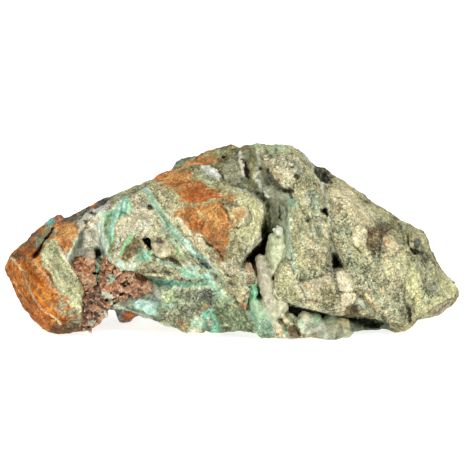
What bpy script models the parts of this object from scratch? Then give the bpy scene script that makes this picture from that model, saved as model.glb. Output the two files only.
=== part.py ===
"""A rough hand specimen of pale speckled host rock, broken into angular clasts
and healed with green and grey chalcedony: one solid, 150 mm long, resting on
the lumps of its own underside.

Every mass is the convex hull of a few corner points.  A corner is given as
(across, down, out) on the specimen's front view: across and down in thirds of
a millimetre from the top left of the sheet, out in millimetres towards the
viewer, who stands VIEW_DISTANCE away and looks down by VIEW_TILT.  The masses
are fused, the open vugs are cut out of them, the surface is roughened, and the
underside is ground flat at the height it stands on.
"""
import math

import bmesh
import bpy
from mathutils import Vector

# ---- driving dimensions -------------------------------------------------
UNITS_PER_MM = 3.0          # sheet units per millimetre in the datum plane
SHEET_MIDDLE = 232.5        # sheet units
VIEW_DISTANCE = 700.0       # mm
VIEW_TILT = math.radians(10.0)
DATUM_HEIGHT = 32.16        # mm, height of the sheet's middle over the table
PLACE = (-0.146, -4.520)        # mm, moves the footprint's middle onto the origin
VOXEL = 1.05                # mm, grain of the fused surface
ROUGHNESS = 1.7             # mm, height of the broad roughness
FINE_ROUGHNESS = 0.8        # mm
KEEP_SHARE = 0.085          # share of the fused surface's faces that is kept
MM = 0.001

# ---- the masses ---------------------------------------------------------
MASSES = {
    # rust-skinned end block, left
    "end_block": [
        (5, 268, -6), (7, 262, -4), (11, 256, -2), (37, 231, -4), (50, 219, -4),
        (57, 216, -6), (12, 259, 3), (33, 261, 11), (45, 268, 14), (67, 258, 16),
        (57, 236, 11), (55, 228, 7), (74, 221.5, 8), (78, 231, 11),
        (80, 283, 16.5), (82, 305, 16), (81, 318, 14), (60, 325, 12.5),
        (47, 313, 14.5), (30, 291, 12), (20, 271, 7), (65, 335.5, 7),
        (50, 333.5, 5), (80, 333, 9), (40, 329, 3), (33, 322, 1), (24, 311, -1),
        (16, 298, -3), (9, 280, -6), (15, 270, -16), (30, 300, -18),
        (50, 333, -13), (50, 235, -18), (85, 222, -20), (88, 328, -16),
        (95, 300, -20),
    ],
    # upper left shoulder, behind the big vug
    "left_shoulder": [
        (58, 222, 0), (70, 215.5, -3), (83, 207.5, -4), (97, 200, -4),
        (108, 193.5, -4), (122, 192, -4), (133, 184.5, -4), (147, 180, -3),
        (152, 178, -2), (150, 192, 11), (130, 201, 12), (106, 212, 12),
        (88, 224, 10), (80, 236, 6), (72, 256, 4), (100, 246, 6), (104, 256, 4),
        (70, 290, -4), (150, 290, -2), (70, 232, -22), (110, 203, -24),
        (150, 188, -25), (74, 292, -20), (150, 296, -24),
    ],
    # veined breccia left of the middle
    "veined_breccia": [
        (100, 222, 12), (105, 211, 12.5), (125, 198, 13), (146, 191, 12),
        (160, 210, 14.5), (185, 242, 15.5), (213, 269, 15), (226, 282, 15),
        (214, 292, 15.5), (180, 281, 15), (150, 279, 13.5), (137, 269, 13.5),
        (127, 270, 14), (117, 268, 14), (104, 257, 13), (101, 240, 13),
        (140, 225, 17), (160, 240, 17.5), (130, 262, 16.5), (180, 262, 17),
        (110, 225, -6), (150, 200, -8), (215, 275, -6), (120, 262, 0),
        (150, 274, -4),
    ],
    # low speckled clast and the pale chalcedony beside it
    "low_clast": [
        (113, 306, 8), (130, 300, 10), (150, 282, 9), (178, 280, 13),
        (214, 290, 16), (226, 300, 16), (240, 314, 15), (252, 331, 12),
        (236, 330, 13), (222, 331, 14), (206, 330, 15), (193, 333.5, 15),
        (180, 331, 14), (165, 326, 13), (150, 317.5, 12), (138, 316, 10),
        (122, 311, 8), (200, 296, 18), (190, 315, 18), (160, 300, 13),
        (140, 302, -10), (170, 300, -16), (230, 300, -18), (235, 328, -10),
        (180, 326, -8), (150, 314, -10), (120, 306, -8),
    ],
    # small tooth hanging below it
    "tooth": [
        (112, 304, 4), (116, 313, 4), (119, 321, 2), (126, 322.5, 1),
        (133, 319, 2), (139, 314, 3), (140, 304, 2), (114, 306, -8),
        (122, 320, -7), (134, 317, -7), (140, 306, -8),
    ],
    # the big rust-faced clast
    "rust_clast": [
        (150, 178, 2), (158, 173, 0), (170, 168, -1), (186, 166.5, 0),
        (200, 176, 7), (216, 185, 11), (236, 186.5, 14), (248, 190, 16),
        (258, 197, 18), (265.5, 202, 18.5), (266.5, 220, 20), (265, 232, 20.5),
        (258, 240, 20.5), (250, 247, 20.5), (243, 258, 19.5), (239, 270, 18.5),
        (243, 284, 18), (249, 293, 17), (250, 303, 16), (246, 314, 15),
        (238, 306, 16), (226, 290, 17), (213, 271, 17.5), (200, 256, 18),
        (185, 238, 17), (172, 223, 15), (160, 206, 12), (150, 190, 8),
        (229, 222, 25), (221, 201, 23), (209, 202, 21.5), (218, 253, 23.5),
        (200, 230, 21.5), (180, 206, 15), (162, 187, -12), (256, 206, 4),
        (256, 233, 6), (236, 262, 4), (240, 300, 2), (200, 250, -2),
        (176, 217, -8),
    ],
    # crest above the big clast
    "crest": [
        (169, 170, -3), (173, 165, -6), (177, 160.5, -7), (190, 157.5, -8),
        (201, 153, -8), (218, 146.5, -9), (231, 143, -9), (241, 149, -6),
        (236, 166, 3), (222, 172, 5), (205, 180, 5), (190, 170, 1),
        (248, 192, 3), (232, 184, 6), (182, 166, -24), (231, 150, -24),
        (195, 205, -27), (250, 200, -27),
    ],
    # sugary grey chalcedony column between the crest and the round clast
    "grey_column": [
        (239, 149, -6), (247, 145, -6), (259, 143, -6), (262, 160, 3),
        (262, 178, 7), (271, 200, 9), (263, 200, 7), (248, 190, 4),
        (236, 172, 3), (246, 160, 4), (276, 196, 6), (280, 226, 6),
        (270, 226, 5), (240, 150, -22), (262, 150, -22), (284, 230, -12),
        (240, 200, -12),
    ],
    # round speckled clast at the top
    "round_clast": [
        (255, 144, -6), (262, 143, -5), (276, 143.5, -6), (290, 144.8, -6),
        (299, 149.5, -5), (309, 161.5, -3), (314, 167, -1), (322, 183, 6),
        (326, 200, 10), (328, 220, 12.5), (329, 238, 14.5), (312, 240, 15),
        (300, 215, 14), (291, 191, 16), (281, 187, 15), (270, 172, 12),
        (262, 157, 8), (276, 152, 7), (285, 160, 15), (301, 170, 14.5),
        (278, 205, 9), (282, 240, 8), (266, 150, -24), (300, 155, -24),
        (325, 190, -24), (328, 245, -14), (280, 245, -10),
    ],
    # upper and lower slabs right of the middle
    "upper_slab": [
        (283, 214, 11), (289, 211, 15), (298, 207, 15), (305, 228, 18),
        (313, 239, 19), (322, 246, 19), (331, 249, 18), (333, 262, 18),
        (331, 270, 18.5), (303, 281.5, 19.5), (299, 276, 19.5),
        (295, 262, 19), (291, 240, 18), (285, 260, 14), (284, 240, 11),
        (300, 250, 20.5), (320, 262, 20.5), (288, 216, -4), (330, 252, -4),
        (330, 270, -4), (290, 262, -2),
    ],
    "lower_slab": [
        (285, 261, 18), (275, 275, 18), (273.5, 290, 18), (277, 298, 17.5),
        (286, 303, 17), (300, 308, 17), (314, 312, 16.5), (325, 315, 16),
        (340, 314, 15.5), (350, 303, 16), (357, 297, 17), (355, 286, 18),
        (346, 270, 18), (335, 268, 18), (303, 279, 20.5), (332, 280, 21),
        (320, 302, 20), (290, 290, 20), (286, 266, 2), (280, 290, 2),
        (300, 303, 2), (330, 309, 2), (350, 296, 2), (345, 272, 0),
    ],
    # right-hand block
    "right_block": [
        (314, 168, -4), (320, 168.5, -6), (330, 173, -6), (343, 180, -6),
        (357, 189, -6), (370, 199, -6), (383, 207, -6), (398, 219, -6),
        (404, 223, -6), (326, 196, 9), (328, 220, 12.5), (333, 246, 15),
        (346, 268, 17), (353, 288, 17.5), (375, 314, 14), (388, 330, 8),
        (396, 334, 6), (406, 330, 6), (416, 322, 4), (350, 212, 15.5),
        (340, 190, 9), (368, 240, 18), (400, 262, 17.5), (382, 300, 18),
        (408, 300, 15), (408, 250, 13), (335, 185, -26), (380, 218, -28),
        (420, 255, -26), (420, 316, -20), (400, 333, -10), (340, 318, -24),
        (380, 326, -22),
    ],
    "right_tip": [
        (398, 220, -6), (411, 225, -4), (418, 228, -5), (425, 233, -6),
        (430, 243, -6), (431, 251, -6), (436, 262, -7), (442, 270, -8),
        (455, 282, -9), (459, 290, -10), (458.5, 300, -9), (455, 304, -8),
        (445, 312, -6), (440, 316.5, -4), (430, 318.5, -1), (417, 321, 3),
        (410, 305, 13), (405, 262, 16), (412, 246, 12), (424, 244, 4),
        (425, 285, 11), (432, 304, 6), (450, 298, -3), (400, 240, -26),
        (430, 265, -24), (450, 292, -20), (430, 316, -16), (400, 318, -22),
    ],
    # green shelf along the foot
    "shelf": [
        (205, 330, 12), (222, 332, 13), (250, 332, 12.5), (258, 336.5, 13.5),
        (268, 340, 14), (285, 340.5, 14.5), (300, 340.5, 14.5),
        (314, 340, 14.5), (328, 342, 14.5), (336, 342, 14.5), (344, 339, 13),
        (351, 336, 12), (356, 331, 10), (383, 328, 5), (396, 333, 4),
        (246, 312, 14.5), (262, 305, 12), (275, 310, 13), (300, 316, 11),
        (320, 317, 12), (345, 320, 9), (384, 320, 0), (205, 326, -18),
        (396, 331, -16), (230, 300, -20), (396, 312, -20), (300, 338, -20),
    ],
    # everything behind the face
    "back_left": [
        (58, 240, -8), (76, 300, -4), (100, 222, 0), (140, 204, -2),
        (200, 176, -6), (250, 214, 0), (250, 314, 2), (165, 306, 2),
        (112, 298, -4), (74, 250, -22), (104, 232, -27), (150, 206, -30),
        (205, 180, -28), (240, 200, -26), (246, 290, -29), (236, 331, -24),
        (180, 322, -27), (140, 300, -28), (92, 284, -26), (78, 300, -18),
        (120, 262, -31),
    ],
    "back_right": [
        (215, 185, -8), (300, 172, -8), (335, 190, -4), (415, 240, -10),
        (436, 295, -12), (400, 320, -6), (300, 322, 4), (235, 300, 0),
        (212, 210, -27), (262, 178, -31), (312, 180, -30), (372, 222, -31),
        (418, 262, -25), (404, 306, -26), (352, 326, -27), (290, 332, -30),
        (226, 322, -26), (214, 262, -29), (300, 250, -33),
    ],
    "back_crest": [
        (178, 170, -10), (205, 157, -12), (231, 149, -12), (262, 149, -12),
        (298, 156, -12), (332, 182, -12), (182, 180, -24), (205, 166, -27),
        (240, 158, -29), (275, 157, -29), (306, 166, -28), (336, 188, -26),
        (200, 232, -22), (330, 232, -22), (250, 200, 0),
    ],
    # hidden foot under the back
    "back_foot": [
        (212, 322, -4), (330, 322, -4), (218, 330, -8), (326, 330, -8),
        (215, 324, -24), (330, 324, -24), (225, 329, -22), (320, 329, -22),
        (230, 300, -26), (310, 300, -26), (270, 300, 0),
    ],
}

# ---- the open vugs ------------------------------------------------------
VUGS = {
    # druse-lined vug beside the end block
    "left_vug": [
        (81, 262, 30), (92, 252, 30), (104, 260, 30), (115, 271, 30),
        (137, 273, 30), (150, 283, 30), (150, 292, 30), (130, 300, 30),
        (112, 305, 30), (84, 300, 30), (88, 265, 3), (104, 262, 2),
        (130, 280, 3), (112, 298, 2), (90, 296, 3),
    ],
    # deep black vug under the rust clast's lip
    "middle_vug": [
        (243, 259, 30), (251, 248, 30), (260, 240, 30), (268, 234, 30),
        (272, 250, 30), (274, 275, 30), (262, 285, 30), (246, 272, 30),
        (252, 252, -10), (262, 242, -10), (266, 262, -10), (254, 266, -10),
    ],
    # slot above it
    "slot": [
        (266, 200, 30), (270, 200, 30), (271, 240, 30), (264, 240, 30),
        (267, 206, -6), (270, 206, -6), (269, 240, -6), (265, 240, -6),
    ],
    # notch in the skyline behind the long grey vein
    "sky_notch": [
        (313, 163, 20), (322, 165, 20), (331, 180, 20), (324, 184, 20),
        (316, 165, -14), (322, 166, -14), (329, 179, -14), (324, 181, -14),
    ],
    # gap between the slabs and the right-hand block
    "slab_gap": [
        (332, 249, 30), (334, 249, 30), (343, 267, 30), (333, 267, 30),
        (333, 252, 4), (340, 265, 4), (334, 265, 4),
    ],
    # undercut over the shelf
    "undercut": [
        (287, 306, 30), (300, 310, 30), (318, 315.5, 30), (345, 317, 30),
        (384, 322, 30), (380, 318, 30), (350, 315, 30), (296, 313, 30),
        (292, 308, 3), (306, 313, 2), (350, 318, 2), (376, 322, 2),
        (350, 323, 4), (300, 316, 4), (378, 327, 4),
    ],
}


def at(across, down, out):
    """A sheet position in metres, +Z up, viewer towards -Y."""
    size = (VIEW_DISTANCE - out) / (VIEW_DISTANCE * UNITS_PER_MM)
    x = (across - SHEET_MIDDLE) * size
    up = (SHEET_MIDDLE - down) * size
    y = up * math.sin(VIEW_TILT) - out * math.cos(VIEW_TILT)
    z = DATUM_HEIGHT + up * math.cos(VIEW_TILT) + out * math.sin(VIEW_TILT)
    return Vector((x, y, z)) * MM


def hull(name, corners, collection):
    """The convex hull of the corners as a helper object."""
    bm = bmesh.new()
    for corner in corners:
        bm.verts.new(at(*corner))
    made = bmesh.ops.convex_hull(bm, input=bm.verts)
    spare = [v for v in bm.verts if not v.link_faces]
    bmesh.ops.delete(bm, geom=spare, context="VERTS")
    bmesh.ops.recalc_face_normals(bm, faces=bm.faces)
    mesh = bpy.data.meshes.new(name)
    bm.to_mesh(mesh)
    bm.free()
    helper = bpy.data.objects.new(name, mesh)
    helper.location = Vector((*PLACE, 0.0)) * MM
    collection.objects.link(helper)
    helper.hide_render = True
    helper.display_type = "WIRE"
    return helper


def box(name, low, high, collection):
    """A cutter box between two corners, in millimetres."""
    mesh = bpy.data.meshes.new(name)
    bm = bmesh.new()
    bmesh.ops.create_cube(bm, size=1.0)
    for v in bm.verts:
        v.co = Vector(
            (low[i] + (v.co[i] + 0.5) * (high[i] - low[i])) * MM for i in range(3)
        )
    bm.to_mesh(mesh)
    bm.free()
    cutter = bpy.data.objects.new(name, mesh)
    collection.objects.link(cutter)
    cutter.hide_render = True
    cutter.display_type = "WIRE"
    return cutter


def cloud(name, size, depth):
    texture = bpy.data.textures.new(name, "CLOUDS")
    texture.noise_scale = size * MM
    texture.noise_depth = depth
    texture.noise_basis = "ORIGINAL_PERLIN"
    return texture


def roughen(stone, name, texture, height):
    rough = stone.modifiers.new(name, "DISPLACE")
    rough.texture = texture
    rough.texture_coords = "LOCAL"
    rough.direction = "NORMAL"
    rough.strength = height * MM
    rough.mid_level = 0.5


def rock_material():
    material = bpy.data.materials.new("host_rock")
    material.use_nodes = True
    shader = material.node_tree.nodes["Principled BSDF"]
    shader.inputs["Base Color"].default_value = (0.50, 0.46, 0.30, 1.0)
    shader.inputs["Roughness"].default_value = 0.75
    shader.inputs["Metallic"].default_value = 0.0
    return material


def main():
    for old in list(bpy.data.objects):
        bpy.data.objects.remove(old)
    scene = bpy.context.scene.collection
    masses = bpy.data.collections.new("masses")
    vugs = bpy.data.collections.new("vugs")
    scene.children.link(masses)
    scene.children.link(vugs)

    names = list(MASSES)
    stone = hull("stone", MASSES[names[0]], scene)
    stone.hide_render = False
    stone.display_type = "TEXTURED"
    for name in names[1:]:
        hull(name, MASSES[name], masses)
    for name, corners in VUGS.items():
        hull(name, corners, vugs)

    fuse = stone.modifiers.new("fuse", "BOOLEAN")
    fuse.operand_type = "COLLECTION"
    fuse.collection = masses
    fuse.operation = "UNION"
    fuse.solver = "EXACT"
    hollow = stone.modifiers.new("hollow", "BOOLEAN")
    hollow.operand_type = "COLLECTION"
    hollow.collection = vugs
    hollow.operation = "DIFFERENCE"
    hollow.solver = "EXACT"

    grain = stone.modifiers.new("grain", "REMESH")
    grain.mode = "VOXEL"
    grain.voxel_size = VOXEL * MM
    grain.use_smooth_shade = False
    roughen(stone, "broad", cloud("broad", 9.0, 2), ROUGHNESS)
    roughen(stone, "fine", cloud("fine", 3.2, 1), FINE_ROUGHNESS)
    fewer = stone.modifiers.new("fewer", "DECIMATE")
    fewer.decimate_type = "COLLAPSE"
    fewer.ratio = KEEP_SHARE
    fewer.use_collapse_triangulate = True

    table = box("table", (-120, -80, -40), (120, 80, 0), scene)
    stand = stone.modifiers.new("stand", "BOOLEAN")
    stand.object = table
    stand.operation = "DIFFERENCE"
    stand.solver = "EXACT"

    stone.data.materials.append(rock_material())


main()
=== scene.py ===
"""Visual model of the rough mineral specimen: angular clasts of pale speckled
rock with rust skins, healed by green and grey chalcedony, with a red-brown
druse in its left vug and pale crystals in the middle one.

Positions are written as (across, down, out) on the specimen's front view:
across and down in thirds of a millimetre, out in millimetres towards the
viewer.  world() turns them into the row frame, in millimetres.
"""

import math
import time
from concurrent.futures import ThreadPoolExecutor

import bmesh
import bpy
import numpy as np
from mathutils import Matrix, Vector

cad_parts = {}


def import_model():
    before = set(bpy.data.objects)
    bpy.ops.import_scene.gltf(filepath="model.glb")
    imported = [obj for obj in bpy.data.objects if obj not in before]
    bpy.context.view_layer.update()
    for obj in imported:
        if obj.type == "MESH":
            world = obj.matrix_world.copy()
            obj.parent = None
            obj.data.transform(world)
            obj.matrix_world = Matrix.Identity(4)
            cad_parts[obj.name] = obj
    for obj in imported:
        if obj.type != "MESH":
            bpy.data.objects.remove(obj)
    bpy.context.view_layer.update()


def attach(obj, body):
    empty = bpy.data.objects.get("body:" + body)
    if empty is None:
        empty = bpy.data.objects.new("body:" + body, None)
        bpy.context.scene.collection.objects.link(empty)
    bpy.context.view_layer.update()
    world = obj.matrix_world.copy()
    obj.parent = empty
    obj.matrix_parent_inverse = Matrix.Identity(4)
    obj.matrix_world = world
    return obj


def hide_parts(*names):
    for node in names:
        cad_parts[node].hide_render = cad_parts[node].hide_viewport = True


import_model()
STARTED = time.perf_counter()

# ---- the front view -----------------------------------------------------
PER_MM = 3.0
MIDDLE = 232.5
DISTANCE = 700.0
TILT = math.radians(10.0)
SIN, COS = math.sin(TILT), math.cos(TILT)
DATUM = 32.16
PLACE = (-0.146, -4.520)
MM = 0.001

CELL = 0.37          # mm, grid of the rock's surface
GROWTH_CELL = 0.25   # mm, grid of the druse and the crystals

F = np.float32


def world(u, v, h):
    """Front-view positions as points in the row frame, in millimetres."""
    u, v, h = (np.asarray(a, dtype=float) for a in (u, v, h))
    size = (DISTANCE - h) / (DISTANCE * PER_MM)
    x = (u - MIDDLE) * size
    up = (MIDDLE - v) * size
    return np.stack(
        [x + PLACE[0], up * SIN - h * COS + PLACE[1], DATUM + up * COS + h * SIN], -1
    )


def sheet(x, y, z):
    """Points in the row frame (millimetres) as (across, down, out)."""
    x = x - F(PLACE[0])
    y = y - F(PLACE[1])
    z = z - F(DATUM)
    h = z * F(SIN) - y * F(COS)
    up = y * F(SIN) + z * F(COS)
    k = F(DISTANCE * PER_MM) / (F(DISTANCE) - h)
    return x * k + F(MIDDLE), F(MIDDLE) - up * k, h


# ---- the masses, as in the CAD part ---------------------------------------
MASSES = {
    # rust-skinned end block, left
    "end_block": [
        (2, 268, -6), (3, 260, -4), (8, 252, -2), (35, 227.5, -4), (50, 216, -4),
        (57, 216, -6), (12, 259, 3), (33, 261, 11), (45, 268, 14), (67, 258, 16),
        (57, 236, 11), (55, 228, 7), (74, 221.5, 8), (78, 231, 11),
        (80, 283, 16.5), (82, 305, 16), (81, 318, 14), (60, 325, 12.5),
        (47, 313, 14.5), (30, 291, 12), (20, 271, 7), (65, 335.5, 7),
        (50, 333.5, 5), (80, 333, 9), (40, 329, 3), (33, 322, 1), (24, 311, -1),
        (16, 298, -3), (9, 280, -6), (15, 270, -16), (30, 300, -18),
        (50, 333, -13), (50, 235, -18), (85, 222, -20), (88, 328, -16),
        (95, 300, -20),
    ],
    # upper left shoulder, behind the big vug
    "left_shoulder": [
        (58, 222, 0), (70, 215.5, -3), (83, 207.5, -4), (97, 200, -4),
        (108, 193.5, -4), (122, 192, -4), (133, 184.5, -4), (147, 180, -3),
        (152, 178, -2), (150, 192, 11), (130, 201, 12), (106, 212, 12),
        (88, 224, 10), (80, 236, 6), (72, 256, 4), (100, 246, 6), (104, 256, 4),
        (70, 290, -4), (150, 290, -2), (70, 232, -22), (110, 203, -24),
        (150, 188, -25), (74, 292, -20), (150, 296, -24),
    ],
    # veined breccia left of the middle
    "veined_breccia": [
        (100, 222, 12), (105, 211, 12.5), (125, 198, 13), (146, 191, 12),
        (160, 210, 14.5), (185, 242, 15.5), (213, 269, 15), (226, 282, 15),
        (214, 292, 15.5), (180, 281, 15), (150, 279, 13.5), (137, 269, 13.5),
        (127, 270, 14), (117, 268, 14), (104, 257, 13), (101, 240, 13),
        (140, 225, 17), (160, 240, 17.5), (130, 262, 16.5), (180, 262, 17),
        (110, 225, -6), (150, 200, -8), (215, 275, -6), (120, 262, 0),
        (150, 274, -4),
    ],
    # low speckled clast and the pale chalcedony beside it
    "low_clast": [
        (113, 306, 8), (130, 300, 10), (150, 282, 9), (178, 280, 13),
        (214, 290, 16), (226, 300, 16), (240, 314, 15), (252, 331, 12),
        (236, 330, 13), (222, 331, 14), (206, 330, 15), (193, 333.5, 15),
        (180, 331, 14), (165, 326, 13), (150, 317.5, 12), (138, 316, 10),
        (122, 311, 8), (200, 296, 18), (190, 315, 18), (160, 300, 13),
        (140, 302, -10), (170, 300, -16), (230, 300, -18), (235, 328, -10),
        (180, 326, -8), (150, 314, -10), (120, 306, -8),
    ],
    # small tooth hanging below it
    "tooth": [
        (112, 304, 4), (116, 313, 4), (119, 321, 2), (126, 322.5, 1),
        (133, 319, 2), (139, 314, 3), (140, 304, 2), (114, 306, -8),
        (122, 320, -7), (134, 317, -7), (140, 306, -8),
    ],
    # the big rust-faced clast
    "rust_clast": [
        (150, 178, 2), (158, 173, 0), (170, 168, -1), (186, 166.5, 0),
        (200, 176, 7), (216, 185, 11), (236, 186.5, 14), (248, 190, 16),
        (258, 197, 18), (265.5, 202, 18.5), (266.5, 220, 20), (265, 232, 20.5),
        (258, 240, 20.5), (250, 247, 20.5), (243, 258, 19.5), (239, 270, 18.5),
        (243, 284, 18), (249, 293, 17), (250, 303, 16), (246, 314, 15),
        (238, 306, 16), (226, 290, 17), (213, 271, 17.5), (200, 256, 18),
        (185, 238, 17), (172, 223, 15), (160, 206, 12), (150, 190, 8),
        (229, 222, 25), (221, 201, 23), (209, 202, 21.5), (218, 253, 23.5),
        (200, 230, 21.5), (180, 206, 15), (162, 187, -12), (256, 206, 4),
        (256, 233, 6), (236, 262, 4), (240, 300, 2), (200, 250, -2),
        (176, 217, -8),
    ],
    # crest above the big clast
    "crest": [
        (169, 170, -3), (173, 165, -6), (177, 160.5, -7), (190, 157.5, -8),
        (201, 153, -8), (218, 146.5, -9), (231, 143, -9), (241, 149, -6),
        (236, 166, 3), (222, 172, 5), (205, 180, 5), (190, 170, 1),
        (248, 192, 3), (232, 184, 6), (182, 166, -24), (231, 150, -24),
        (195, 205, -27), (250, 200, -27),
    ],
    # sugary grey chalcedony column between the crest and the round clast
    "grey_column": [
        (239, 149, -6), (247, 145, -6), (259, 143, -6), (262, 160, 3),
        (262, 178, 7), (271, 200, 9), (263, 200, 7), (248, 190, 4),
        (236, 172, 3), (246, 160, 4), (276, 196, 6), (280, 226, 6),
        (270, 226, 5), (240, 150, -22), (262, 150, -22), (284, 230, -12),
        (240, 200, -12),
    ],
    # round speckled clast at the top
    "round_clast": [
        (255, 144, -6), (262, 143, -5), (276, 143.5, -6), (290, 144.8, -6),
        (299, 149.5, -5), (309, 161.5, -3), (314, 167, -1), (322, 183, 6),
        (326, 200, 10), (328, 220, 12.5), (329, 238, 14.5), (312, 240, 15),
        (300, 215, 14), (291, 191, 16), (281, 187, 15), (270, 172, 12),
        (262, 157, 8), (276, 152, 7), (285, 160, 15), (301, 170, 14.5),
        (278, 205, 9), (282, 240, 8), (266, 150, -24), (300, 155, -24),
        (325, 190, -24), (328, 245, -14), (280, 245, -10),
    ],
    # upper and lower slabs right of the middle
    "upper_slab": [
        (283, 214, 11), (289, 211, 15), (298, 207, 15), (305, 228, 18),
        (313, 239, 19), (322, 246, 19), (331, 249, 18), (333, 262, 18),
        (331, 270, 18.5), (303, 281.5, 19.5), (299, 276, 19.5),
        (295, 262, 19), (291, 240, 18), (285, 260, 14), (284, 240, 11),
        (300, 250, 20.5), (320, 262, 20.5), (288, 216, -4), (330, 252, -4),
        (330, 270, -4), (290, 262, -2),
    ],
    "lower_slab": [
        (285, 261, 18), (275, 275, 18), (273.5, 290, 18), (277, 298, 17.5),
        (286, 303, 17), (300, 308, 17), (314, 312, 16.5), (325, 315, 16),
        (340, 314, 15.5), (350, 303, 16), (357, 297, 17), (355, 286, 18),
        (346, 270, 18), (335, 268, 18), (303, 279, 20.5), (332, 280, 21),
        (320, 302, 20), (290, 290, 20), (286, 266, 2), (280, 290, 2),
        (300, 303, 2), (330, 309, 2), (350, 296, 2), (345, 272, 0),
    ],
    # right-hand block
    "right_block": [
        (314, 168, -4), (320, 168.5, -6), (330, 173, -6), (343, 180, -6),
        (357, 189, -6), (370, 199, -6), (383, 207, -6), (398, 219, -6),
        (404, 223, -6), (326, 196, 9), (328, 220, 12.5), (333, 246, 15),
        (346, 268, 17), (353, 288, 17.5), (375, 314, 14), (388, 330, 8),
        (396, 334, 6), (406, 330, 6), (416, 322, 4), (350, 212, 15.5),
        (340, 190, 9), (368, 240, 18), (400, 262, 17.5), (382, 300, 18),
        (408, 300, 15), (408, 250, 13), (335, 185, -26), (380, 218, -28),
        (420, 255, -26), (420, 316, -20), (400, 333, -10), (340, 318, -24),
        (380, 326, -22),
    ],
    "right_tip": [
        (398, 220, -6), (411, 225, -4), (418, 228, -5), (425, 233, -6),
        (430, 243, -6), (431, 251, -6), (436, 262, -7), (442, 270, -8),
        (455, 282, -9), (459, 290, -10), (458.5, 300, -9), (455, 304, -8),
        (445, 312, -6), (440, 316.5, -4), (430, 318.5, -1), (417, 321, 3),
        (410, 305, 13), (405, 262, 16), (412, 246, 12), (424, 244, 4),
        (425, 285, 11), (432, 304, 6), (450, 298, -3), (400, 240, -26),
        (430, 265, -24), (450, 292, -20), (430, 316, -16), (400, 318, -22),
    ],
    "tip_knob": [
        (405, 230, 5), (412, 226.5, 0), (421, 229.5, -2), (428, 238, 0),
        (430, 248, 1), (425, 254, 8), (416, 254, 13.5), (408, 248, 15),
        (406, 238, 12), (415, 235, 14), (424, 240, 9.5), (422, 248, 13),
        (413, 243, 16.5), (412, 240, -14), (428, 240, -14), (412, 252, -14),
    ],
    # green shelf along the foot
    "shelf": [
        (205, 330, 12), (222, 332, 13), (250, 332, 12.5), (258, 336.5, 13.5),
        (268, 340, 14), (285, 340.5, 14.5), (300, 340.5, 14.5),
        (314, 340, 14.5), (328, 342, 14.5), (336, 342, 14.5), (344, 339, 13),
        (351, 336, 12), (356, 331, 10), (383, 328, 5), (396, 333, 4),
        (246, 312, 14.5), (262, 305, 12), (275, 310, 13), (300, 316, 11),
        (320, 317, 12), (345, 320, 9), (384, 320, 0), (205, 326, -18),
        (396, 331, -16), (230, 300, -20), (396, 312, -20), (300, 338, -20),
    ],
    # everything behind the face
    "back_left": [
        (58, 240, -8), (76, 300, -4), (100, 222, 0), (140, 204, -2),
        (200, 176, -6), (250, 214, 0), (250, 314, 2), (165, 306, 2),
        (112, 298, -4), (74, 250, -22), (104, 232, -27), (150, 206, -30),
        (205, 180, -28), (240, 200, -26), (246, 290, -29), (236, 331, -24),
        (180, 322, -27), (140, 300, -28), (92, 284, -26), (78, 300, -18),
        (120, 262, -31),
    ],
    "back_right": [
        (215, 185, -8), (300, 172, -8), (335, 190, -4), (415, 240, -10),
        (436, 295, -12), (400, 320, -6), (300, 322, 4), (235, 300, 0),
        (212, 210, -27), (262, 178, -31), (312, 180, -30), (372, 222, -31),
        (418, 262, -25), (404, 306, -26), (352, 326, -27), (290, 332, -30),
        (226, 322, -26), (214, 262, -29), (300, 250, -33),
    ],
    "back_crest": [
        (178, 170, -10), (205, 157, -12), (231, 149, -12), (262, 149, -12),
        (298, 156, -12), (332, 182, -12), (182, 180, -24), (205, 166, -27),
        (240, 158, -29), (275, 157, -29), (306, 166, -28), (336, 188, -26),
        (200, 232, -22), (330, 232, -22), (250, 200, 0),
        (314, 165, -16), (330, 171.5, -16), (326, 170, -26),
    ],
    # hidden foot under the back
    "back_foot": [
        (212, 322, -4), (330, 322, -4), (218, 330, -8), (326, 330, -8),
        (215, 324, -24), (330, 324, -24), (225, 329, -22), (320, 329, -22),
        (230, 300, -26), (310, 300, -26), (270, 300, 0),
    ],
}
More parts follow.
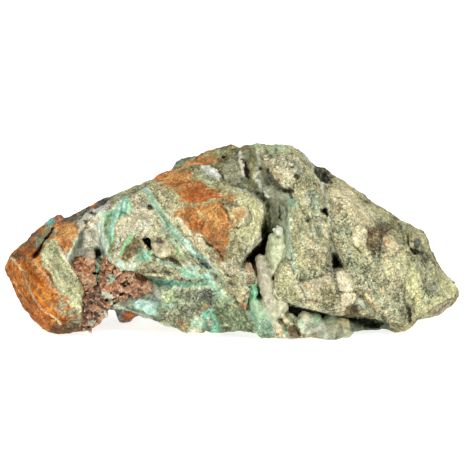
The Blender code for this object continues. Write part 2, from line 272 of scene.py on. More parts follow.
VUGS = {
    # druse-lined vug beside the end block
    "left_vug": [
        (81, 262, 30), (92, 252, 30), (104, 260, 30), (115, 271, 30),
        (137, 273, 30), (150, 283, 30), (150, 292, 30), (130, 300, 30),
        (112, 305, 30), (84, 300, 30), (88, 265, 3), (104, 262, 2),
        (130, 280, 3), (112, 298, 2), (90, 296, 3),
    ],
    # where the end block's edge steps down to the shoulder
    "end_block_step": [
        (73.5, 226, 30), (61, 262, 30), (75, 284.5, 30), (95, 284, 30),
        (95, 226, 30), (84, 228, 5), (72, 261, 5), (82, 280, 5), (95, 280, 3),
        (95, 229, 5),
    ],
    # deep black vug under the rust clast's lip
    "middle_vug": [
        (243, 259, 30), (251, 248, 30), (260, 240, 30), (268, 234, 30),
        (272, 250, 30), (274, 275, 30), (262, 285, 30), (246, 272, 30),
        (252, 252, -10), (262, 242, -10), (266, 262, -10), (254, 266, -10),
    ],
    # slot above it
    "slot": [
        (266, 200, 30), (270, 200, 30), (271, 240, 30), (264, 240, 30),
        (267, 206, -6), (270, 206, -6), (269, 240, -6), (265, 240, -6),
    ],
    # notch in the skyline behind the long grey vein
    "sky_notch": [
        (313, 163, 20), (322, 165, 20), (331, 180, 20), (324, 184, 20),
        (316, 165, -14), (322, 166, -14), (329, 179, -14), (324, 181, -14),
    ],
    # gap between the slabs and the right-hand block
    "slab_gap": [
        (332, 249, 30), (334, 249, 30), (343, 267, 30), (333, 267, 30),
        (333, 252, 4), (340, 265, 4), (334, 265, 4),
    ],
    # undercut over the shelf
    "undercut": [
        (287, 306, 30), (300, 310, 30), (318, 315.5, 30), (345, 317, 30),
        (384, 322, 30), (380, 318, 30), (350, 315, 30), (296, 313, 30),
        (292, 308, 3), (306, 313, 2), (350, 318, 2), (376, 322, 2),
        (350, 323, 4), (300, 316, 4), (378, 327, 4),
    ],
}

# ---- the outline of the front view ----------------------------------------
OUTLINE = [
    (5, 268), (7, 262), (11, 255.5), (20, 247), (29, 239), (37, 230), (44, 225),
    (50, 218), (55, 214.5), (60, 213.5), (65, 217), (70, 215), (76, 210),
    (83, 207), (90, 203), (97, 199), (103, 196), (108, 193), (112, 195),
    (116, 194), (122, 192), (128, 189), (133, 184), (140, 182), (147, 179.5),
    (150, 178), (158, 173), (165, 170), (170, 168.5), (173, 165), (176, 160.5),
    (183, 159), (190, 157.5), (195, 156.5), (201, 153), (210, 149.5),
    (218, 146.5), (226, 144), (231, 143), (235, 145), (240, 148.5), (245, 145),
    (250, 146), (255, 143.5), (260, 143), (266, 144), (271, 145.5),
    (276, 143.5), (283, 144.5), (290, 144.8), (295, 147), (299, 149),
    (304, 154), (309, 161), (314, 165.5), (320, 168), (325, 169), (330, 172),
    (336, 176), (343, 179.5), (350, 184), (357, 189), (364, 194), (370, 199),
    (378, 205), (383, 207), (390, 212), (398, 219), (404, 223), (411, 225),
    (418, 228), (424, 232), (428, 238), (430, 246), (431, 251), (434, 257),
    (436, 262), (441, 269), (448, 276), (455, 282), (458, 287), (459, 293),
    (458, 301), (455, 304), (450, 307), (445, 312), (440, 316), (432, 318),
    (422, 320), (417, 321), (412, 326), (408, 329), (402, 330), (398, 332),
    (395, 333), (388, 330), (382, 328), (372, 329.5), (360, 330), (355, 331),
    (350, 335), (343, 337), (335, 340), (328, 340), (322, 338), (312, 337),
    (300, 337.5), (290, 338), (275, 338), (265, 337.5), (259, 336), (256, 333),
    (250, 331), (243, 330), (239, 329.5), (234, 331.5), (228, 331), (222, 332),
    (215, 333), (209, 331), (205, 329), (200, 333), (193, 334.5), (187, 333),
    (180, 330.5), (172, 330), (165, 326), (158, 322), (150, 317.5),
    (143, 317), (138, 316), (132, 320), (126, 322.5), (120, 322), (118, 318),
    (116, 313), (113, 310), (105, 310), (103, 315), (100, 318.5), (98, 320),
    (97.5, 326), (95, 328), (94, 332), (88, 333), (82, 332), (80, 330.5),
    (72, 333), (65, 334.5), (55, 334), (48, 332), (40, 328.5), (33, 322),
    (25, 312), (19, 303), (15, 296), (11, 287), (9, 280), (6, 273),
]

# Cuts into the front, each (points, depth in mm[, line width]).  A cut with a
# width is a crack along its points; one without is a hole inside them.
CUTS = [
    # end block
    ([(55, 227), (50, 237), (45, 243), (42, 250), (37, 257), (31, 260.5),
      (33, 254), (39, 248), (43, 241), (48, 235), (52, 228)], 6.0),
    ([(84, 220), (89, 220), (88, 223.5), (84, 224)], 1.4),
    ([(90, 211), (95, 212), (94, 215), (90, 214.5)], 1.2),
    # left vug, its black gaps
    ([(95, 250), (102, 249), (103, 256), (99, 258), (96, 262), (93, 261)], 6.0),
    ([(93, 261), (98, 263), (97, 269), (99, 276), (100, 288), (96, 285),
      (91, 278), (93, 270)], 5.0),
    ([(72, 262), (78, 257), (86, 259), (93, 261), (92, 264), (86, 262), (78, 262),
      (74, 266)], 4.0),
    ([(108, 302), (117, 298), (120, 302), (113, 306)], 5.0),
    ([(135, 271), (142, 273), (149, 280), (146, 282), (140, 278)], 4.0),
    # beside the dome and the middle clasts
    ([(142, 239), (149, 238.5), (151, 243), (151, 250), (148, 248), (144, 244)], 6.0),
    ([(147.5, 204.5), (151.5, 205.5), (153, 208.5), (149.5, 208)], 1.6),
    ([(196, 255), (203, 261), (209, 266), (213, 269), (207, 269),
      (200, 263)], 2.2),
    ([(153, 254), (156, 257), (163, 260), (170, 258), (176, 262), (180, 266)], 1.2, 2.6),
    ([(137, 269), (150, 278), (165, 279)], 0.7, 1.8),
    ([(148, 273), (160, 272), (172, 274)], 0.5, 1.8),
    # crest
    ([(221, 158), (223, 156), (227, 156), (226, 160), (223, 161)], 2.8),
    ([(244, 160), (246, 162), (247.5, 170), (248, 178), (245.5, 176), (244, 168)], 2.0),
    ([(259, 167), (262, 167), (265, 169), (262, 171), (259, 170)], 1.6),
    ([(232, 183), (240, 183.5), (246, 187), (238, 187.5), (234, 186)], 2.2),
    ([(214, 180), (220, 181), (218, 184), (215, 184)], 1.2),
    ([(190, 164), (197, 166), (203, 165)], 0.7, 2.2),
    ([(209, 165), (216, 168), (222, 174), (222, 178)], 0.9, 2.0),
    ([(232, 186), (245, 188), (257, 194), (264, 200)], 1.6, 3.0),
    # round clast
    ([(292, 174), (296, 173.5), (298, 177), (299, 180.5), (296, 180), (294, 177)], 2.2),
    ([(290, 168), (294, 168)], 0.8, 2.4),
    ([(268, 171), (272, 180), (278, 187.5), (285, 191), (291, 191)], 2.4, 3.2),
    ([(290, 189), (290.5, 198)], 0.8, 2.0),
    ([(265, 149), (269, 154), (273, 158), (278, 157)], 0.8, 2.2),
    ([(278.5, 205), (280, 206), (281, 213), (280.3, 222), (278.5, 218), (278.5, 208)], 1.5),
    ([(315, 171), (318, 171.5), (323, 175.5), (329, 180), (329, 184), (322, 183),
      (317, 176)], 2.6),
    ([(305, 218), (310, 219), (310, 222.5), (308, 222)], 2.6),
    ([(321.5, 209.5), (325, 207.5), (327.5, 209), (328, 216), (326, 217),
      (325, 213), (321.5, 212.5)], 4.0),
    ([(302, 219), (304, 226), (307, 233), (312, 239), (320, 243), (328, 246)], 0.4, 1.5),
    ([(298, 203), (303, 213), (308, 219)], 0.5, 1.6),
    ([(309, 222), (311, 228)], 1.0, 1.6),
    # gaps between the slabs and the right-hand block
    ([(333.6, 254), (336, 254), (340, 260), (344, 268), (338, 267.5), (334, 269.5),
      (333, 262)], 8.0),
    ([(325, 183), (330, 200), (331, 220), (330, 236), (334, 248)], 0.5, 2.0),
    # slot and middle vug
    ([(267, 198), (269, 203), (270, 212), (270, 225), (269.5, 236),
      (265, 238), (266.5, 225), (266.5, 205)], 1.0),
    ([(243, 260), (250, 250), (258, 243), (266, 237), (270, 236), (267, 243),
      (265, 249), (266, 257), (262, 255), (258, 256), (254, 262), (252, 268),
      (248, 263), (243, 265)], 15.0),
    ([(257, 290), (262.5, 289), (263, 294), (260.5, 298), (257.5, 297)], 7.0),
    ([(260.5, 307), (264, 310), (265, 313), (262, 313)], 2.0),
    ([(249, 284), (252, 289), (252, 302)], 0.7, 1.8),
    # under the slabs
    ([(287, 306), (293, 306), (301, 308), (312, 312), (317, 315), (306, 315),
      (298, 318), (293, 317), (289, 313)], 10.0),
    ([(316, 314.5), (330, 316), (345, 316.5), (357, 317.5), (364, 315),
      (374, 318), (385, 322.5), (379, 328), (366, 327), (355, 322), (345, 319),
      (330, 318)], 6.0),
    ([(343, 313.5), (346, 306), (353, 301), (357, 302), (358, 310), (361, 315),
      (350, 317), (345, 316.5)], 2.0),
    # grooves on the slabs
    ([(300, 277), (301, 281), (310, 278.5), (322, 275), (331, 270)], 0.35, 1.3),
    ([(300, 286), (303, 293), (308, 299), (316, 301)], 0.3, 1.3),
    ([(332, 271), (335, 285), (338, 296), (341, 303)], 0.8, 1.6),
    ([(339, 291), (346, 292.5), (352, 292)], 0.5, 1.2),
    ([(285, 258), (290, 264), (293, 271), (297, 277)], 0.5, 1.4),
    ([(285, 260), (279, 267), (273, 276)], 1.2, 1.6),
    # right-hand block
    ([(408, 236), (408.8, 243), (411.5, 249), (416, 252.5), (423, 254)], 2.6, 2.6),
    ([(414.5, 240), (418, 238.5), (421, 242), (420, 247), (416.5, 248),
      (414, 244)], 1.3),
    ([(368, 228), (379, 227), (381, 240), (377, 255), (372, 252), (368, 242)], 0.9),
    ([(354, 245), (361, 253)], 0.9, 1.4),
    ([(404, 298), (408, 306), (410, 314), (410, 321)], 1.5, 1.8),
    ([(412, 262), (416, 274), (418, 288)], 0.6, 2.4),
    ([(413, 302), (414, 312)], 0.7, 1.8),
    ([(353, 290), (363, 298), (372, 307), (380, 315), (386, 323), (392, 330)], 0.7, 2.0),
    ([(366, 228), (378, 227), (390, 224)], 0.8, 2.0),
    ([(380, 228), (381, 236), (380, 246), (378, 256)], 1.2, 1.8),
    ([(430, 302), (440, 301), (449, 299)], 0.6, 2.0),
    ([(395, 219), (400, 226), (401, 232)], 0.7, 2.4),
    # big clast
    ([(203, 238), (205.5, 240), (207.5, 244), (211, 246)], 0.7, 1.6),
    ([(232, 228), (238, 228.5), (246, 226), (250, 222), (251, 216), (248, 209),
      (242, 206), (236, 206)], 0.6, 1.5),
    ([(222, 200), (225, 208), (229, 219)], 0.5, 1.6),
    ([(217, 249), (220, 254), (223, 259)], 0.5, 1.6),
    ([(222, 268), (228, 276), (233, 279)], 0.4, 1.5),
    # low zone
    ([(200, 291), (206, 291), (211, 296), (211, 301), (204, 301), (200, 297)], 1.0),
    ([(180, 279), (190, 281)], 0.7, 2.6),
    ([(186, 309), (193, 312)], 0.6, 3.0),
    ([(278, 312), (284, 322), (286, 330)], 0.8, 2.0),
    ([(288, 318), (294, 326), (299, 334)], 1.4, 3.0),
]


# ---- noise ------------------------------------------------------------------
class Noise:
    """Smooth random values at points, from a seeded lattice."""

    def __init__(self, seed):
        rng = np.random.default_rng(seed)
        self.lattice = rng.uniform(-1, 1, (32, 32, 32)).astype(F)
        axes = rng.normal(size=(3, 3))
        turn, _ = np.linalg.qr(axes)
        self.turn = turn.astype(F)
        self.shift = rng.uniform(0, 32, 3).astype(F)

    def __call__(self, p, scale, stretch=None):
        """About -1 to 1 at the (N, 3) points, with features scale mm apart."""
        q = p.astype(F)
        if stretch is not None:
            q = q * np.asarray(stretch, F)
        q = (q @ self.turn) / F(scale) + self.shift
        i = np.floor(q).astype(np.int32)
        f = q - i
        f = f * f * f * (f * (f * 6 - 15) + 10)
        i0 = i & 31
        i1 = (i + 1) & 31
        lat = self.lattice
        x0, y0, z0 = i0.T
        x1, y1, z1 = i1.T
        fx, fy, fz = f.T

        def mix(a, b, t):
            return a + (b - a) * t

        low = mix(mix(lat[x0, y0, z0], lat[x1, y0, z0], fx),
                  mix(lat[x0, y1, z0], lat[x1, y1, z0], fx), fy)
        high = mix(mix(lat[x0, y0, z1], lat[x1, y0, z1], fx),
                   mix(lat[x0, y1, z1], lat[x1, y1, z1], fx), fy)
        return mix(low, high, fz) * F(1.5)


def fractal(seed, p, scale, octaves=3, rough=0.55, stretch=None):
    total = np.zeros(len(p), F)
    size, weight, norm = scale, 1.0, 0.0
    for k in range(octaves):
        total += F(weight) * Noise(seed + 101 * k)(p, size, stretch)
        norm += weight * weight
        size *= 0.5
        weight *= rough
    return total / F(math.sqrt(norm))


def grains(seed, p, scale):
    """For each point the distance to the nearest of the scattered grain
    centres, the gap to the second nearest (both in grains) and the nearest
    one's own random number."""
    rng = np.random.default_rng(seed)
    jitter = rng.uniform(0.08, 0.92, (24, 24, 24, 3)).astype(F)
    own = rng.uniform(0, 1, (24, 24, 24)).astype(F)
    turn, _ = np.linalg.qr(rng.normal(size=(3, 3)))
    q = (p.astype(F) @ turn.astype(F)) / F(scale)
    i = np.floor(q).astype(np.int32)
    f = q - i
    n = len(p)
    d1 = np.full(n, 9.0, F)
    d2 = np.full(n, 9.0, F)
    who = np.zeros(n, F)
    for a in (-1, 0, 1):
        for b in (-1, 0, 1):
            for c in (-1, 0, 1):
                cell = ((i[:, 0] + a) % 24, (i[:, 1] + b) % 24, (i[:, 2] + c) % 24)
                off = jitter[cell] + np.array([a, b, c], F) - f
                d = np.einsum("ij,ij->i", off, off)
                near = d < d1
                d2 = np.where(near, d1, np.minimum(d2, d))
                who = np.where(near, own[cell], who)
                d1 = np.where(near, d, d1)
    return np.sqrt(d1), np.sqrt(d2) - np.sqrt(d1), who


def lattice_noise(axes, scale, seed):
    """Smooth noise on a whole grid at once, with spread 1."""
    rng = np.random.default_rng(seed)
    weights = []
    for a in axes:
        q = (a - a[0]) / scale + rng.uniform(0, 1)
        i = np.floor(q).astype(int)
        t = q - i
        m = np.zeros((len(a), i.max() + 4), F)
        row = np.arange(len(a))
        m[row, i] = (1 - t) ** 3 / 6
        m[row, i + 1] = (3 * t ** 3 - 6 * t ** 2 + 4) / 6
        m[row, i + 2] = (-3 * t ** 3 + 3 * t ** 2 + 3 * t + 1) / 6
        m[row, i + 3] = t ** 3 / 6
        weights.append(m)
    r = rng.normal(size=[m.shape[1] for m in weights]).astype(F)
    out = np.tensordot(weights[0], r, (1, 0))
    out = np.tensordot(out, weights[1], (1, 1))
    out = np.tensordot(out, weights[2], (1, 1))
    return out / out.std()


def ramp(x, low, high):
    t = np.clip((x - low) / (high - low), 0, 1)
    return t * t * (3 - 2 * t)


# ---- shapes on the front view --------------------------------------------------
def polygon_distance(px, py, points):
    """Distance in sheet units to a closed outline, negative inside."""
    best = None
    inside = np.zeros(px.shape, bool)
    last = points[-1]
    for point in points:
        (x0, y0), (x1, y1) = last, point
        last = point
        ex, ey = x1 - x0, y1 - y0
        length = ex * ex + ey * ey
        if length == 0:
            continue
        wx, wy = px - F(x0), py - F(y0)
        t = np.clip((wx * F(ex) + wy * F(ey)) / F(length), 0, 1)
        d = (wx - F(ex) * t) ** 2 + (wy - F(ey) * t) ** 2
        best = d if best is None else np.minimum(best, d)
        if ey != 0:
            inside ^= ((y0 <= py) != (y1 <= py)) & (wx < F(ex / ey) * wy)
    return np.where(inside, F(-1), F(1)) * np.sqrt(best)


def line_distance(px, py, points):
    """Distance in sheet units to an open line of points."""
    best = np.full(px.shape, 1e9, F)
    for (x0, y0), (x1, y1) in zip(points, points[1:]):
        ex, ey = x1 - x0, y1 - y0
        wx, wy = px - F(x0), py - F(y0)
        t = np.clip((wx * F(ex) + wy * F(ey)) / F(ex * ex + ey * ey + 1e-9), 0, 1)
        best = np.minimum(best, (wx - F(ex) * t) ** 2 + (wy - F(ey) * t) ** 2)
    return np.sqrt(best)


def look_up(canvas, u, v, step):
    """Reads a canvas of the front view, step sheet units per cell, at (u, v)."""
    a = np.clip(u / F(step), 0, canvas.shape[1] - 1.001)
    b = np.clip(v / F(step), 0, canvas.shape[0] - 1.001)
    i, j = a.astype(np.int32), b.astype(np.int32)
    s, t = a - i, b - j
    return (canvas[j, i] * (1 - s) * (1 - t) + canvas[j, i + 1] * s * (1 - t)
            + canvas[j + 1, i] * (1 - s) * t + canvas[j + 1, i + 1] * s * t)


def draw_cuts():
    """How deep the front is cut, on a canvas of half sheet units."""
    size = 930
    depth = np.zeros((size, size), F)
    for cut in CUTS:
        points, deep = cut[0], cut[1]
        width = cut[2] if len(cut) > 2 else None
        pad = 4 + (width or 0)
        us = [p[0] for p in points]
        vs = [p[1] for p in points]
        i0, i1 = int((min(us) - pad) * 2), int((max(us) + pad) * 2) + 1
        j0, j1 = int((min(vs) - pad) * 2), int((max(vs) + pad) * 2) + 1
        jj, ii = np.mgrid[j0:j1, i0:i1].astype(F)
        u, v = ii / 2, jj / 2
        wob = F(0.5)
        u = u + wob * np.sin(v * F(1.1) + u * F(0.5)) + wob * np.sin(v * F(2.3) - u * F(1.7)) * F(0.5)
        v = v + wob * np.sin(u * F(1.3) - v * F(0.4)) * F(0.8)
        if width is None:
            d = polygon_distance(u, v, points)
            soft = 1.2 if deep < 3 else 1.6
            shape = ramp(-d, -0.7, soft)
        else:
            d = line_distance(u, v, points)
            shape = ramp(-d, -width * 0.5 - 0.9, -width * 0.1)
        block = depth[j0:j1, i0:i1]
        np.maximum(block, (F(deep) + F(0.6)) * shape, out=block)
    return depth


# ---- volumes ------------------------------------------------------------------
def planes_of(points):
    """The faces of the points' convex hull as outward planes (n, offset), mm."""
    bm = bmesh.new()
    for p in points:
        bm.verts.new(p)
    bmesh.ops.convex_hull(bm, input=bm.verts)
    spare = [w for w in bm.verts if not w.link_faces]
    bmesh.ops.delete(bm, geom=spare, context="VERTS")
    bmesh.ops.recalc_face_normals(bm, faces=bm.faces)
    found = {}
    for face in bm.faces:
        n = face.normal
        if n.length < 0.5:
            continue
        c = n.dot(face.verts[0].co)
        found[(round(n.x, 3), round(n.y, 3), round(n.z, 3), round(c, 2))] = (n.x, n.y, n.z, c)
    bm.free()
    return np.array(list(found.values()))


def soft_max(a, b, k):
    h = np.maximum(F(k) - np.abs(a - b), 0)
    return np.maximum(a, b) + h * h * F(0.25 / k)


def soft_min(a, b, k):
    h = np.maximum(F(k) - np.abs(a - b), 0)
    return np.minimum(a, b) - h * h * F(0.25 / k)


def hull_field(corners, axes, margin, edge):
    """A hull's distance field on the part of the grid around it."""
    p = world(*np.array(corners, float).T)
    low, high = p.min(0) - margin, p.max(0) + margin
    cut = []
    for a, lo, hi in zip(axes, low, high):
        i, j = np.searchsorted(a, (lo, hi))
        cut.append(slice(max(i - 1, 0), min(j + 1, len(a))))
    x, y, z = (a[s].astype(F) for a, s in zip(axes, cut))
    d = None
    for nx, ny, nz, c in planes_of(p):
        e = ((F(nx) * x)[:, None, None] + (F(ny) * y)[None, :, None]
             + (F(nz) * z - F(c))[None, None, :])
        d = e if d is None else soft_max(d, e, edge)
    return tuple(cut), d


def surface_net(f, axes):
    """The zero surface of a grid field, negative inside: points and quads."""
    inside = f < 0
    count = np.zeros([n - 1 for n in f.shape], np.int8)
    for a in (0, 1):
        for b in (0, 1):
            for c in (0, 1):
                count += inside[a:f.shape[0] - 1 + a, b:f.shape[1] - 1 + b,
                                c:f.shape[2] - 1 + c]
    ix, iy, iz = np.nonzero((count > 0) & (count < 8))
    index = np.full(count.shape, -1, np.int32)
    index[ix, iy, iz] = np.arange(len(ix), dtype=np.int32)
    corner = [(a, b, c) for a in (0, 1) for b in (0, 1) for c in (0, 1)]
    value = [f[ix + a, iy + b, iz + c] for a, b, c in corner]
    spot = np.zeros((len(ix), 3), F)
    hits = np.zeros(len(ix), F)
    for m in range(8):
        for n in range(m + 1, 8):
            step = np.subtract(corner[n], corner[m])
            if np.abs(step).sum() != 1:
                continue
            va, vb = value[m], value[n]
            crossed = (va < 0) != (vb < 0)
            t = np.where(crossed, va / np.where(crossed, va - vb, 1), 0)
            for k in range(3):
                spot[:, k] += np.where(crossed, corner[m][k] + t * step[k], 0)
            hits += crossed
    spot /= hits[:, None]
    origin = np.array([a[0] for a in axes])
    cell = axes[0][1] - axes[0][0]
    points = origin + (np.stack([ix, iy, iz], 1) + spot) * cell

    quads = []
    for axis in range(3):
        others = [k for k in range(3) if k != axis]
        here = [slice(1, n - 1) for n in f.shape]
        here[axis] = slice(0, f.shape[axis] - 1)
        ahead = list(here)
        ahead[axis] = slice(1, f.shape[axis])
        a, b = inside[tuple(here)], inside[tuple(ahead)]
        at = np.nonzero(a != b)
        at = [w + (1 if k != axis else 0) for k, w in enumerate(at)]
        outward = f[at[0], at[1], at[2]] < 0
        around = []
        for s, t in ((1, 1), (0, 1), (0, 0), (1, 0)):
            pos = list(at)
            pos[others[0]] = at[others[0]] - s
            pos[others[1]] = at[others[1]] - t
            around.append(index[pos[0], pos[1], pos[2]])
        quad = np.stack(around, 1)
        if axis == 1:
            outward = ~outward
        quad = np.where(outward[:, None], quad, quad[:, ::-1])
        quads.append(quad)
    quads = np.concatenate(quads)
    return points, quads[(quads >= 0).all(1)]


def keep_largest(points, quads, least=None):
    """Drops the loose bits, or with least those under that many points."""
    n = len(points)
    label = np.arange(n)
    a = np.concatenate([quads[:, 0], quads[:, 1], quads[:, 2], quads[:, 3]])
    b = np.concatenate([quads[:, 1], quads[:, 2], quads[:, 3], quads[:, 0]])
    while True:
        low = np.minimum(label[a], label[b])
        new = label.copy()
        np.minimum.at(new, a, low)
        np.minimum.at(new, b, low)
        new = new[new]
        new = new[new]
        if (new == label).all():
            break
        label = new
    sizes = np.bincount(label, minlength=n)
    good = sizes[label] >= least if least else label == sizes.argmax()
    place = np.cumsum(good) - 1
    quads = quads[good[quads].all(1)]
    return points[good], place[quads]


def normals_of(points, quads):
    d1 = points[quads[:, 2]] - points[quads[:, 0]]
    d2 = points[quads[:, 3]] - points[quads[:, 1]]
    n = np.cross(d1, d2)
    out = np.zeros_like(points)
    for k in range(3):
        for c in range(4):
            out[:, k] += np.bincount(quads[:, c], n[:, k], len(points))
    return out / np.maximum(np.linalg.norm(out, axis=1, keepdims=True), 1e-12)


def relaxed(values, quads, turns):
    """Averages values over each point's neighbours, turns times."""
    n = len(values)
    a = np.concatenate([quads[:, k] for k in range(4)])
    b = np.concatenate([quads[:, (k + 1) % 4] for k in range(4)])
    number = np.bincount(a, minlength=n) + np.bincount(b, minlength=n)
    v = np.array(values, float)
    flat = v.ndim == 1
    if flat:
        v = v[:, None]
    for _ in range(turns):
        total = np.stack(
            [np.bincount(a, v[b, k], n) + np.bincount(b, v[a, k], n)
             for k in range(v.shape[1])], 1)
        v = total / np.maximum(number, 1)[:, None]
    return v[:, 0] if flat else v

# Wedges behind the seams between the clasts, so that no light comes through.
FILLERS = {
    "seam_wedge": [
        (140, 184, 5), (149, 178, 1), (157, 174, 1), (158, 184, 6), (176, 222, 12.5), (196, 222, 10),
        (208, 264, 15), (226, 262, 13), (242, 312, 13), (254, 300, 10),
        (214, 290, 13), (142, 188, -8), (150, 178, -6), (158, 174, -6), (160, 186, -8), (200, 220, -8),
        (226, 262, -8), (252, 304, -8), (236, 312, -8),
    ],
    "back_seam": [
        (134, 194, -10), (150, 181, -10), (178, 169, -10), (202, 168, -12),
        (134, 200, -26), (152, 188, -27), (176, 178, -27), (202, 172, -27),
        (150, 240, -27), (200, 230, -27), (165, 220, -4),
    ],
    "vug_floor": [
        (244, 262, 3), (266, 240, 1), (284, 240, 4), (288, 262, 8), (278, 300, 11),
        (264, 312, 11), (246, 310, 10), (244, 286, 8), (244, 262, -10),
        (288, 240, -10), (288, 300, -10), (244, 310, -10),
    ],
}
# Added after the vugs are cut, as their floors nearer to the front.
PLUGS = {
    "slot_floor": [
        (261, 186, 11), (272, 184, 13), (286, 190, 14.6), (287, 234, 13.8),
        (276, 236, 12.2), (267, 233, 12), (263, 210, 15.4), (261, 186, -6),
        (286, 190, -6), (286, 234, -4), (266, 233, -4),
    ],
    "notch_floor": [
        (341, 298, 12), (362, 296, 12), (366, 315, 11), (358, 317, 11.5),
        (343, 317, 12.5), (341, 298, 2), (362, 296, 2), (366, 315, 2), (343, 317, 2),
    ],
}

# Growths: balls as (across, down, out, radius in mm, colour).  An out of None
# rests the ball on the rock, sunk in by a third of its radius.
DRUSE = [
    (81, 262, 9.5, 1.5, "druse_orange"), (87, 263, 9, 1.2, "druse_pale"),
    (88.5, 266, 8.5, 1.4, "druse_pale"), (79, 270, 9.5, 1.7, "druse_orange"),
    (85, 271, 10, 1.5, "druse_orange"), (83, 277, 10, 1.4, "druse_pale"),
    (88, 280, 10, 1.6, "druse_pale"), (91, 283, 9.5, 1.2, "druse_pale"),
    (86, 286, 9.5, 1.3, "druse"), (91, 289, 9, 1.3, "druse_dark"),
    (76, 264, 9, 1.2, "druse_orange"), (98.5, 266, 7.2, 1.1, "teal_deep"),
    (97, 280, 7.0, 1.1, "teal_deep"), (98.5, 284.5, 7.2, 1.0, "teal_deep"),
    (105, 262, 9, 1.4, "druse"), (107, 261, 10, 1.5, "druse"),
    (111, 267, 10.5, 1.5, "druse"), (106.5, 268.5, 9.5, 1.4, "druse"),
    (109, 273, 10, 1.3, "druse"), (105.5, 277, 9, 1.2, "druse"),
    (106, 285, 9.5, 1.4, "druse_orange"), (110, 288, 10.5, 1.4, "druse_orange"),
    (116, 286, 11, 1.4, "druse_orange"), (111, 277, 10.2, 1.3, "chal_green"),
    (113.5, 281, 10.2, 1.4, "chal_green"), (110, 281.5, 10.0, 1.1, "chal_pale"),
    (115.5, 277, 10.2, 1.2, "chal_pale"), (119, 272, 11, 1.4, "druse"),
    (125, 271, 11, 1.5, "druse"), (130, 274, 11, 1.5, "druse_pale"),
    (132, 280, 11, 1.5, "druse_pale"), (122, 279, 11, 1.4, "druse"),
    (127, 284, 9.5, 1.2, "druse_dark"), (137, 283, 10.5, 1.5, "druse"),
    (135, 290, 11, 1.7, "druse"), (141, 287, 10.5, 1.4, "druse"),
    (147, 286, 11, 1.8, "druse_pale"), (121, 289, 11, 1.4, "druse_pale"),
    (128, 289, 11, 1.4, "druse_pale"), (126, 295, 10, 1.4, "druse"),
    (135, 296, 10, 1.2, "druse_pale"), (117, 295, 9.5, 1.4, "druse_dark"),
    (123, 297, 9.5, 1.4, "druse_dark"), (140, 292, 10.5, 1.4, "druse"),
    (112, 296, 9.5, 1.1, "chal_pale"), (107, 293, 9, 1.3, "chal_pale"),
    (111, 301, 8.5, 1.1, "chal_grey"), (105, 290, 8.5, 1.1, "chal_pale"),
    (90, 294, 9, 1.4, "druse_dark"), (97, 293, 9, 1.4, "druse_dark"),
    (102, 297, 8.5, 1.4, "druse_dark"), (88, 300, 9.5, 1.6, "druse_dark"),
    (95, 300, 9.5, 1.5, "druse_dark"), (102, 303, 8.5, 1.4, "druse_dark"),
    (108, 304, 8, 1.3, "druse"), (86, 308, 9, 1.5, "druse_dark"),
    (93, 308, 9, 1.5, "druse"), (99, 310, 8, 1.3, "druse_pale"),
    (103.5, 312, 7, 1.2, "chal_pale"), (101, 316, 6.5, 1.0, "druse_pale"),
    (88, 315, 8, 1.6, "druse_dark"), (94, 316, 7.5, 1.4, "druse_dark"),
    (85, 322, 7.5, 1.4, "druse_dark"), (91, 323, 7, 1.5, "chal_grey"),
    (95.5, 322, 6, 1.1, "druse"), (84.5, 328, 6.2, 1.4, "druse_dark"),
    (90, 329, 6, 1.4, "druse_dark"), (94, 328, 5.5, 1.0, "druse"),
]
DRUSE_CORES = [
    [(103, 259, 6), (107, 256, 7.5), (113, 260, 8.5), (120, 268, 9), (134, 271, 9),
     (145, 280, 8), (151, 284, 8.5), (150, 292, 8), (140, 297, 8.5), (126, 299, 8.5),
     (112, 304, 7), (106, 298, 7), (104, 286, 7), (103, 272, 6), (107, 262, -6),
     (146, 284, -4), (112, 300, -6)],
    [(73, 264, 7), (82, 257, 8), (88, 263, 7.5), (89, 275, 8), (92, 284, 8),
     (95, 291, 7.5), (88, 292, 8), (80, 281, 8.5), (74, 272, 8), (76, 264, -6),
     (96, 290, -6)],
    [(82, 290, 7), (92, 287, 8), (102, 291, 8), (109, 301, 6.5), (110, 307, 6),
     (103, 313, 5), (98, 318, 4.5), (96, 329, 3.5), (82, 330, 3.5), (81, 318, 6),
     (82, 304, 8), (86, 292, -8), (106, 304, -8), (84, 328, -8), (94, 326, -8)],
]
# where small druse crystals are sown: (outline, out, how many, colours)
DRUSE_BEDS = [
    ([(74, 262), (82, 256), (89, 262), (91, 276), (96, 290), (86, 292), (76, 276)],
     8.6, 46, ("druse_orange", "druse", "druse_pale")),
    ([(103, 258), (112, 260), (120, 269), (140, 274), (152, 284), (150, 294),
      (128, 300), (112, 304), (104, 292)], 9.3, 120,
     ("druse", "druse_pale", "druse_orange", "druse_dark", "druse_dark")),
    ([(83, 290), (102, 290), (111, 304), (104, 314), (97, 320), (95, 331),
      (82, 331), (82, 304)], 7.6, 90, ("druse_dark", "druse", "druse_dark", "druse_orange")),
]

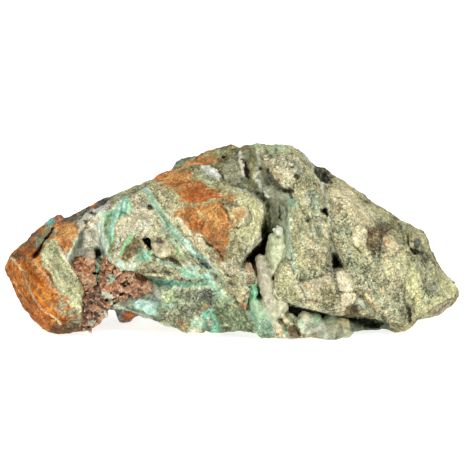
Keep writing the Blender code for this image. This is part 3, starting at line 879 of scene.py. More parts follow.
# rods as lists of (across, down, out, radius), then a colour
CRYSTAL_RODS = [
    ([(259.5, 259, 13, 1.5), (261.5, 266, 13.5, 2.1), (264, 275, 14, 2.4),
      (267, 287, 14, 2.5), (270.5, 299, 14, 2.6)], "spar"),
    ([(248.5, 265.5, 13.5, 1.1), (251, 273, 13.5, 1.5), (254, 281, 13, 1.5)], "peach"),
    ([(246.5, 272, 15, .7), (248.5, 280, 14.5, .9)], "peach"),
    ([(205, 168.5, None, 1.0), (212, 172.5, None, 1.55), (218, 177, None, 1.0)],
     "chal_white"),
    ([(251, 297, 12.5, 1.3), (255, 305, 12.5, 1.7), (259, 314, 12.5, 1.5)],
     "green_light"),
    ([(240.5, 153, None, .55), (241.5, 163, None, .75), (243, 176, None, .5)],
     "chal_pale"),
]
CRYSTAL_BALLS = [
    (277.5, 231.5, 15, 1.5, "chal_pale"), (280, 229, 14.6, .9, "chal_white"),
    (274.5, 229.5, 14.6, .8, "chal_white"), (280.5, 234, 14.8, .8, "chal_pale"),
    (275, 235, 14.6, .9, "crystal"), (277.5, 226.5, 14, .7, "chal_pale"),
    (280.5, 237, 13.6, 1.3, "crystal"), (273, 237.5, 13.6, 1.2, "crystal"),
    # beads in the slot, in a grey-green darkened as painted shade
    (273, 200, 12.6, .9, "slot_grey_shaded"), (273.4, 204, 12.6, 1.0, "slot_grey_shaded"),
    (273, 208.5, 12.6, 1.1, "slot_grey_shaded"), (273.8, 213.5, 12.4, 1.05, "slot_grey_shaded"),
    (274.6, 218.5, 12.2, 1.1, "slot_grey_shaded"), (274.6, 223.5, 12.2, 1.0, "slot_grey_shaded"),
    (271.6, 211, 12.0, .7, "slot_grey_shaded"), (272.4, 221, 11.8, .7, "slot_grey_shaded"),
    (272, 303, 14.2, 2.6, "spar"), (280, 305, 14.8, 2.5, "lump"),
    (276, 311, 14.6, 2.4, "lump"), (267, 308, 13.4, 1.6, "chal_green"),
    (284, 307, 14, 1.6, "lump"), (280, 314, 13.8, 1.4, "lump"),
    (270, 315, 13.8, 1.8, "chal_green"), (273, 320, 13.4, 1.4, "chal_green"),
    (264, 302, 12, 1.3, "chal_green"), (266, 313, 13.4, 1.1, "mint"),
    (324, 216.5, None, .8, "chal_grey"),
    (89, 257.5, 8.2, 1.25, "pink_grey"), (92, 257, 8.0, 1.2, "pink_grey"),
    (90.5, 255.5, 7.6, 1.1, "pink_grey"), (87, 258.5, 7.8, .9, "pink_grey"),
    # the dome: lower balls lighter as painted light, upper-left ones darker as painted shade, the
    # dimple ball dark as painted shade
    (155, 246, None, 1.3, "dome"), (165.5, 246.5, None, 1.4, "dome"),
    (164, 252.3, None, 1.8, "dome_painted_light"), (158, 250.5, None, 1.6, "dome"),
    (166.5, 242, None, .9, "dome"), (153.6, 242, None, .9, "dome_dark"),
    (167.8, 251, None, 1.3, "dome_painted_light"), (160.5, 255.3, None, 1.1, "dome_painted_light"),
    (159.6, 242.6, None, 1.1, "hollow"), (161.5, 246.5, None, 1.1, "dome_dark"),
    (124, 220, None, 1.5, "cream"), (150, 214, None, 1.2, "cream_pink"),
    (140, 222, None, 1.0, "cream"), (109, 263, None, 1.0, "mint_white"),
    (115, 267, None, 1.1, "mint_white"), (129, 267, None, 1.2, "mint_white"),
    (134, 265, None, 1.0, "mint_white"), (122, 268, None, 1.0, "mint"),
    (255, 304, None, 1.9, "green_light"), (257.5, 310, None, 2.0, "green_light"),
    (261, 317, None, 1.6, "green_light"), (252, 309, None, 1.2, "green_mid"),
    (189, 312, None, .9, "grey_dark"),
    (306, 319, None, 2.7, "lump"), (302, 325, None, 2.1, "chal_green"),
    (308, 330, None, 1.8, "chal_grey"), (315, 320, None, 2.5, "green_mid"),
    (320, 328, None, 2.6, "chal_grey"), (311, 315, None, 1.8, "green_mid"),
    (303, 331, None, 1.2, "lump"), (331, 322, None, 2.8, "green_grey"),
    (333, 331, None, 3.2, "grey_olive"), (342, 326, None, 3.0, "beige_dark"),
    (345, 332, None, 2.2, "grey_olive"),
    (325, 334, None, 1.9, "chal_grey"), (286, 320, None, 1.3, "beige_dark"),
    (292, 317, None, 1.4, "chal_dull"), (291, 324, None, 1.0, "olive"),
    (149, 307, None, 2.0, "mint_blue"), (143, 305, None, 1.6, "mint_blue"),
    (152, 310, None, 1.6, "mint_blue"), (146, 303, None, 1.4, "mint_blue"),
    (210, 323, None, 1.2, "chal_grey"),
]
CRYSTAL_HULLS = [
    ([(265.5, 246, 13), (270, 236.5, 14.5), (283, 236.5, 15), (287, 249, 15),
      (285.5, 259, 14), (280, 267, 14), (273.5, 277.5, 14), (270, 268, 13.5),
      (265.5, 256, 12.5), (273, 241, 16.6), (281, 242, 17), (270, 252, 16.2),
      (282, 256, 16.6), (275, 268, 15.8), (272, 234.5, 13), (284, 234.5, 13),
      (270, 246, 1), (284, 246, 1), (276, 270, 1)], "crystal"),
    ([(255, 281, 13.4), (259, 288, 13.2), (258, 297, 13.4), (253, 303, 14),
      (248.5, 285, 14.4), (252, 285, 16.6), (255, 293, 16.8), (250, 290, 4),
      (257, 292, 4), (254, 302, 6)], "teal_bright"),
]


def growth_field(balls, rods, hulls, front, blend, faceted=False):
    """Balls, rods and hulls melted into one field, with the nearest one's
    colour pair at each grid point."""
    names = []
    shapes = []

    def place(u, v, h, r):
        if h is None:
            h = float(look_up(front, np.array([u], F), np.array([v], F), 2.0)[0]) - 0.45 * r
        return world(u, v, h)

    for u, v, h, r, name in balls:
        shapes.append(("ball", place(u, v, h, r), r, None, None))
        names.append(name)
    for points, name in rods:
        ends = [(place(u, v, h, r), r) for u, v, h, r in points]
        for (a, ra), (b, rb) in zip(ends, ends[1:]):
            shapes.append(("rod", a, ra, b, rb))
            names.append(name)
    low = np.min([np.minimum(s[1] - s[2], s[3] - s[4]) if s[0] == "rod" else s[1] - s[2]
                  for s in shapes], 0) - 1.2
    high = np.max([np.maximum(s[1] + s[2], s[3] + s[4]) if s[0] == "rod" else s[1] + s[2]
                   for s in shapes], 0) + 1.2
    for corners, name in hulls:
        p = world(*np.array(corners, float).T)
        low, high = np.minimum(low, p.min(0) - 1.2), np.maximum(high, p.max(0) + 1.2)
    axes = [np.arange(a, b, GROWTH_CELL) for a, b in zip(low, high)]
    f = np.full([len(a) for a in axes], 4.0, F)
    best = f.copy()
    owner = np.zeros(f.shape, np.int16)

    def melt(cut, d, number, k):
        part, near, own = f[cut], best[cut], owner[cut]
        closer = d < near
        own[closer] = number
        near[closer] = d[closer]
        part[...] = soft_min(part, d, k)

    for corners, name in hulls:
        cut, d = hull_field(corners, axes, 1.5, 0.45)
        melt(cut, d, len(names), 0.5)
        names.append(name)
    for number, (kind, a, ra, b, rb) in enumerate(shapes):
        lo = (np.minimum(a, b) if kind == "rod" else a) - max(ra, rb or 0) - 1.5
        hi = (np.maximum(a, b) if kind == "rod" else a) + max(ra, rb or 0) + 1.5
        cut = tuple(slice(*np.searchsorted(w, (p, q))) for w, p, q in zip(axes, lo, hi))
        x, y, z = np.meshgrid(*(w[s].astype(F) for w, s in zip(axes, cut)),
                              indexing="ij", sparse=True)
        if kind == "ball" and faceted:
            # a little block, turned at random
            turn = np.linalg.qr(np.random.default_rng(900 + number).normal(size=(3, 3)))[0]
            sides = [np.abs(F(t[0]) * (x - F(a[0])) + F(t[1]) * (y - F(a[1]))
                            + F(t[2]) * (z - F(a[2]))) for t in turn]
            d = np.maximum(np.maximum(sides[0], sides[1]), F(0.8) * sides[2]) - F(0.8 * ra)
        elif kind == "ball":
            d = np.sqrt((x - F(a[0])) ** 2 + (y - F(a[1])) ** 2 + (z - F(a[2])) ** 2) - F(ra)
        else:
            e = b - a
            t = np.clip(((x - F(a[0])) * F(e[0]) + (y - F(a[1])) * F(e[1])
                         + (z - F(a[2])) * F(e[2])) / F(e @ e), 0, 1)
            d = np.sqrt((x - F(a[0]) - t * F(e[0])) ** 2
                        + (y - F(a[1]) - t * F(e[1])) ** 2
                        + (z - F(a[2]) - t * F(e[2])) ** 2) - (F(ra) + t * F(rb - ra))
        melt(cut, d, number, blend)
    return f, axes, owner, names


def sown_balls():
    rng = np.random.default_rng(77)
    balls = list(DRUSE)
    for outline, out, count, colours in DRUSE_BEDS:
        us = [p[0] for p in outline]
        vs = [p[1] for p in outline]
        made = 0
        while made < count:
            u = rng.uniform(min(us), max(us), 1).astype(F)
            v = rng.uniform(min(vs), max(vs), 1).astype(F)
            d = polygon_distance(u, v, outline)[0]
            if d > -0.5:
                continue
            fall = max(0.0, 1 - abs(d) / 5.0) * 2.0
            low = 1.6 if v[0] > 314 else 0.0
            balls.append((float(u[0]), float(v[0]),
                          out - fall - low + rng.uniform(-0.9, 0.5),
                          rng.uniform(0.45, 0.95),
                          colours[int(rng.integers(len(colours)))]))
            made += 1
    return balls


def front_canvas(f, axes, reach):
    """The furthest out that the rock comes, on a canvas of 2 sheet units."""
    i, j, k = np.nonzero((f < 0) & (f > -F(reach)))
    u, v, h = sheet(axes[0][i].astype(F), axes[1][j].astype(F), axes[2][k].astype(F))
    n = 233
    top = np.full(n * n, -60.0, F)
    cu = np.clip(np.round(u / 2), 0, n - 1).astype(np.int64)
    cv = np.clip(np.round(v / 2), 0, n - 1).astype(np.int64)
    np.maximum.at(top, cv * n + cu, h)
    top = top.reshape(n, n)
    for _ in range(3):
        pad = np.pad(top, 1, mode="edge")
        near = np.max([pad[1:-1, :-2], pad[1:-1, 2:], pad[:-2, 1:-1], pad[2:, 1:-1]], 0)
        top = np.where(top < -50, near, top)
    return top


def disc_max(canvas, radius):
    """The highest value within a radius, in cells, round each cell."""
    r = int(radius)
    pad = np.pad(canvas, r, mode="edge")
    rows, cols = canvas.shape
    best = canvas.copy()
    for i in range(-r, r + 1):
        for j in range(-r, r + 1):
            if i * i + j * j <= radius * radius:
                np.maximum(best, pad[r + i:r + i + rows, r + j:r + j + cols], out=best)
    return best


def rock_field():
    low, high = np.array([-79.5, -32.0, -1.6]), np.array([79.5, 32.0, 64.0])
    axes = [np.arange(a, b, CELL) for a, b in zip(low, high)]
    f = np.full([len(a) for a in axes], 6.0, F)

    with ThreadPoolExecutor(4) as pool:
        made = list(pool.map(
            lambda corners: hull_field(corners, axes, 4.0, 1.7),
            list(MASSES.values()) + list(FILLERS.values())))
        holes = list(pool.map(
            lambda corners: hull_field(corners, axes, 2.0, 1.5), VUGS.values()))
    for cut, d in made:
        part = f[cut]
        part[...] = soft_min(part, d - F(0.55), 1.3)
    del made

    x, y, z = (a.astype(F) for a in axes)
    u, v, h = sheet(x[:, None, None], y[None, :, None], z[None, None, :])
    v, h = np.broadcast_to(v, f.shape), np.broadcast_to(h, f.shape)
    jj, ii = np.mgrid[0:466, 0:466].astype(F)
    rim = polygon_distance(ii, jj, OUTLINE)
    rim = look_up(rim, u, v, 1.0) / F(PER_MM)
    f += lattice_noise(axes, 9.0, 11) * F(0.30)
    f += lattice_noise(axes, 4.2, 12) * F(0.24)
    f = soft_max(f, rim, 0.9)
    f += lattice_noise(axes, 2.1, 13) * F(0.10)

    # Narrow clefts between the clasts are filled nearly to their edges.
    top = front_canvas(f, axes, 3.0)
    shut = -disc_max(-disc_max(top, 3.2), 3.2)
    level = look_up(shut, u, v, 2.0)
    fill = np.maximum(h - level + F(1.2), level - F(13) - h)
    fill = np.minimum(np.maximum(fill, rim + F(1.1)), F(6))
    f = soft_min(f, fill, 1.0)
    del level, fill

    for cut, d in holes:
        part = f[cut]
        part[...] = soft_max(part, -d, 1.0)
    del holes
    for corners in PLUGS.values():
        cut, d = hull_field(corners, axes, 3.0, 1.5)
        part = f[cut]
        part[...] = soft_min(part, d, 1.0)

    front = front_canvas(f, axes, 3.0)
    depth = draw_cuts()
    deep = look_up(depth, u, v, 0.5)
    where = np.nonzero((deep > 0.02) & (f < 4))
    uu, vv, hh = u[where], v[where], h[where]
    cutter = hh - look_up(front, uu, vv, 2.0) - F(0.6) + deep[where]
    f[where] = soft_max(f[where], np.minimum(cutter, 4), 0.5)
    del deep

    f = np.maximum(f, -z[None, None, :])
    return f, axes, front


def make_mesh(name, points, quads, normals, tint, mask):
    """A Blender mesh from arrays in millimetres, with its painted colours."""
    mesh = bpy.data.meshes.new(name)
    mesh.vertices.add(len(points))
    mesh.vertices.foreach_set("co", (points * MM).astype(F).ravel())
    mesh.loops.add(quads.size)
    mesh.loops.foreach_set("vertex_index", quads.astype(np.int32).ravel())
    mesh.polygons.add(len(quads))
    mesh.polygons.foreach_set("loop_start", np.arange(0, quads.size, 4, dtype=np.int32))
    mesh.update(calc_edges=True)
    mesh.validate()
    for key, values in (("tint", tint), ("mask", mask)):
        layer = mesh.attributes.new(key, "FLOAT_COLOR", "POINT")
        rgba = np.ones((len(points), 4), F)
        rgba[:, :values.shape[1]] = values
        layer.data.foreach_set("color", rgba.ravel())
    mesh.shade_smooth()
    if normals is not None:
        mesh.normals_split_custom_set_from_vertices(normals.astype(F).tolist())
    made = bpy.data.objects.new(name, mesh)
    bpy.context.scene.collection.objects.link(made)
    return made


# ---- colours, each as a light and a dark shade that the noise mixes ------------
PALETTE = {
    "rust": ((200, 120, 40), (158, 84, 20)),
    "rust_deep": ((182, 98, 34), (138, 70, 20)),
    "rust_red": ((190, 100, 46), (150, 74, 28)),
    "rust_pale": ((212, 152, 84), (188, 124, 56)),
    "rust_mid": ((196, 124, 70), (158, 92, 48)),
    "rust_soft": ((204, 146, 90), (174, 118, 68)),
    "peach": ((206, 182, 148), (178, 144, 108)),
    "green_light": ((170, 196, 156), (130, 164, 126)),
    "dome": ((178, 170, 134), (148, 138, 104)),
    # the dome's colour in a painted-light copy for its lower balls and a painted-shade copy for its
    # upper-left ones; hollow is painted shade for its dimple
    "dome_painted_light": ((206, 196, 158), (184, 172, 134)),
    "dome_dark": ((134, 118, 88), (98, 82, 56)),
    "hollow": ((84, 68, 46), (54, 42, 28)),
    # grey-green darkened as painted shade, for the beads in the slot
    "slot_grey_shaded": ((114, 118, 90), (80, 84, 62)),
    "cream_bright": ((250, 244, 214), (238, 228, 192)),
    "rust_brown": ((144, 100, 64), (104, 72, 46)),
    "rust_dark": ((112, 66, 38), (72, 40, 24)),
    "pink_orange": ((214, 170, 112), (194, 144, 86)),
    "ochre": ((182, 146, 86), (150, 118, 66)),
    "cream": ((224, 215, 178), (206, 194, 152)),
    "cream_pink": ((216, 206, 176), (194, 182, 148)),
    "beige": ((214, 206, 162), (184, 176, 134)),
    "beige_dark": ((188, 178, 134), (150, 140, 100)),
    "beige_pink": ((212, 202, 162), (186, 172, 134)),
    "lime": ((208, 206, 158), (188, 185, 136)),
    "lime_dull": ((198, 195, 150), (170, 166, 122)),
    "lime_green": ((190, 200, 150), (160, 174, 124)),
    "olive": ((150, 148, 104), (112, 110, 74)),
    "olive_dark": ((92, 88, 58), (58, 56, 36)),
    "olive_brown": ((152, 132, 92), (104, 88, 58)),
    "grey_olive": ((156, 156, 122), (114, 114, 86)),
    "grey_green": ((184, 188, 154), (150, 156, 124)),
    "green_grey": ((146, 160, 130), (110, 124, 98)),
    "green_dark": ((92, 108, 78), (58, 72, 50)),
    "green_mid": ((138, 172, 130), (104, 138, 100)),
    "grey": ((162, 164, 142), (122, 124, 106)),
    "grey_dark": ((104, 106, 96), (70, 72, 64)),
    "grey_blue": ((132, 142, 134), (96, 106, 98)),
    "brown": ((122, 98, 70), (80, 62, 44)),
    "brown_dark": ((84, 62, 44), (48, 34, 24)),
    "chal_grey": ((170, 174, 150), (136, 140, 116)),
    "chal_dull": ((146, 148, 120), (110, 112, 88)),
    "chal_pale": ((204, 208, 186), (172, 178, 154)),
    "chal_white": ((222, 222, 208), (190, 192, 176)),
    "chal_green": ((190, 204, 172), (158, 176, 144)),
    "chal_dark": ((96, 104, 84), (62, 70, 54)),
    "mint": ((184, 218, 194), (152, 192, 166)),
    "mint_white": ((206, 220, 200), (180, 200, 178)),
    "mint_blue": ((178, 212, 196), (146, 186, 170)),
    "teal": ((150, 194, 162), (110, 160, 130)),
    "teal_deep": ((94, 160, 130), (64, 124, 98)),
    "teal_bright": ((150, 216, 170), (112, 186, 140)),
    "turquoise": ((122, 188, 168), (90, 150, 134)),
    "green_bright": ((132, 206, 142), (98, 176, 112)),
    "lilac": ((206, 202, 188), (174, 170, 156)),
    # painted shade: near black for the insides of holes, gaps, grooves and the skyline notch, and for
    # the knob's crescent shadow
    "black": ((30, 28, 22), (16, 14, 10)),
    "pink_grey": ((182, 166, 146), (146, 130, 108)),
    "crystal": ((200, 204, 166), (172, 180, 140)),
    "spar": ((196, 190, 164), (164, 158, 134)),
    "lump": ((198, 194, 162), (168, 168, 134)),
    "druse": ((170, 120, 80), (112, 72, 46)),
    "knob": ((158, 100, 68), (116, 70, 46)),
    "druse_pale": ((186, 150, 114), (144, 108, 78)),
    "druse_dark": ((118, 76, 50), (72, 46, 30)),
    "druse_orange": ((176, 112, 62), (132, 76, 38)),
}

# Painted on the rock in this order.  A row is (shape, points, colour, options).
# Shapes: "zone" right through the rock, "area" on the front, "line" with a
# width, "spot" as (across, down, half width, half height, turn in degrees).
# Options: o opacity, s softness, w wobble, g gloss, k dark specks, p pale
# grains, r height in mm, n how much noise breaks the shape up.
PAINT = [
    # ---- broad zones
    ("zone", [(-9, 340), (-9, 180), (60, 206), (66, 222), (78, 222), (80, 236),
              (70, 256), (80, 283), (84, 305), (84, 345)], "rust", dict(k=.25, p=.05)),
    ("zone", [(58, 208), (110, 180), (150, 170), (152, 200), (112, 214),
              (88, 226), (70, 262), (62, 226)], "grey_olive", dict(k=.8, p=.5)),
    ("zone", [(78, 222), (88, 211), (106, 205), (106, 250), (96, 262), (70, 262)],
     "lilac", dict(k=.25, p=.3, g=.35)),
    ("zone", [(68, 262), (100, 246), (118, 268), (152, 280), (152, 300),
              (112, 312), (110, 340), (80, 340), (80, 283)], "druse", dict(k=.2, g=.2)),
    ("zone", [(104, 212), (124, 194), (148, 186), (215, 270), (214, 284),
              (150, 280), (116, 268), (102, 256)], "beige", dict(k=.6, p=.6)),
    ("zone", [(108, 300), (150, 278), (215, 274), (250, 300), (258, 345),
              (112, 345)], "green_grey", dict(k=.6, p=.3)),
    ("zone", [(150, 176), (172, 160), (236, 184), (268, 200), (268, 236),
              (244, 262), (252, 302), (246, 318), (212, 270), (146, 190)],
     "beige", dict(k=.5, p=.4)),
    ("zone", [(168, 172), (174, 150), (236, 130), (246, 190), (236, 186),
              (200, 178)], "olive", dict(k=.7, p=.3)),
    ("zone", [(236, 135), (262, 135), (290, 192), (292, 262), (262, 262),
              (264, 200), (244, 190), (232, 184)], "chal_dull", dict(k=.4, g=.4)),
    ("zone", [(258, 135), (306, 135), (334, 190), (334, 248), (300, 216),
              (288, 192), (264, 176)], "beige", dict(k=.9, p=.7)),
    ("zone", [(284, 212), (298, 205), (334, 248), (336, 274), (300, 283),
              (290, 262)], "lime_dull", dict(k=.55, p=.5)),
    ("zone", [(272, 278), (285, 258), (300, 281), (333, 270), (347, 268),
              (360, 298), (342, 317), (300, 310), (274, 300)], "beige_pink",
     dict(k=.6, p=.6)),
    ("zone", [(312, 150), (420, 150), (420, 345), (388, 345), (350, 290),
              (332, 248), (328, 190)], "beige", dict(k=.75, p=.6)),
    ("zone", [(402, 200), (480, 200), (480, 345), (402, 345)], "lime_dull",
     dict(k=.65, p=.5)),
    ("zone", [(246, 303), (276, 300), (300, 309), (318, 315), (345, 318),
              (386, 321), (396, 332), (396, 350), (205, 350), (205, 330)],
     "chal_dull", dict(k=.4, g=.45)),

    # ---- end block
    ("area", [(8, 258), (20, 247), (37, 230), (46, 222), (54, 229), (46, 240),
              (40, 250), (32, 259), (22, 259)], "rust_brown", dict(k=.5, n=.4)),
    ("area", [(18, 250), (30, 246), (38, 244), (34, 256), (24, 258)], "rust_deep",
     dict(o=.8, n=.6)),
    ("line", [(20, 247), (29, 239), (38, 230)], 3.5, "olive_brown", dict(o=.7, n=.6)),
    ("area", [(35, 238), (42, 229), (50, 224), (55, 229), (47, 238), (42, 245),
              (39, 250), (36, 246)], "grey_olive", dict(k=.9, p=.6)),
    ("spot", (42, 231, 3, 2.6, 0), "rust", dict(o=.8)),
    ("area", [(44, 228), (47, 221), (54, 217), (55, 227), (50, 226)], "green_grey",
     dict(k=.5)),
    ("spot", (51.5, 221.5, 4.6, 4.2, 0), "turquoise", dict(g=.4)),
    ("spot", (66, 223, 5, 2.4, -20), "turquoise", dict(o=.6, g=.3)),
    ("area", [(12, 262), (32, 262), (46, 277), (60, 296), (56, 320), (44, 314),
              (32, 296), (21, 274)], "rust", dict(n=.3, k=.2)),
    ("area", [(30, 262), (40, 256), (43, 264), (47, 276), (40, 274), (33, 268)],
     "rust_pale", dict(o=.7, n=.6)),
    ("area", [(40, 288), (52, 284), (58, 296), (56, 310), (48, 308), (42, 298)],
     "rust_pale", dict(o=.75, n=.7)),
    ("area", [(5, 266), (12, 262), (24, 286), (34, 306), (50, 324), (40, 328),
              (26, 314), (14, 294)], "rust_deep", dict(o=.65, n=.6)),
    ("area", [(22, 300), (30, 306), (34, 314), (28, 312)], "rust_dark", dict(o=.5, n=.8)),
    ("line", [(30, 260), (34, 268), (42, 276), (47, 277)], 1.4, "rust_dark",
     dict(o=.5, r=-.2)),
    ("line", [(47, 278), (56, 290), (60, 300)], 1.2, "rust_pale", dict(o=.5)),
    ("line", [(11, 258), (17, 264.5), (22, 271), (26, 279), (27.7, 285), (33.5, 297.7),
              (42.7, 309), (50.7, 316), (61, 323.6)], 1.5, "beige",
     dict(o=.95, s=.7, w=.5, g=.25, r=.15, k=.1)),
    ("line", [(24, 275), (27, 284), (30.5, 292)], 2.4, "grey_green",
     dict(o=.8, s=.8, w=.5, g=.3)),
    ("line", [(30, 294), (38, 304), (46, 311)], 0.8, "cream", dict(o=.6, s=.6, w=.6)),
    ("line", [(8.6, 272), (17.3, 286), (23, 297.6), (25.4, 304)], 1.0, "beige_dark",
     dict(o=.8, s=.7, w=.5)),
    ("line", [(12, 277), (19, 291), (28, 305), (36, 316)], 0.8, "olive_brown",
     dict(o=.6, s=.6, w=.8, n=.3)),
    ("line", [(17.3, 256), (28.8, 262), (34.6, 269), (42.7, 275.7)], 0.8, "beige_dark",
     dict(o=.7, s=.6, w=.5)),
    ("line", [(20, 263), (32, 275), (44, 288), (54, 300)], 0.7, "rust_pale",
     dict(o=.6, s=.6, w=.8, n=.3)),
    ("line", [(26, 268), (38, 280), (50, 292), (60, 306)], 0.7, "rust_dark",
     dict(o=.45, s=.7, w=.8, n=.5)),
    ("line", [(46, 280), (54, 287), (62, 294), (69, 302)], 1.0, "beige",
     dict(o=.8, s=.6, w=.5)),
    ("line", [(42, 284), (52, 296), (58, 306)], 0.8, "rust_deep", dict(o=.6, w=.8)),
    ("line", [(36, 290), (46, 302), (56, 312)], 0.8, "rust_pale", dict(o=.6, w=.8, n=.4)),
    ("area", [(56, 299), (64, 298), (66, 308), (60, 312), (56, 308)], "grey_olive",
     dict(o=.8, n=.4, k=.6)),
    # striped zone
    ("area", [(46, 241), (54, 237), (59, 247), (67, 258), (73, 268), (79, 278),
              (82, 292), (82, 306), (80, 316), (74, 308), (66, 300), (60, 291),
              (54, 284), (49, 275), (43, 266), (41, 252)], "lime_dull",
     dict(k=.4, p=.4)),
    ("line", [(44, 246), (56, 262), (68, 280), (76, 296)], 2.4, "grey_olive",
     dict(o=.35, n=.5, r=-.15)),
    ("line", [(50, 242), (60, 256), (70, 270), (78, 284)], 2.2, "lime_dull",
     dict(o=.75, n=.3, r=.15)),
    ("line", [(53, 244), (64, 260), (74, 276)], 1.1, "grey_dark", dict(o=.35, n=.4, r=-.12)),
    ("line", [(44, 256), (52, 270), (62, 284), (72, 296)], 2.6, "lime_dull",
     dict(o=.6, n=.5)),
    ("line", [(46, 252), (57, 268), (68, 286)], 1.4, "grey_green", dict(o=.5, n=.4)),
    ("line", [(60, 254), (66, 262), (72, 272)], 2.0, "cream", dict(o=.5, n=.5)),
    ("area", [(55, 236), (58, 234), (70, 256), (66, 260), (58, 248)], "beige",
     dict(o=.6, k=.3)),
    ("line", [(48, 241), (60, 258), (72, 274), (80, 288)], 0.9, "olive_dark",
     dict(o=.45, w=.35, n=.35, r=-.12)),
    ("line", [(51, 240), (63, 257), (76, 275)], 1.0, "cream", dict(o=.8, w=.35, n=.2, r=.1)),
    ("line", [(55, 240), (66, 256), (78, 273)], 0.9, "grey_dark",
     dict(o=.45, w=.35, n=.3, r=-.12)),
    ("line", [(45, 244), (57, 261), (70, 280), (78, 294)], 1.0, "lime",
     dict(o=.7, w=.35, n=.3)),
    ("line", [(44, 250), (55, 266), (67, 284), (76, 299)], 0.9, "olive_dark",
     dict(o=.35, w=.4, n=.4, r=-.1)),
    ("line", [(43, 256), (53, 271), (64, 287)], 1.0, "cream", dict(o=.6, w=.4, n=.4)),
    ("line", [(57, 238), (69, 256), (80, 272)], 1.0, "beige", dict(o=.8, w=.35)),
    ("area", [(70, 288), (80, 286), (81, 298), (78, 306), (72, 300)], "lime",
     dict(o=.9, n=.5, k=.4)),
    ("spot", (75, 303, 4.5, 4, 0), "lime", dict(n=.4)),
    ("area", [(60, 292), (70, 300), (72, 312), (62, 316), (56, 308)], "grey_green",
     dict(o=.8, n=.7, k=.5)),
    ("spot", (64, 300, 3, 3.4, 30), "rust", dict(o=.9, n=.6)),
    ("spot", (68, 308, 3.4, 2, -30), "rust", dict(o=.9, n=.6)),
    ("spot", (67, 314, 5, 1.3, -35), "lime", dict(o=.8, n=.3)),
    ("area", [(70, 308), (78, 310), (80, 332), (66, 330), (66, 318)], "grey_olive",
     dict(o=.9, n=.5, k=.6)),
    ("spot", (79, 318, 2.4, 6, 0), "chal_grey", dict(o=.8, g=.3)),
    ("area", [(50, 326), (62, 322), (80, 324), (80, 336), (52, 336)], "brown",
     dict(o=.9, n=.6, k=.7)),
    ("area", [(56, 317), (68, 317), (68, 322), (62, 325), (55, 322)], "rust",
     dict(o=.95, n=.4)),
    ("line", [(56, 318), (64, 321), (70, 319)], 1.3, "rust_dark", dict(o=.7, n=.4)),
    ("line", [(48, 322), (56, 328), (66, 333)], 2.4, "rust_dark", dict(o=.45, n=.7)),
    # orange triangle beside it
    ("area", [(57, 229), (64, 224), (74, 221), (79, 228), (78, 233), (73, 243),
              (70, 252), (68, 258), (63, 252), (57, 244), (54, 238)], "rust_mid",
     dict(k=.2, p=.05, n=.15)),
    ("line", [(60, 226), (64, 236), (70, 248)], 1.0, "cream", dict(o=.5, w=.5, n=.4)),
    ("line", [(68, 224), (70, 234), (72, 242)], 1.0, "rust_pale", dict(o=.6, w=.5)),
    ("area", [(58, 228), (72, 224), (76, 232), (68, 250), (60, 244)], "rust_soft",
     dict(o=.9, n=.3)),
    ("spot", (66, 243, 5, 2.6, 10), "rust_red", dict(o=.8, n=.5)),
    ("line", [(58, 246), (70, 246.5)], 1.0, "brown", dict(o=.7, r=-.15)),
    ("line", [(56, 245), (62, 252), (67, 259)], 2.0, "cream", dict(o=.8)),
    ("line", [(54, 230), (54, 238), (57, 244)], 1.6, "beige", dict(o=.7)),

    # ---- top-left ridge
    ("area", [(62, 218), (70, 213), (83, 205), (97, 197), (108, 191), (118, 192),
              (112, 200), (100, 208), (88, 212), (78, 217), (70, 224), (64, 222)],
     "grey_dark", dict(k=.6, p=.35)),
    ("area", [(74, 218), (78, 211), (86, 207), (84, 213)], "olive_brown",
     dict(o=.8, n=.4, k=.5)),
    ("area", [(86, 210), (90, 204), (96, 201.5), (96, 206), (92, 209)], "rust_mid",
     dict(n=.15)),
    ("spot", (107, 196, 4, 2.5, -20), "green_grey", dict(o=.7)),
    ("area", [(110, 196), (124, 190), (128, 196), (116, 203), (110, 203)], "grey_green",
     dict(k=.7, o=.9)),
    ("area", [(122, 193), (134, 184), (146, 180), (150, 190), (138, 196), (128, 198)],
     "lime_dull", dict(k=.8, n=.4)),
    ("spot", (135, 192, 4, 3, 0), "grey_blue", dict(o=.6)),
    ("area", [(140, 182), (152, 177), (172, 186), (172, 200), (158, 196), (146, 190)],
     "lime_dull", dict(k=.9, p=.5, n=.3)),
    ("area", [(128, 196), (140, 194), (140, 202), (132, 203)], "cream_pink",
     dict(o=.8, n=.4)),
    ("area", [(136, 200), (148, 200), (146, 206), (138, 206)], "olive_brown",
     dict(o=.7, n=.6)),

    # ---- white part between the ridge and the vug
    ("area", [(80, 222), (88, 213), (104, 209), (104, 216), (94, 220), (88, 226),
              (82, 231)], "chal_white", dict(k=.2, g=.4)),
    ("area", [(88, 222), (98, 218), (100, 226), (94, 226)], "lilac", dict(g=.3)),
    ("line", [(88, 214), (96, 212), (104, 210)], 2.2, "mint", dict(o=.6)),
    ("area", [(83, 230), (90, 224), (99, 228), (100, 243), (92, 248), (82, 245)],
     "cream", dict(k=.6, p=.5, n=.1)),
    ("area", [(88, 224), (90.5, 228), (86, 236), (82, 244), (77, 252), (72, 262),
              (67, 264), (67, 256), (73, 245), (80, 232)], "grey_blue",
     dict(g=.7, n=.1, k=.1)),
    ("spot", (78, 243, 3.2, 6, 20), "green_grey", dict(o=.6, g=.6)),
    ("spot", (76, 254, 5, 4, 0), "chal_grey", dict(o=.7, g=.6)),
    ("area", [(76, 250), (90, 244), (102, 246), (103, 252), (92, 256), (80, 260),
              (72, 260)], "chal_pale", dict(g=.5, n=.2)),
    # painted shade in the gap beside the pink-grey lump
    ("area", [(95, 248), (102, 246), (104, 256), (98, 262), (94, 256)], "olive_dark",
     dict(o=.85, n=.3)),
    # painted light: the cream patch on the vug's wall under the overhang, made brighter than its
    # colour
    ("area", [(84, 231), (90, 225), (97, 226), (99, 234), (98, 243), (92, 247),
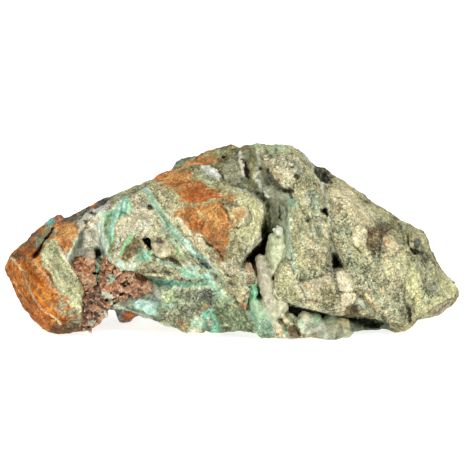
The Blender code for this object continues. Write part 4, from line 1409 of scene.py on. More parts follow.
              (83, 245)], "cream_bright", dict(o=1., k=.45, p=.4, n=.1)),
    ("area", [(82, 244), (90, 243), (91, 248), (84, 250)], "cream",
     dict(o=.7, n=.4)),
    ("area", [(84, 222), (91, 214), (103, 210), (102, 222), (92, 225), (86, 230)],
     "cream", dict(o=.5, n=.35, k=.2)),
    ("spot", (84, 228, 1.6, 2.6, 30), "rust_pale", dict(o=.8)),
    ("spot", (82, 224, 3, 2, 0), "lime", dict(o=.6)),
    ("line", [(81, 227), (76.5, 239), (71.5, 250), (66.5, 260.5)], 1.3, "cream",
     dict(o=.85, w=.5)),
    ("area", [(96, 258), (101, 259), (100, 270), (97, 268)], "turquoise",
     dict(o=.7, g=.4, n=.3)),
    ("area", [(97, 274), (101, 276), (101, 288), (98, 284)], "turquoise",
     dict(o=.7, g=.4, n=.3)),
    # painted shade in the two small holes
    ("area", [(84, 220), (89, 220), (88, 223.5), (84, 224)], "olive_dark", dict()),
    ("area", [(90, 211), (95, 212), (94, 215), (90, 214.5)], "grey_dark", dict()),
    ("area", [(98, 222), (103, 222), (103, 250), (100, 254), (98, 240)], "mint_white",
     dict(g=.5, o=.8)),
    ("spot", (101, 236, 1.4, 5, 0), "grey_blue", dict(o=.5)),

    # ---- teal band, left
    ("area", [(101, 214), (106, 214), (107, 236), (109, 250), (112, 260),
              (118, 264), (124, 268), (118, 272), (108, 262), (102, 256), (100, 236)],
     "mint_white", dict(g=.6, r=.25)),
    ("area", [(104, 212), (112, 208), (122, 198), (129, 198), (130, 206),
              (128, 213), (119, 220), (116, 232), (113, 244), (109, 244),
              (106, 228)], "teal", dict(g=.5, n=.2, k=.2)),
    ("area", [(105, 216), (110, 214), (112, 228), (111, 246), (113, 258),
              (108, 254), (106, 234)], "green_grey", dict(g=.4, o=.9, k=.3)),
    ("area", [(108, 246), (114, 244), (117, 256), (114, 262), (109, 256)], "lime_dull",
     dict(o=.85, k=.4)),
    ("spot", (125, 206, 3.4, 5, 20), "mint", dict(o=.7, g=.5)),
    ("spot", (121, 212, 3, 5, 25), "teal_deep", dict(o=.5, g=.5)),
    ("area", [(114, 206), (119, 203), (119, 214), (115, 224), (113, 216)], "mint_blue",
     dict(o=.7, g=.5)),
    ("spot", (113.5, 232, 2.4, 6, 0), "mint_blue", dict(o=.8, g=.6)),
    ("spot", (113, 239.5, 2.4, 4.6, 0), "teal_bright", dict(g=.6)),
    ("line", [(117, 224), (116, 231), (114.5, 240), (113.5, 246)], 1.8, "ochre",
     dict(o=.85)),
    ("spot", (107, 204, 6, 2.4, -35), "lilac", dict(o=.7)),
    ("area", [(112, 202), (122, 196), (122, 199), (113, 207)], "beige_dark",
     dict(o=.7, k=.7)),

    # ---- cream clast
    ("area", [(119, 222), (128, 214), (134, 204), (146, 207), (156, 216),
              (160, 228), (150, 236), (136, 234), (124, 238), (117, 240),
              (117, 230)], "cream_pink", dict(k=.65, p=.6, n=.2)),
    ("area", [(119, 222), (130, 216), (134, 222), (126, 228), (119, 228)], "cream",
     dict(o=.9, n=.3)),
    ("area", [(138, 202), (148, 203), (148, 208), (140, 209)], "grey", dict(o=.8, k=.5)),
    ("area", [(148, 210), (160, 216), (161, 234), (152, 232)], "beige_dark",
     dict(o=.6, k=.9, n=.5)),
    ("spot", (145, 224, 5, 4, 0), "chal_white", dict(o=.5, n=.5)),
    ("area", [(117, 240), (124, 238), (122, 246), (119, 250), (116, 248)],
     "chal_white", dict(o=.9, k=.6)),
    ("spot", (117, 254, 2.6, 5, 0), "lilac", dict(o=.8)),
    ("spot", (120, 240, 1.2, 2, 0), "olive_dark", dict(r=-.4)),
    ("spot", (117, 249, 1.4, 1.2, 0), "brown", dict(r=-.3)),
    # painted shade in the small hole
    ("area", [(147.5, 204.5), (151.5, 205.5), (153, 208.5), (149.5, 208)], "black",
     dict(o=.9)),
    ("line", [(152, 208), (158, 214), (161, 220)], 2.4, "green_dark", dict(o=.8)),
    # oval brown clast
    ("area", [(133, 237), (140, 238), (141, 246), (136, 256), (130, 261),
              (122, 259), (121, 252), (126, 244)], "olive_brown", dict(k=.8, p=.5, r=.3)),
    ("spot", (124, 256, 2.6, 2.6, 0), "ochre", dict(o=.6)),
    ("line", [(138, 238), (140, 246), (135, 256)], 1.4, "brown", dict(o=.5)),
    ("line", [(134, 233.5), (128, 240), (124, 246), (121, 254)], 2.3, "green_bright",
     dict(g=.6, r=.3)),
    ("line", [(134, 238), (140, 236)], 1.2, "brown_dark", dict(o=.6)),
    ("area", [(118, 258), (124, 262), (130, 264), (136, 262), (140, 256),
              (141, 264), (134, 271), (128, 269), (120, 270), (115, 266)],
     "mint_white", dict(g=.5, n=.2, r=.2)),
    ("area", [(126, 262), (134, 262), (132, 268), (126, 267)], "lime", dict(o=.5)),
    # teal round the little vug
    ("area", [(140, 244), (147, 250), (152, 252), (154, 258), (144, 262),
              (138, 262), (136, 254), (138, 248)], "teal", dict(g=.5, n=.3)),
    ("area", [(136, 250), (141, 246), (143, 254), (139, 258)], "green_grey",
     dict(o=.7, g=.4)),
    ("spot", (150, 253, 3, 3, 0), "green_bright", dict(o=.8, g=.5)),
    # painted shade in the hole beside the dome
    ("area", [(142, 239), (149, 238.5), (151, 243), (151, 250), (148, 248),
              (144, 244)], "black", dict(r=-.2)),
    # dome with a dimple; the dark spot in the dimple is painted shade
    ("area", [(151, 243), (155, 238), (162, 237), (166, 243), (169, 250),
              (166, 257), (160, 258), (154, 254), (151, 250)], "dome",
     dict(k=.15, g=.3)),
    # painted shade in the dimple
    ("spot", (159.5, 240, 3.4, 3.4, 0), "brown_dark", dict(o=.9)),
    ("line", [(153, 254), (156, 257), (163, 260), (170, 258), (176, 262),
              (180, 266)], 3.0, "brown_dark", dict(o=.75, n=.4)),
    ("spot", (170, 257, 3, 2.4, 0), "ochre", dict(o=.7)),

    # ---- striped beige-green between the dome and the long band
    ("area", [(160, 224), (170, 236), (186, 252), (196, 266), (190, 272),
              (180, 266), (168, 252), (162, 240)], "lime_dull", dict(k=.55, n=.2)),
    ("line", [(163, 228), (176, 246), (190, 264)], 2.6, "mint", dict(o=.75, n=.4, r=.12)),
    ("line", [(168, 230), (182, 248), (196, 264)], 2.2, "beige", dict(o=.7, n=.3)),
    ("line", [(172, 238), (180, 248), (186, 256)], 2.4, "green_bright", dict(o=.5, n=.6)),
    ("line", [(160, 234), (168, 250), (180, 264)], 1.8, "green_grey", dict(o=.6, n=.4)),
    ("line", [(165, 224), (170, 232), (178, 238), (182, 244)], 2.2, "green_grey",
     dict(o=.8, g=.4)),
    ("line", [(161, 223), (165, 226)], 2.0, "chal_white", dict(o=.8)),
    ("spot", (187, 264, 4, 4, 0), "chal_pale", dict(o=.7, g=.4)),
    ("spot", (172, 244, 3, 6, -35), "cream", dict(o=.5, n=.5)),
    # long diagonal teal band
    ("line", [(146, 191), (156, 205), (165, 220), (176, 234), (188, 246),
              (199, 257), (210, 268)], 7.0, "mint_blue", dict(g=.4, n=.4, r=.15)),
    ("line", [(144, 193), (153, 205), (162, 220), (173, 235), (184, 247)], 1.2,
     "chal_pale", dict(o=.8, w=.5, n=.2)),
    ("line", [(151, 196), (160, 208), (169, 222), (181, 237)], 0.9, "green_dark",
     dict(o=.55, w=.5, n=.5)),
    ("line", [(155, 199), (166, 215), (178, 231), (190, 244)], 1.0, "teal_deep",
     dict(o=.6, w=.6, n=.4)),
    ("line", [(156, 209), (168, 226), (182, 242)], 1.6, "green_bright",
     dict(o=.45, w=.6, n=.5)),
    ("line", [(150, 199), (162, 213), (172, 228)], 3.0, "turquoise",
     dict(o=.45, g=.4, n=.4)),
    ("line", [(148, 191), (160, 208), (170, 224), (182, 239), (194, 251)], 2.6,
     "mint_white", dict(o=.8, g=.5, n=.3)),
    ("line", [(150, 196), (158, 206), (166, 217), (174, 229), (184, 241), (194, 252)],
     6.0, "mint", dict(o=.6, g=.4, n=.4)),
    ("line", [(155, 201), (162, 209.5), (169, 218.5), (177, 228.5), (188, 243),
              (197, 252.5)], 2.2, "mint_white", dict(o=.9, g=.4, n=.2, w=.6)),
    ("line", [(156, 208), (165, 221), (172, 232), (179, 240)], 1.8, "green_grey",
     dict(o=.85, n=.3, w=.6)),
    ("line", [(152, 205), (160, 218), (168, 232), (176, 243), (184, 252)], 2.2,
     "mint_blue", dict(o=.6, n=.45)),
    ("line", [(164, 224), (170, 233), (178, 242)], 1.0, "teal_deep",
     dict(o=.7, n=.3, w=.6)),
    ("line", [(149, 190), (156, 198.5), (163, 208)], 1.6, "lime", dict(o=.8, w=.6)),
    ("line", [(152, 189), (160, 199), (166, 208)], 1.2, "ochre", dict(o=.4, n=.5)),
    ("spot", (178, 251, 1.8, 4.4, -35), "green_bright", dict(o=.7, n=.4)),
    ("spot", (171, 240, 1.6, 3.4, -35), "green_bright", dict(o=.6, n=.4)),
    ("spot", (183, 257, 2.4, 4, -35), "lime", dict(o=.7, n=.4)),
    ("line", [(186, 243), (192, 250), (196, 252)], 2.4, "mint", dict(o=.8, g=.4, n=.3)),
    ("line", [(150, 186), (160, 200), (168, 214), (180, 230)], 2.2, "lime",
     dict(o=.7, n=.3)),
    ("line", [(162, 214), (167, 224), (176, 236)], 1.8, "teal_deep", dict(o=.6, g=.4)),
    ("area", [(193, 252), (199, 257), (205, 262), (213, 269), (207, 269),
              (200, 263), (194, 257)], "green_grey", dict(n=.3, o=.8)),
    # painted shade at the deep end of the groove
    ("area", [(203, 262), (208, 265), (213, 269), (208, 269)], "chal_dark", dict(o=.9)),
    ("line", [(208, 262), (214, 268), (220, 272)], 3.0, "chal_pale", dict(g=.5, o=.9)),

    # ---- low zone
    ("area", [(137, 264), (150, 262), (166, 262), (180, 268), (180, 279),
              (164, 279), (150, 277), (140, 271)], "lime_dull", dict(k=.8, p=.5)),
    ("line", [(140, 263), (156, 264), (170, 268), (180, 272)], 2.6, "lime",
     dict(o=.75, n=.5, r=.15)),
    ("line", [(142, 271), (156, 271), (174, 275)], 1.6, "grey_dark", dict(o=.6, n=.4, r=-.2)),
    ("line", [(142, 268), (158, 268), (174, 272)], 1.2, "cream", dict(o=.8, w=.4, s=.7)),
    ("line", [(146, 276), (160, 277), (176, 280)], 1.0, "cream",
     dict(o=.7, w=.4, s=.7, n=.3)),
    ("line", [(140, 265.5), (156, 266), (172, 270)], .9, "grey_dark",
     dict(o=.6, w=.4, s=.7, n=.3)),
    ("line", [(150, 274), (164, 276), (178, 278)], 2.0, "beige", dict(o=.8, n=.4)),
    ("line", [(158, 260), (170, 264), (180, 268)], 3.2, "teal", dict(o=.8, g=.4)),
    ("line", [(156, 262), (168, 266), (178, 271)], 1.6, "mint_white", dict(o=.6)),
    ("area", [(148, 277), (162, 279), (176, 281), (182, 286), (166, 288),
              (152, 285)], "teal_deep", dict(g=.6, n=.2, o=.8)),
    ("area", [(158, 279), (172, 281), (176, 285), (164, 285)], "turquoise",
     dict(g=.6, o=.7)),
    ("area", [(148, 284), (166, 286), (182, 288), (178, 294), (160, 299),
              (146, 299)], "chal_grey", dict(g=.6, n=.2)),
    ("area", [(140, 280), (150, 280), (150, 288), (142, 286)], "chal_dull",
     dict(g=.5)),
    ("area", [(160, 290), (174, 288), (178, 296), (170, 306), (162, 298)],
     "lime_green", dict(k=.3, n=.4)),
    ("spot", (165, 294, 3, 3, 0), "lime", dict(o=.7)),
    ("area", [(160, 302), (170, 300), (180, 304), (178, 311), (164, 312)],
     "green_mid", dict(o=.7, n=.4)),
    ("spot", (171, 306, 2.6, 3, 0), "chal_white", dict(o=.8)),
    ("spot", (178, 307, 2.2, 4, 0), "teal", dict(o=.8)),
    ("spot", (160, 305, 3, 5, 0), "chal_grey", dict(o=.7, g=.4)),
    ("area", [(112, 304), (122, 299), (140, 298), (160, 300), (162, 310),
              (158, 322), (148, 318), (134, 312), (118, 306)], "green_grey",
     dict(g=.6, n=.2, k=.2)),
    ("area", [(116, 306), (128, 303), (136, 307), (144, 314), (134, 312)],
     "grey_dark", dict(o=.6, n=.3)),
    ("area", [(128, 298), (150, 296), (160, 298), (158, 302), (134, 304)], "grey_blue",
     dict(o=.7, g=.5)),
    ("area", [(136, 302), (146, 299), (156, 302), (158, 310), (156, 317),
              (146, 314), (136, 307)], "mint_blue", dict(g=.7, r=.3, s=2.5)),
    ("spot", (149, 306, 6, 4.5, 20), "mint_white", dict(o=.6, g=.7, s=3)),
    ("line", [(113, 304), (126, 309), (140, 314), (152, 319)], 2.6, "chal_pale",
     dict(o=.75, g=.5)),
    ("line", [(122, 305), (134, 310)], 1.8, "green_dark", dict(o=.6)),
    ("line", [(150, 316), (158, 322)], 3.0, "brown", dict(o=.8, n=.3)),
    ("area", [(160, 311), (178, 306), (196, 306), (205, 312), (203, 320),
              (194, 326), (190, 333), (176, 331), (162, 324)], "grey_olive",
     dict(k=.9, p=.9)),
    ("area", [(160, 320), (168, 322), (176, 329), (170, 331), (160, 325)],
     "grey_green", dict(o=.8, k=.3)),
    ("area", [(176, 290), (192, 287), (208, 288), (215, 298), (216, 306),
              (200, 304), (184, 300), (176, 298)], "grey_olive", dict(k=.9, p=.8)),
    ("area", [(178, 290), (190, 288), (196, 296), (186, 300)], "grey_olive",
     dict(k=.9, o=.8, n=.5)),
    # painted shade in the shallow hole
    ("area", [(200, 291), (207, 290), (212, 296), (211, 302), (203, 301)],
     "grey_dark", dict(n=.3, o=.95)),
    ("spot", (190, 311, 5, 3.4, 0), "grey_dark", dict(o=.75, n=.6)),
    ("line", [(178, 300), (186, 303), (198, 305), (208, 303)], 2.2, "lime_dull",
     dict(o=.8, n=.3, r=.15)),
    ("spot", (180, 321, 2.2, 2, 0), "rust", dict(o=.8)),
    ("spot", (184, 326, 3, 1.8, 0), "rust_pale", dict(o=.8)),
    ("spot", (200, 312, 2.4, 2, 30), "rust_red", dict(o=.8)),
    ("spot", (205, 307, 3, 1.6, -25), "rust_pale", dict(o=.8)),
    ("area", [(178, 283), (190, 280), (204, 282), (208, 287), (196, 288),
              (184, 290)], "teal_deep", dict(o=.85, g=.4, n=.3)),
    ("line", [(184, 290), (196, 287), (208, 288)], 3.0, "lime_dull", dict(o=.75, k=.5)),
    ("line", [(176, 279), (186, 282), (194, 279)], 3.4, "brown", dict(o=.7, n=.4)),
    ("area", [(180, 268), (196, 266), (206, 272), (204, 280), (190, 278),
              (180, 275)], "teal", dict(g=.5, n=.3)),
    ("area", [(188, 266), (198, 266), (200, 276), (192, 277)], "mint_white",
     dict(o=.7, g=.6, n=.3)),
    ("spot", (201, 271.5, 2.2, 2.4, 0), "ochre", dict()),
    ("area", [(202, 274), (212, 272), (218, 284), (224, 296), (216, 296),
              (208, 286)], "mint", dict(g=.5, n=.3)),
    ("line", [(204, 276), (212, 288), (220, 300)], 2.4, "teal", dict(o=.8, g=.5)),
    ("line", [(210, 272), (218, 282), (224, 292)], 2.4, "chal_pale", dict(o=.8, g=.4)),
    ("area", [(214, 286), (226, 284), (236, 296), (242, 306), (232, 306),
              (220, 300)], "chal_green", dict(o=.8, k=.3, n=.4)),
    ("line", [(212, 298), (224, 306), (236, 314), (246, 324)], 4.0, "green_mid",
     dict(o=.7, n=.5)),
    ("area", [(200, 312), (206, 308), (214, 310), (220, 322), (222, 331),
              (212, 334), (204, 326)], "teal", dict(g=.4, n=.15)),
    ("line", [(214, 312), (219, 322), (220, 330)], 2.6, "teal_deep", dict(o=.8)),
    ("spot", (209, 322, 3.4, 4, 0), "chal_grey", dict(o=.8, g=.4)),
    ("area", [(196, 318), (203, 316), (204, 328), (198, 334), (188, 334),
              (190, 326)], "chal_green", dict(g=.6)),
    ("spot", (196, 331, 6, 2.6, 0), "cream", dict(o=.7, g=.3)),
    ("area", [(216, 306), (232, 306), (246, 314), (254, 326), (254, 333),
              (222, 333), (220, 320)], "green_dark", dict(k=.5, n=.3)),
    ("line", [(222, 310), (232, 316), (242, 326)], 3.4, "green_mid", dict(o=.8, n=.5)),
    ("line", [(224, 322), (232, 328), (240, 330)], 4.0, "green_mid", dict(o=.7, n=.5)),
    ("spot", (250, 322, 2.4, 5, 0), "grey_blue", dict(o=.8)),
    ("spot", (232, 313, 4, 2, 30), "olive_dark", dict(o=.8)),
    ("area", [(113, 306), (139, 314), (134, 321), (124, 324), (116, 318)],
     "grey_dark", dict(k=.5)),
    ("area", [(125, 312), (137, 314), (133, 319), (126, 321), (123, 317)],
     "rust_deep", dict(n=.2)),

    # ---- big clast
    ("area", [(150, 177), (168, 178), (176, 190), (174, 206), (166, 208),
              (158, 198), (150, 188)], "beige", dict(k=.9, p=.5, n=.3)),
    ("area", [(166, 206), (178, 208), (190, 226), (206, 236), (210, 250),
              (200, 252), (186, 238), (174, 222)], "cream", dict(k=.35, p=.3)),
    ("line", [(176, 214), (192, 232), (206, 250)], 2.6, "cream_pink", dict(o=.5, n=.5)),
    ("area", [(176, 222), (186, 224), (202, 238), (207, 250), (200, 252),
              (188, 240)], "cream", dict(o=.9, k=.1, p=.2, n=.15)),
    ("area", [(230, 188), (246, 190), (256, 197), (265, 203), (266, 220),
              (264, 232), (257, 240), (250, 247), (240, 240), (238, 228),
              (250, 222), (250, 212), (240, 204)], "lime", dict(k=.5, p=.35)),
    ("area", [(228, 230), (240, 229), (242, 240), (248, 246), (240, 256),
              (230, 250)], "olive", dict(o=.55, k=.7, n=.6)),
    ("line", [(236, 186), (248, 190), (258, 197), (265, 203), (266, 220),
              (264, 233), (256, 241), (249, 248), (242, 259)], 3.2, "grey",
     dict(o=.75, g=.3, s=1.5)),
    ("line", [(234, 187), (246, 190.5), (256, 197.5), (263.5, 204), (264.5, 220),
              (262, 232), (254, 241), (246, 249), (241, 259), (242, 268),
              (246, 280), (249, 292)], 1.4, "chal_pale", dict(o=.85, w=.5, s=.8)),
    ("area", [(243, 262), (248, 262), (254, 280), (252, 284), (247, 282)],
     "peach", dict(o=.8, n=.3)),
    ("area", [(212, 250), (232, 250), (240, 262), (240, 276), (228, 276),
              (216, 264)], "beige_dark", dict(k=.9, p=.5, n=.2, o=.8)),
    ("area", [(222, 262), (236, 258), (238, 272), (230, 276)], "cream_pink",
     dict(o=.8, k=.7, n=.3)),
    ("line", [(214, 264), (222, 270), (228, 277), (236, 281)], 2.6, "lime",
     dict(o=.85, r=.1)),
    ("line", [(216, 270), (222, 278), (227, 284)], 2.2, "mint", dict(o=.7, g=.4)),
    ("line", [(222, 268), (228, 276), (233, 279)], 1.3, "olive_dark", dict(o=.8)),
    ("line", [(238, 262), (241, 274), (244, 286), (249, 296)], 3.4, "grey",
     dict(o=.8, g=.3)),
    ("area", [(226, 280), (240, 278), (246, 290), (248, 302), (240, 306),
              (228, 294)], "beige_dark", dict(o=.85, k=.7, n=.3)),
    ("area", [(232, 280), (240, 276), (246, 288), (242, 294)], "lime", dict(o=.6, n=.5)),
    ("spot", (233, 284, 4, 1.6, 0), "brown", dict(o=.8)),
    ("spot", (236, 287, 4, 1.4, 0), "grey_blue", dict(o=.7)),
    ("spot", (227, 292, 5, 3, 30), "lime", dict(o=.5, n=.5)),
    ("line", [(240, 303), (244, 306), (247, 309)], 2.6, "rust_red", dict(o=.85)),
    ("line", [(230, 304), (238, 308), (244, 312)], 2.4, "chal_white", dict(o=.7)),
    # painted shade: a small black spot at the clast's foot
    ("spot", (247, 312.5, 2, 1.2, 0), "black", dict(o=.8)),
    # pale crust along the foot of the lower slab
    ("line", [(274, 287), (279, 296), (286, 302), (300, 305.5), (314, 309),
              (326, 312), (338, 307)], 1.8, "chal_pale", dict(o=.75, n=.3, w=.5, g=.3)),
    # rust skin, upper
    ("area", [(152, 180), (160, 172), (172, 167), (188, 168), (193, 177),
              (200, 179), (208, 187), (222, 193), (236, 196), (232, 201),
              (222, 199), (212, 198), (205, 202), (198, 204), (188, 203),
              (178, 203), (180, 199), (174, 191), (165, 186), (157, 183)],
     "rust_mid", dict(k=.3, n=.35, s=2)),
    ("area", [(184, 190), (200, 182), (212, 190), (222, 194), (218, 198),
              (204, 201), (188, 202), (180, 198)], "rust_red", dict(o=.85, n=.4)),
    ("area", [(156, 178), (172, 170), (188, 172), (192, 180), (176, 182)],
     "rust_pale", dict(o=.4, n=.7)),
    ("area", [(168, 186), (182, 186), (188, 190), (180, 192), (170, 190)],
     "olive_brown", dict(o=.55, n=.8)),
    ("line", [(176, 172), (188, 178), (198, 184)], 1.6, "beige_dark", dict(o=.5, n=.6)),
    ("line", [(186, 168), (192, 171), (196, 178)], 1.8, "brown", dict(o=.6, n=.4)),
    ("area", [(190, 168), (198, 170), (202, 178), (196, 177)], "beige_dark",
     dict(o=.8, n=.2)),
    ("area", [(198, 170), (206, 174), (214, 184), (222, 188), (220, 193),
              (208, 187), (200, 179)], "grey_green", dict(o=.85, k=.6, n=.4)),
    ("area", [(212, 180), (232, 184), (238, 188), (230, 192), (218, 190)],
     "lime_dull", dict(o=.85, k=.6, n=.3)),
    ("line", [(210, 190), (222, 191), (234, 196)], 1.4, "rust_deep", dict(o=.6, n=.5)),
    # rust skin, lower
    ("area", [(172, 211), (188, 206), (198, 206), (206, 203), (212, 200),
              (220, 199), (226, 209), (232, 220), (236, 214), (239, 222),
              (234, 228), (230, 232), (229, 243), (225, 250), (218, 255),
              (211, 246), (206, 238), (198, 233), (190, 229), (184, 219),
              (176, 215)], "rust_mid", dict(k=.3, n=.3, s=2)),
    ("area", [(196, 208), (212, 202), (221, 202), (226, 212), (216, 216),
              (204, 214)], "rust_soft", dict(o=.7, n=.5)),
    ("area", [(190, 218), (204, 222), (208, 236), (198, 232), (190, 227)],
     "rust_red", dict(o=.35, n=.5)),
    ("area", [(200, 212), (216, 214), (222, 226), (212, 232), (202, 222)],
     "rust_soft", dict(o=.6, n=.6)),
    ("area", [(210, 226), (228, 226), (228, 242), (220, 252), (212, 242)],
     "rust_brown", dict(o=.45, n=.5)),
    ("area", [(210, 216), (220, 214), (224, 224), (216, 228)], "rust_pale",
     dict(o=.5, n=.5)),
    ("line", [(194, 208), (200, 214), (206, 220)], 1.4, "cream", dict(o=.5, n=.4)),
    ("line", [(214, 208), (218, 214), (222, 222)], 1.2, "ochre", dict(o=.5)),
    ("area", [(214, 246), (222, 246), (228, 252), (222, 260), (214, 256)],
     "rust_brown", dict(o=.7, n=.7)),
    ("line", [(217, 249), (220, 254), (223, 259)], 2.0, "rust_dark", dict(o=.8)),
    ("spot", (240, 249, 1.6, 3, -20), "rust_dark", dict(o=.7)),
    ("spot", (224, 256, 6, 3, 20), "rust_pale", dict(o=.4, n=.7)),
    ("line", [(168, 207.5), (178, 208), (188, 206), (196, 205.5), (203, 203),
              (211, 199.5), (219, 199)], 1.5, "beige_dark",
     dict(o=.95, g=.2, s=.7, w=.5, r=.1)),
    ("line", [(176, 206), (190, 204), (200, 203)], 0.9, "grey_olive",
     dict(o=.7, s=.7, w=.6)),
    ("line", [(219, 199), (223, 205), (227, 214), (230, 221)], 1.8, "rust_dark",
     dict(o=.8, r=-.15)),
    ("line", [(221, 200), (225, 206)], 1.0, "beige", dict(o=.7)),
    ("area", [(225, 199), (236, 200), (238, 206), (230, 208)], "olive_brown",
     dict(o=.75, n=.6)),
    # ringed bump
    ("spot", (240.5, 217, 10.5, 11, 0), "beige_pink", dict(r=.5, s=2.5, k=.35)),
    ("spot", (239, 214, 6, 6, 20), "pink_orange", dict(o=.85, n=.4)),
    ("line", [(231, 210), (234, 216), (236, 224)], 3.0, "rust", dict(o=.6, n=.5)),
    ("spot", (247, 220, 3.4, 4, 0), "green_grey", dict(o=.6)),
    ("line", [(232, 228), (238, 228.5), (246, 226), (250, 222), (251, 216),
              (248, 209), (242, 206), (236, 206)], 1.6, "brown", dict(o=.75)),
    ("line", [(203, 238), (205.5, 240), (207.5, 244), (211, 246)], 2.0, "brown_dark",
     dict(o=.9)),

    # ---- crest
    ("area", [(170, 169), (173, 163), (178, 158), (190, 156), (196, 157),
              (190, 162), (178, 168)], "green_grey", dict(k=.6)),
    ("line", [(186, 158), (192, 156.5), (197, 157)], 2.6, "olive_dark", dict(o=.8)),
    ("area", [(180, 168), (188, 161), (196, 157), (206, 151), (216, 147),
              (219, 148), (214, 153), (216, 156), (219, 158), (216, 163),
              (208, 166), (196, 165)], "rust_mid", dict(n=.45, k=.4, o=.95)),
    ("area", [(204, 154), (214, 150), (222, 149), (222, 153), (212, 156),
              (206, 157)], "grey_olive", dict(o=.95, k=.4)),
    ("area", [(218, 146), (231, 142), (238, 147), (236, 154), (226, 154)],
     "olive", dict(k=.7, n=.3)),
    ("spot", (230, 145, 3.4, 2.4, 0), "ochre", dict(o=.7)),
    ("area", [(216, 160), (228, 158), (236, 156), (234, 164), (220, 166)],
     "olive_brown", dict(o=.8, n=.5)),
    ("spot", (219, 161, 3, 1.6, 0), "brown_dark", dict(o=.8)),
    # painted shade in the pit in the crest
    ("area", [(221, 158), (223, 156), (227, 156), (226, 160), (223, 161)], "black",
     dict(o=.9)),
    ("area", [(168, 168), (182, 165), (192, 166), (192, 172), (184, 172),
              (176, 169)], "grey_olive", dict(o=.6, n=.6)),
    ("area", [(192, 166), (203, 165), (204, 168), (194, 168)], "grey_blue",
     dict(o=.8, g=.4)),
    ("area", [(201, 165), (210, 166), (218, 171), (222, 177), (218, 180),
              (210, 177), (204, 172)], "chal_white", dict(g=.7, r=.7, s=1.8, k=.1)),
    ("area", [(222, 164), (240, 152), (242, 178), (240, 186), (230, 184),
              (222, 176)], "chal_grey", dict(g=.5, k=.35, p=.6)),
    ("area", [(222, 160), (236, 158), (238, 172), (226, 174)], "chal_dull",
     dict(o=.7, g=.4, n=.4, p=.4)),
    ("spot", (227, 178, 5, 2, 0), "chal_pale", dict(o=.7, g=.4)),
    ("line", [(240, 151), (241, 162), (243, 176)], 3.2, "chal_pale",
     dict(g=.5, r=.45, s=1.6)),
    # painted shade in the gap in the crest
    ("area", [(243, 158), (246, 160), (248.5, 170), (248.5, 179), (245, 177),
              (243, 168)], "brown_dark", dict()),
    ("spot", (245, 148, 3.4, 2.4, 0), "ochre", dict(n=.2)),
    ("area", [(247, 148), (256, 146), (257, 164), (255, 178), (249, 180),
              (248, 164)], "olive", dict(k=.5, g=.3, n=.2)),
    ("line", [(257, 150), (257, 164), (254, 176), (250, 184)], 1.4, "lime",
     dict(o=.7, w=.5)),
    ("spot", (252, 158, 2.2, 6, 4), "green_dark", dict(o=.5, n=.4)),
    ("line", [(252, 152), (253, 170), (252, 178)], 2.0, "olive", dict(o=.7, r=.2)),
    ("area", [(250, 144), (262, 142), (266, 147), (262, 152), (254, 150)],
     "lime_green", dict(o=.8, g=.3)),
    ("line", [(257, 148), (259, 158), (258, 170), (256, 180)], 2.6, "chal_pale",
     dict(o=.8, g=.5, r=.25)),
    # painted shade in the small hole in the crest
    ("spot", (262, 169, 3, 1.6, 0), "black", dict(o=.8)),
    ("area", [(246, 180), (256, 178), (262, 190), (264, 200), (254, 194),
              (246, 188)], "olive", dict(o=.8, k=.5, g=.3)),
    ("area", [(257, 178), (266, 172), (274, 190), (276, 200), (268, 202),
              (262, 194)], "chal_dull", dict(g=.6, n=.2)),
    ("line", [(258, 180), (261, 189), (268, 197)], 3.2, "chal_white",
     dict(o=.85, g=.5, n=.2, r=.2)),
    ("spot", (268, 186, 4, 5, 0), "chal_green", dict(o=.6, g=.5)),
    ("line", [(232, 185), (245, 188), (257, 194), (264, 200)], 2.4, "chal_dark",
     dict(o=.7)),
    ("area", [(264, 200), (272, 196), (279, 200), (283, 212), (284, 232), (276, 238),
              (266, 238)], "chal_dull", dict(g=.5, k=.2, n=.1)),
    # painted shadow along the big clast's edge in the slot
    ("line", [(266.5, 204), (267.5, 220), (266.5, 236)], 3.0, "olive", dict(o=.8)),
    # painted shade in the thin slit
    ("line", [(279.5, 206), (280.3, 220)], 1.4, "chal_dark", dict(o=.5)),
    ("line", [(277, 196), (278, 208), (279, 226)], 1.4, "chal_green", dict(o=.6, g=.5)),

    # ---- round clast
    ("area", [(258, 146), (270, 144), (284, 144), (292, 148), (286, 154),
              (276, 157), (268, 153), (262, 150)], "lime_green", dict(k=.5, g=.2)),
    ("spot", (279, 148, 5, 4, 0), "chal_green", dict(o=.8, g=.3)),
    ("spot", (276, 150, 1.4, 3, 0), "green_dark", dict(o=.8)),
    ("line", [(265, 149), (269, 154), (273, 158), (278, 157)], 2.4, "grey_dark",
     dict(o=.8)),
    ("area", [(290, 146), (300, 150), (308, 160), (302, 160), (294, 152)],
     "lime_dull", dict(o=.7, k=.6)),
    ("spot", (305, 156, 2, 4, -30), "chal_pale", dict(o=.8)),
    ("area", [(262, 155), (274, 159), (285, 153), (300, 160), (303, 172),
              (297, 184), (290, 190), (280, 186), (272, 175), (264, 165)],
     "cream", dict(k=.85, p=.8, r=.35, s=2)),
    ("area", [(258, 164), (264, 166), (272, 180), (280, 188), (276, 192),
              (268, 190), (260, 178)], "chal_dull", dict(o=.9, g=.5, k=.2)),
    ("line", [(262, 158), (267, 169), (274, 180), (284, 188)], 1.6, "ochre",
     dict(o=.7, n=.5)),
    ("line", [(266, 168), (272, 178), (279, 186), (288, 191)], 2.2, "chal_grey",
     dict(o=.8)),
    ("spot", (280, 164, 6, 4, 0), "cream", dict(o=.6, n=.5)),
    ("line", [(282, 165), (292, 166), (298, 168)], 2.4, "grey_blue", dict(o=.75, n=.3)),
    ("spot", (299, 169, 2.6, 6, -20), "chal_pale", dict(o=.85, g=.3)),
    # painted shade in the short crack
    ("spot", (292, 167, 2, 1.4, 0), "black", dict(o=.7)),
    # painted shade in the small hole in the round clast
    ("area", [(291, 173), (298, 173), (302, 177), (299, 181), (295, 178)],
     "grey_dark", dict(o=.9, n=.2)),
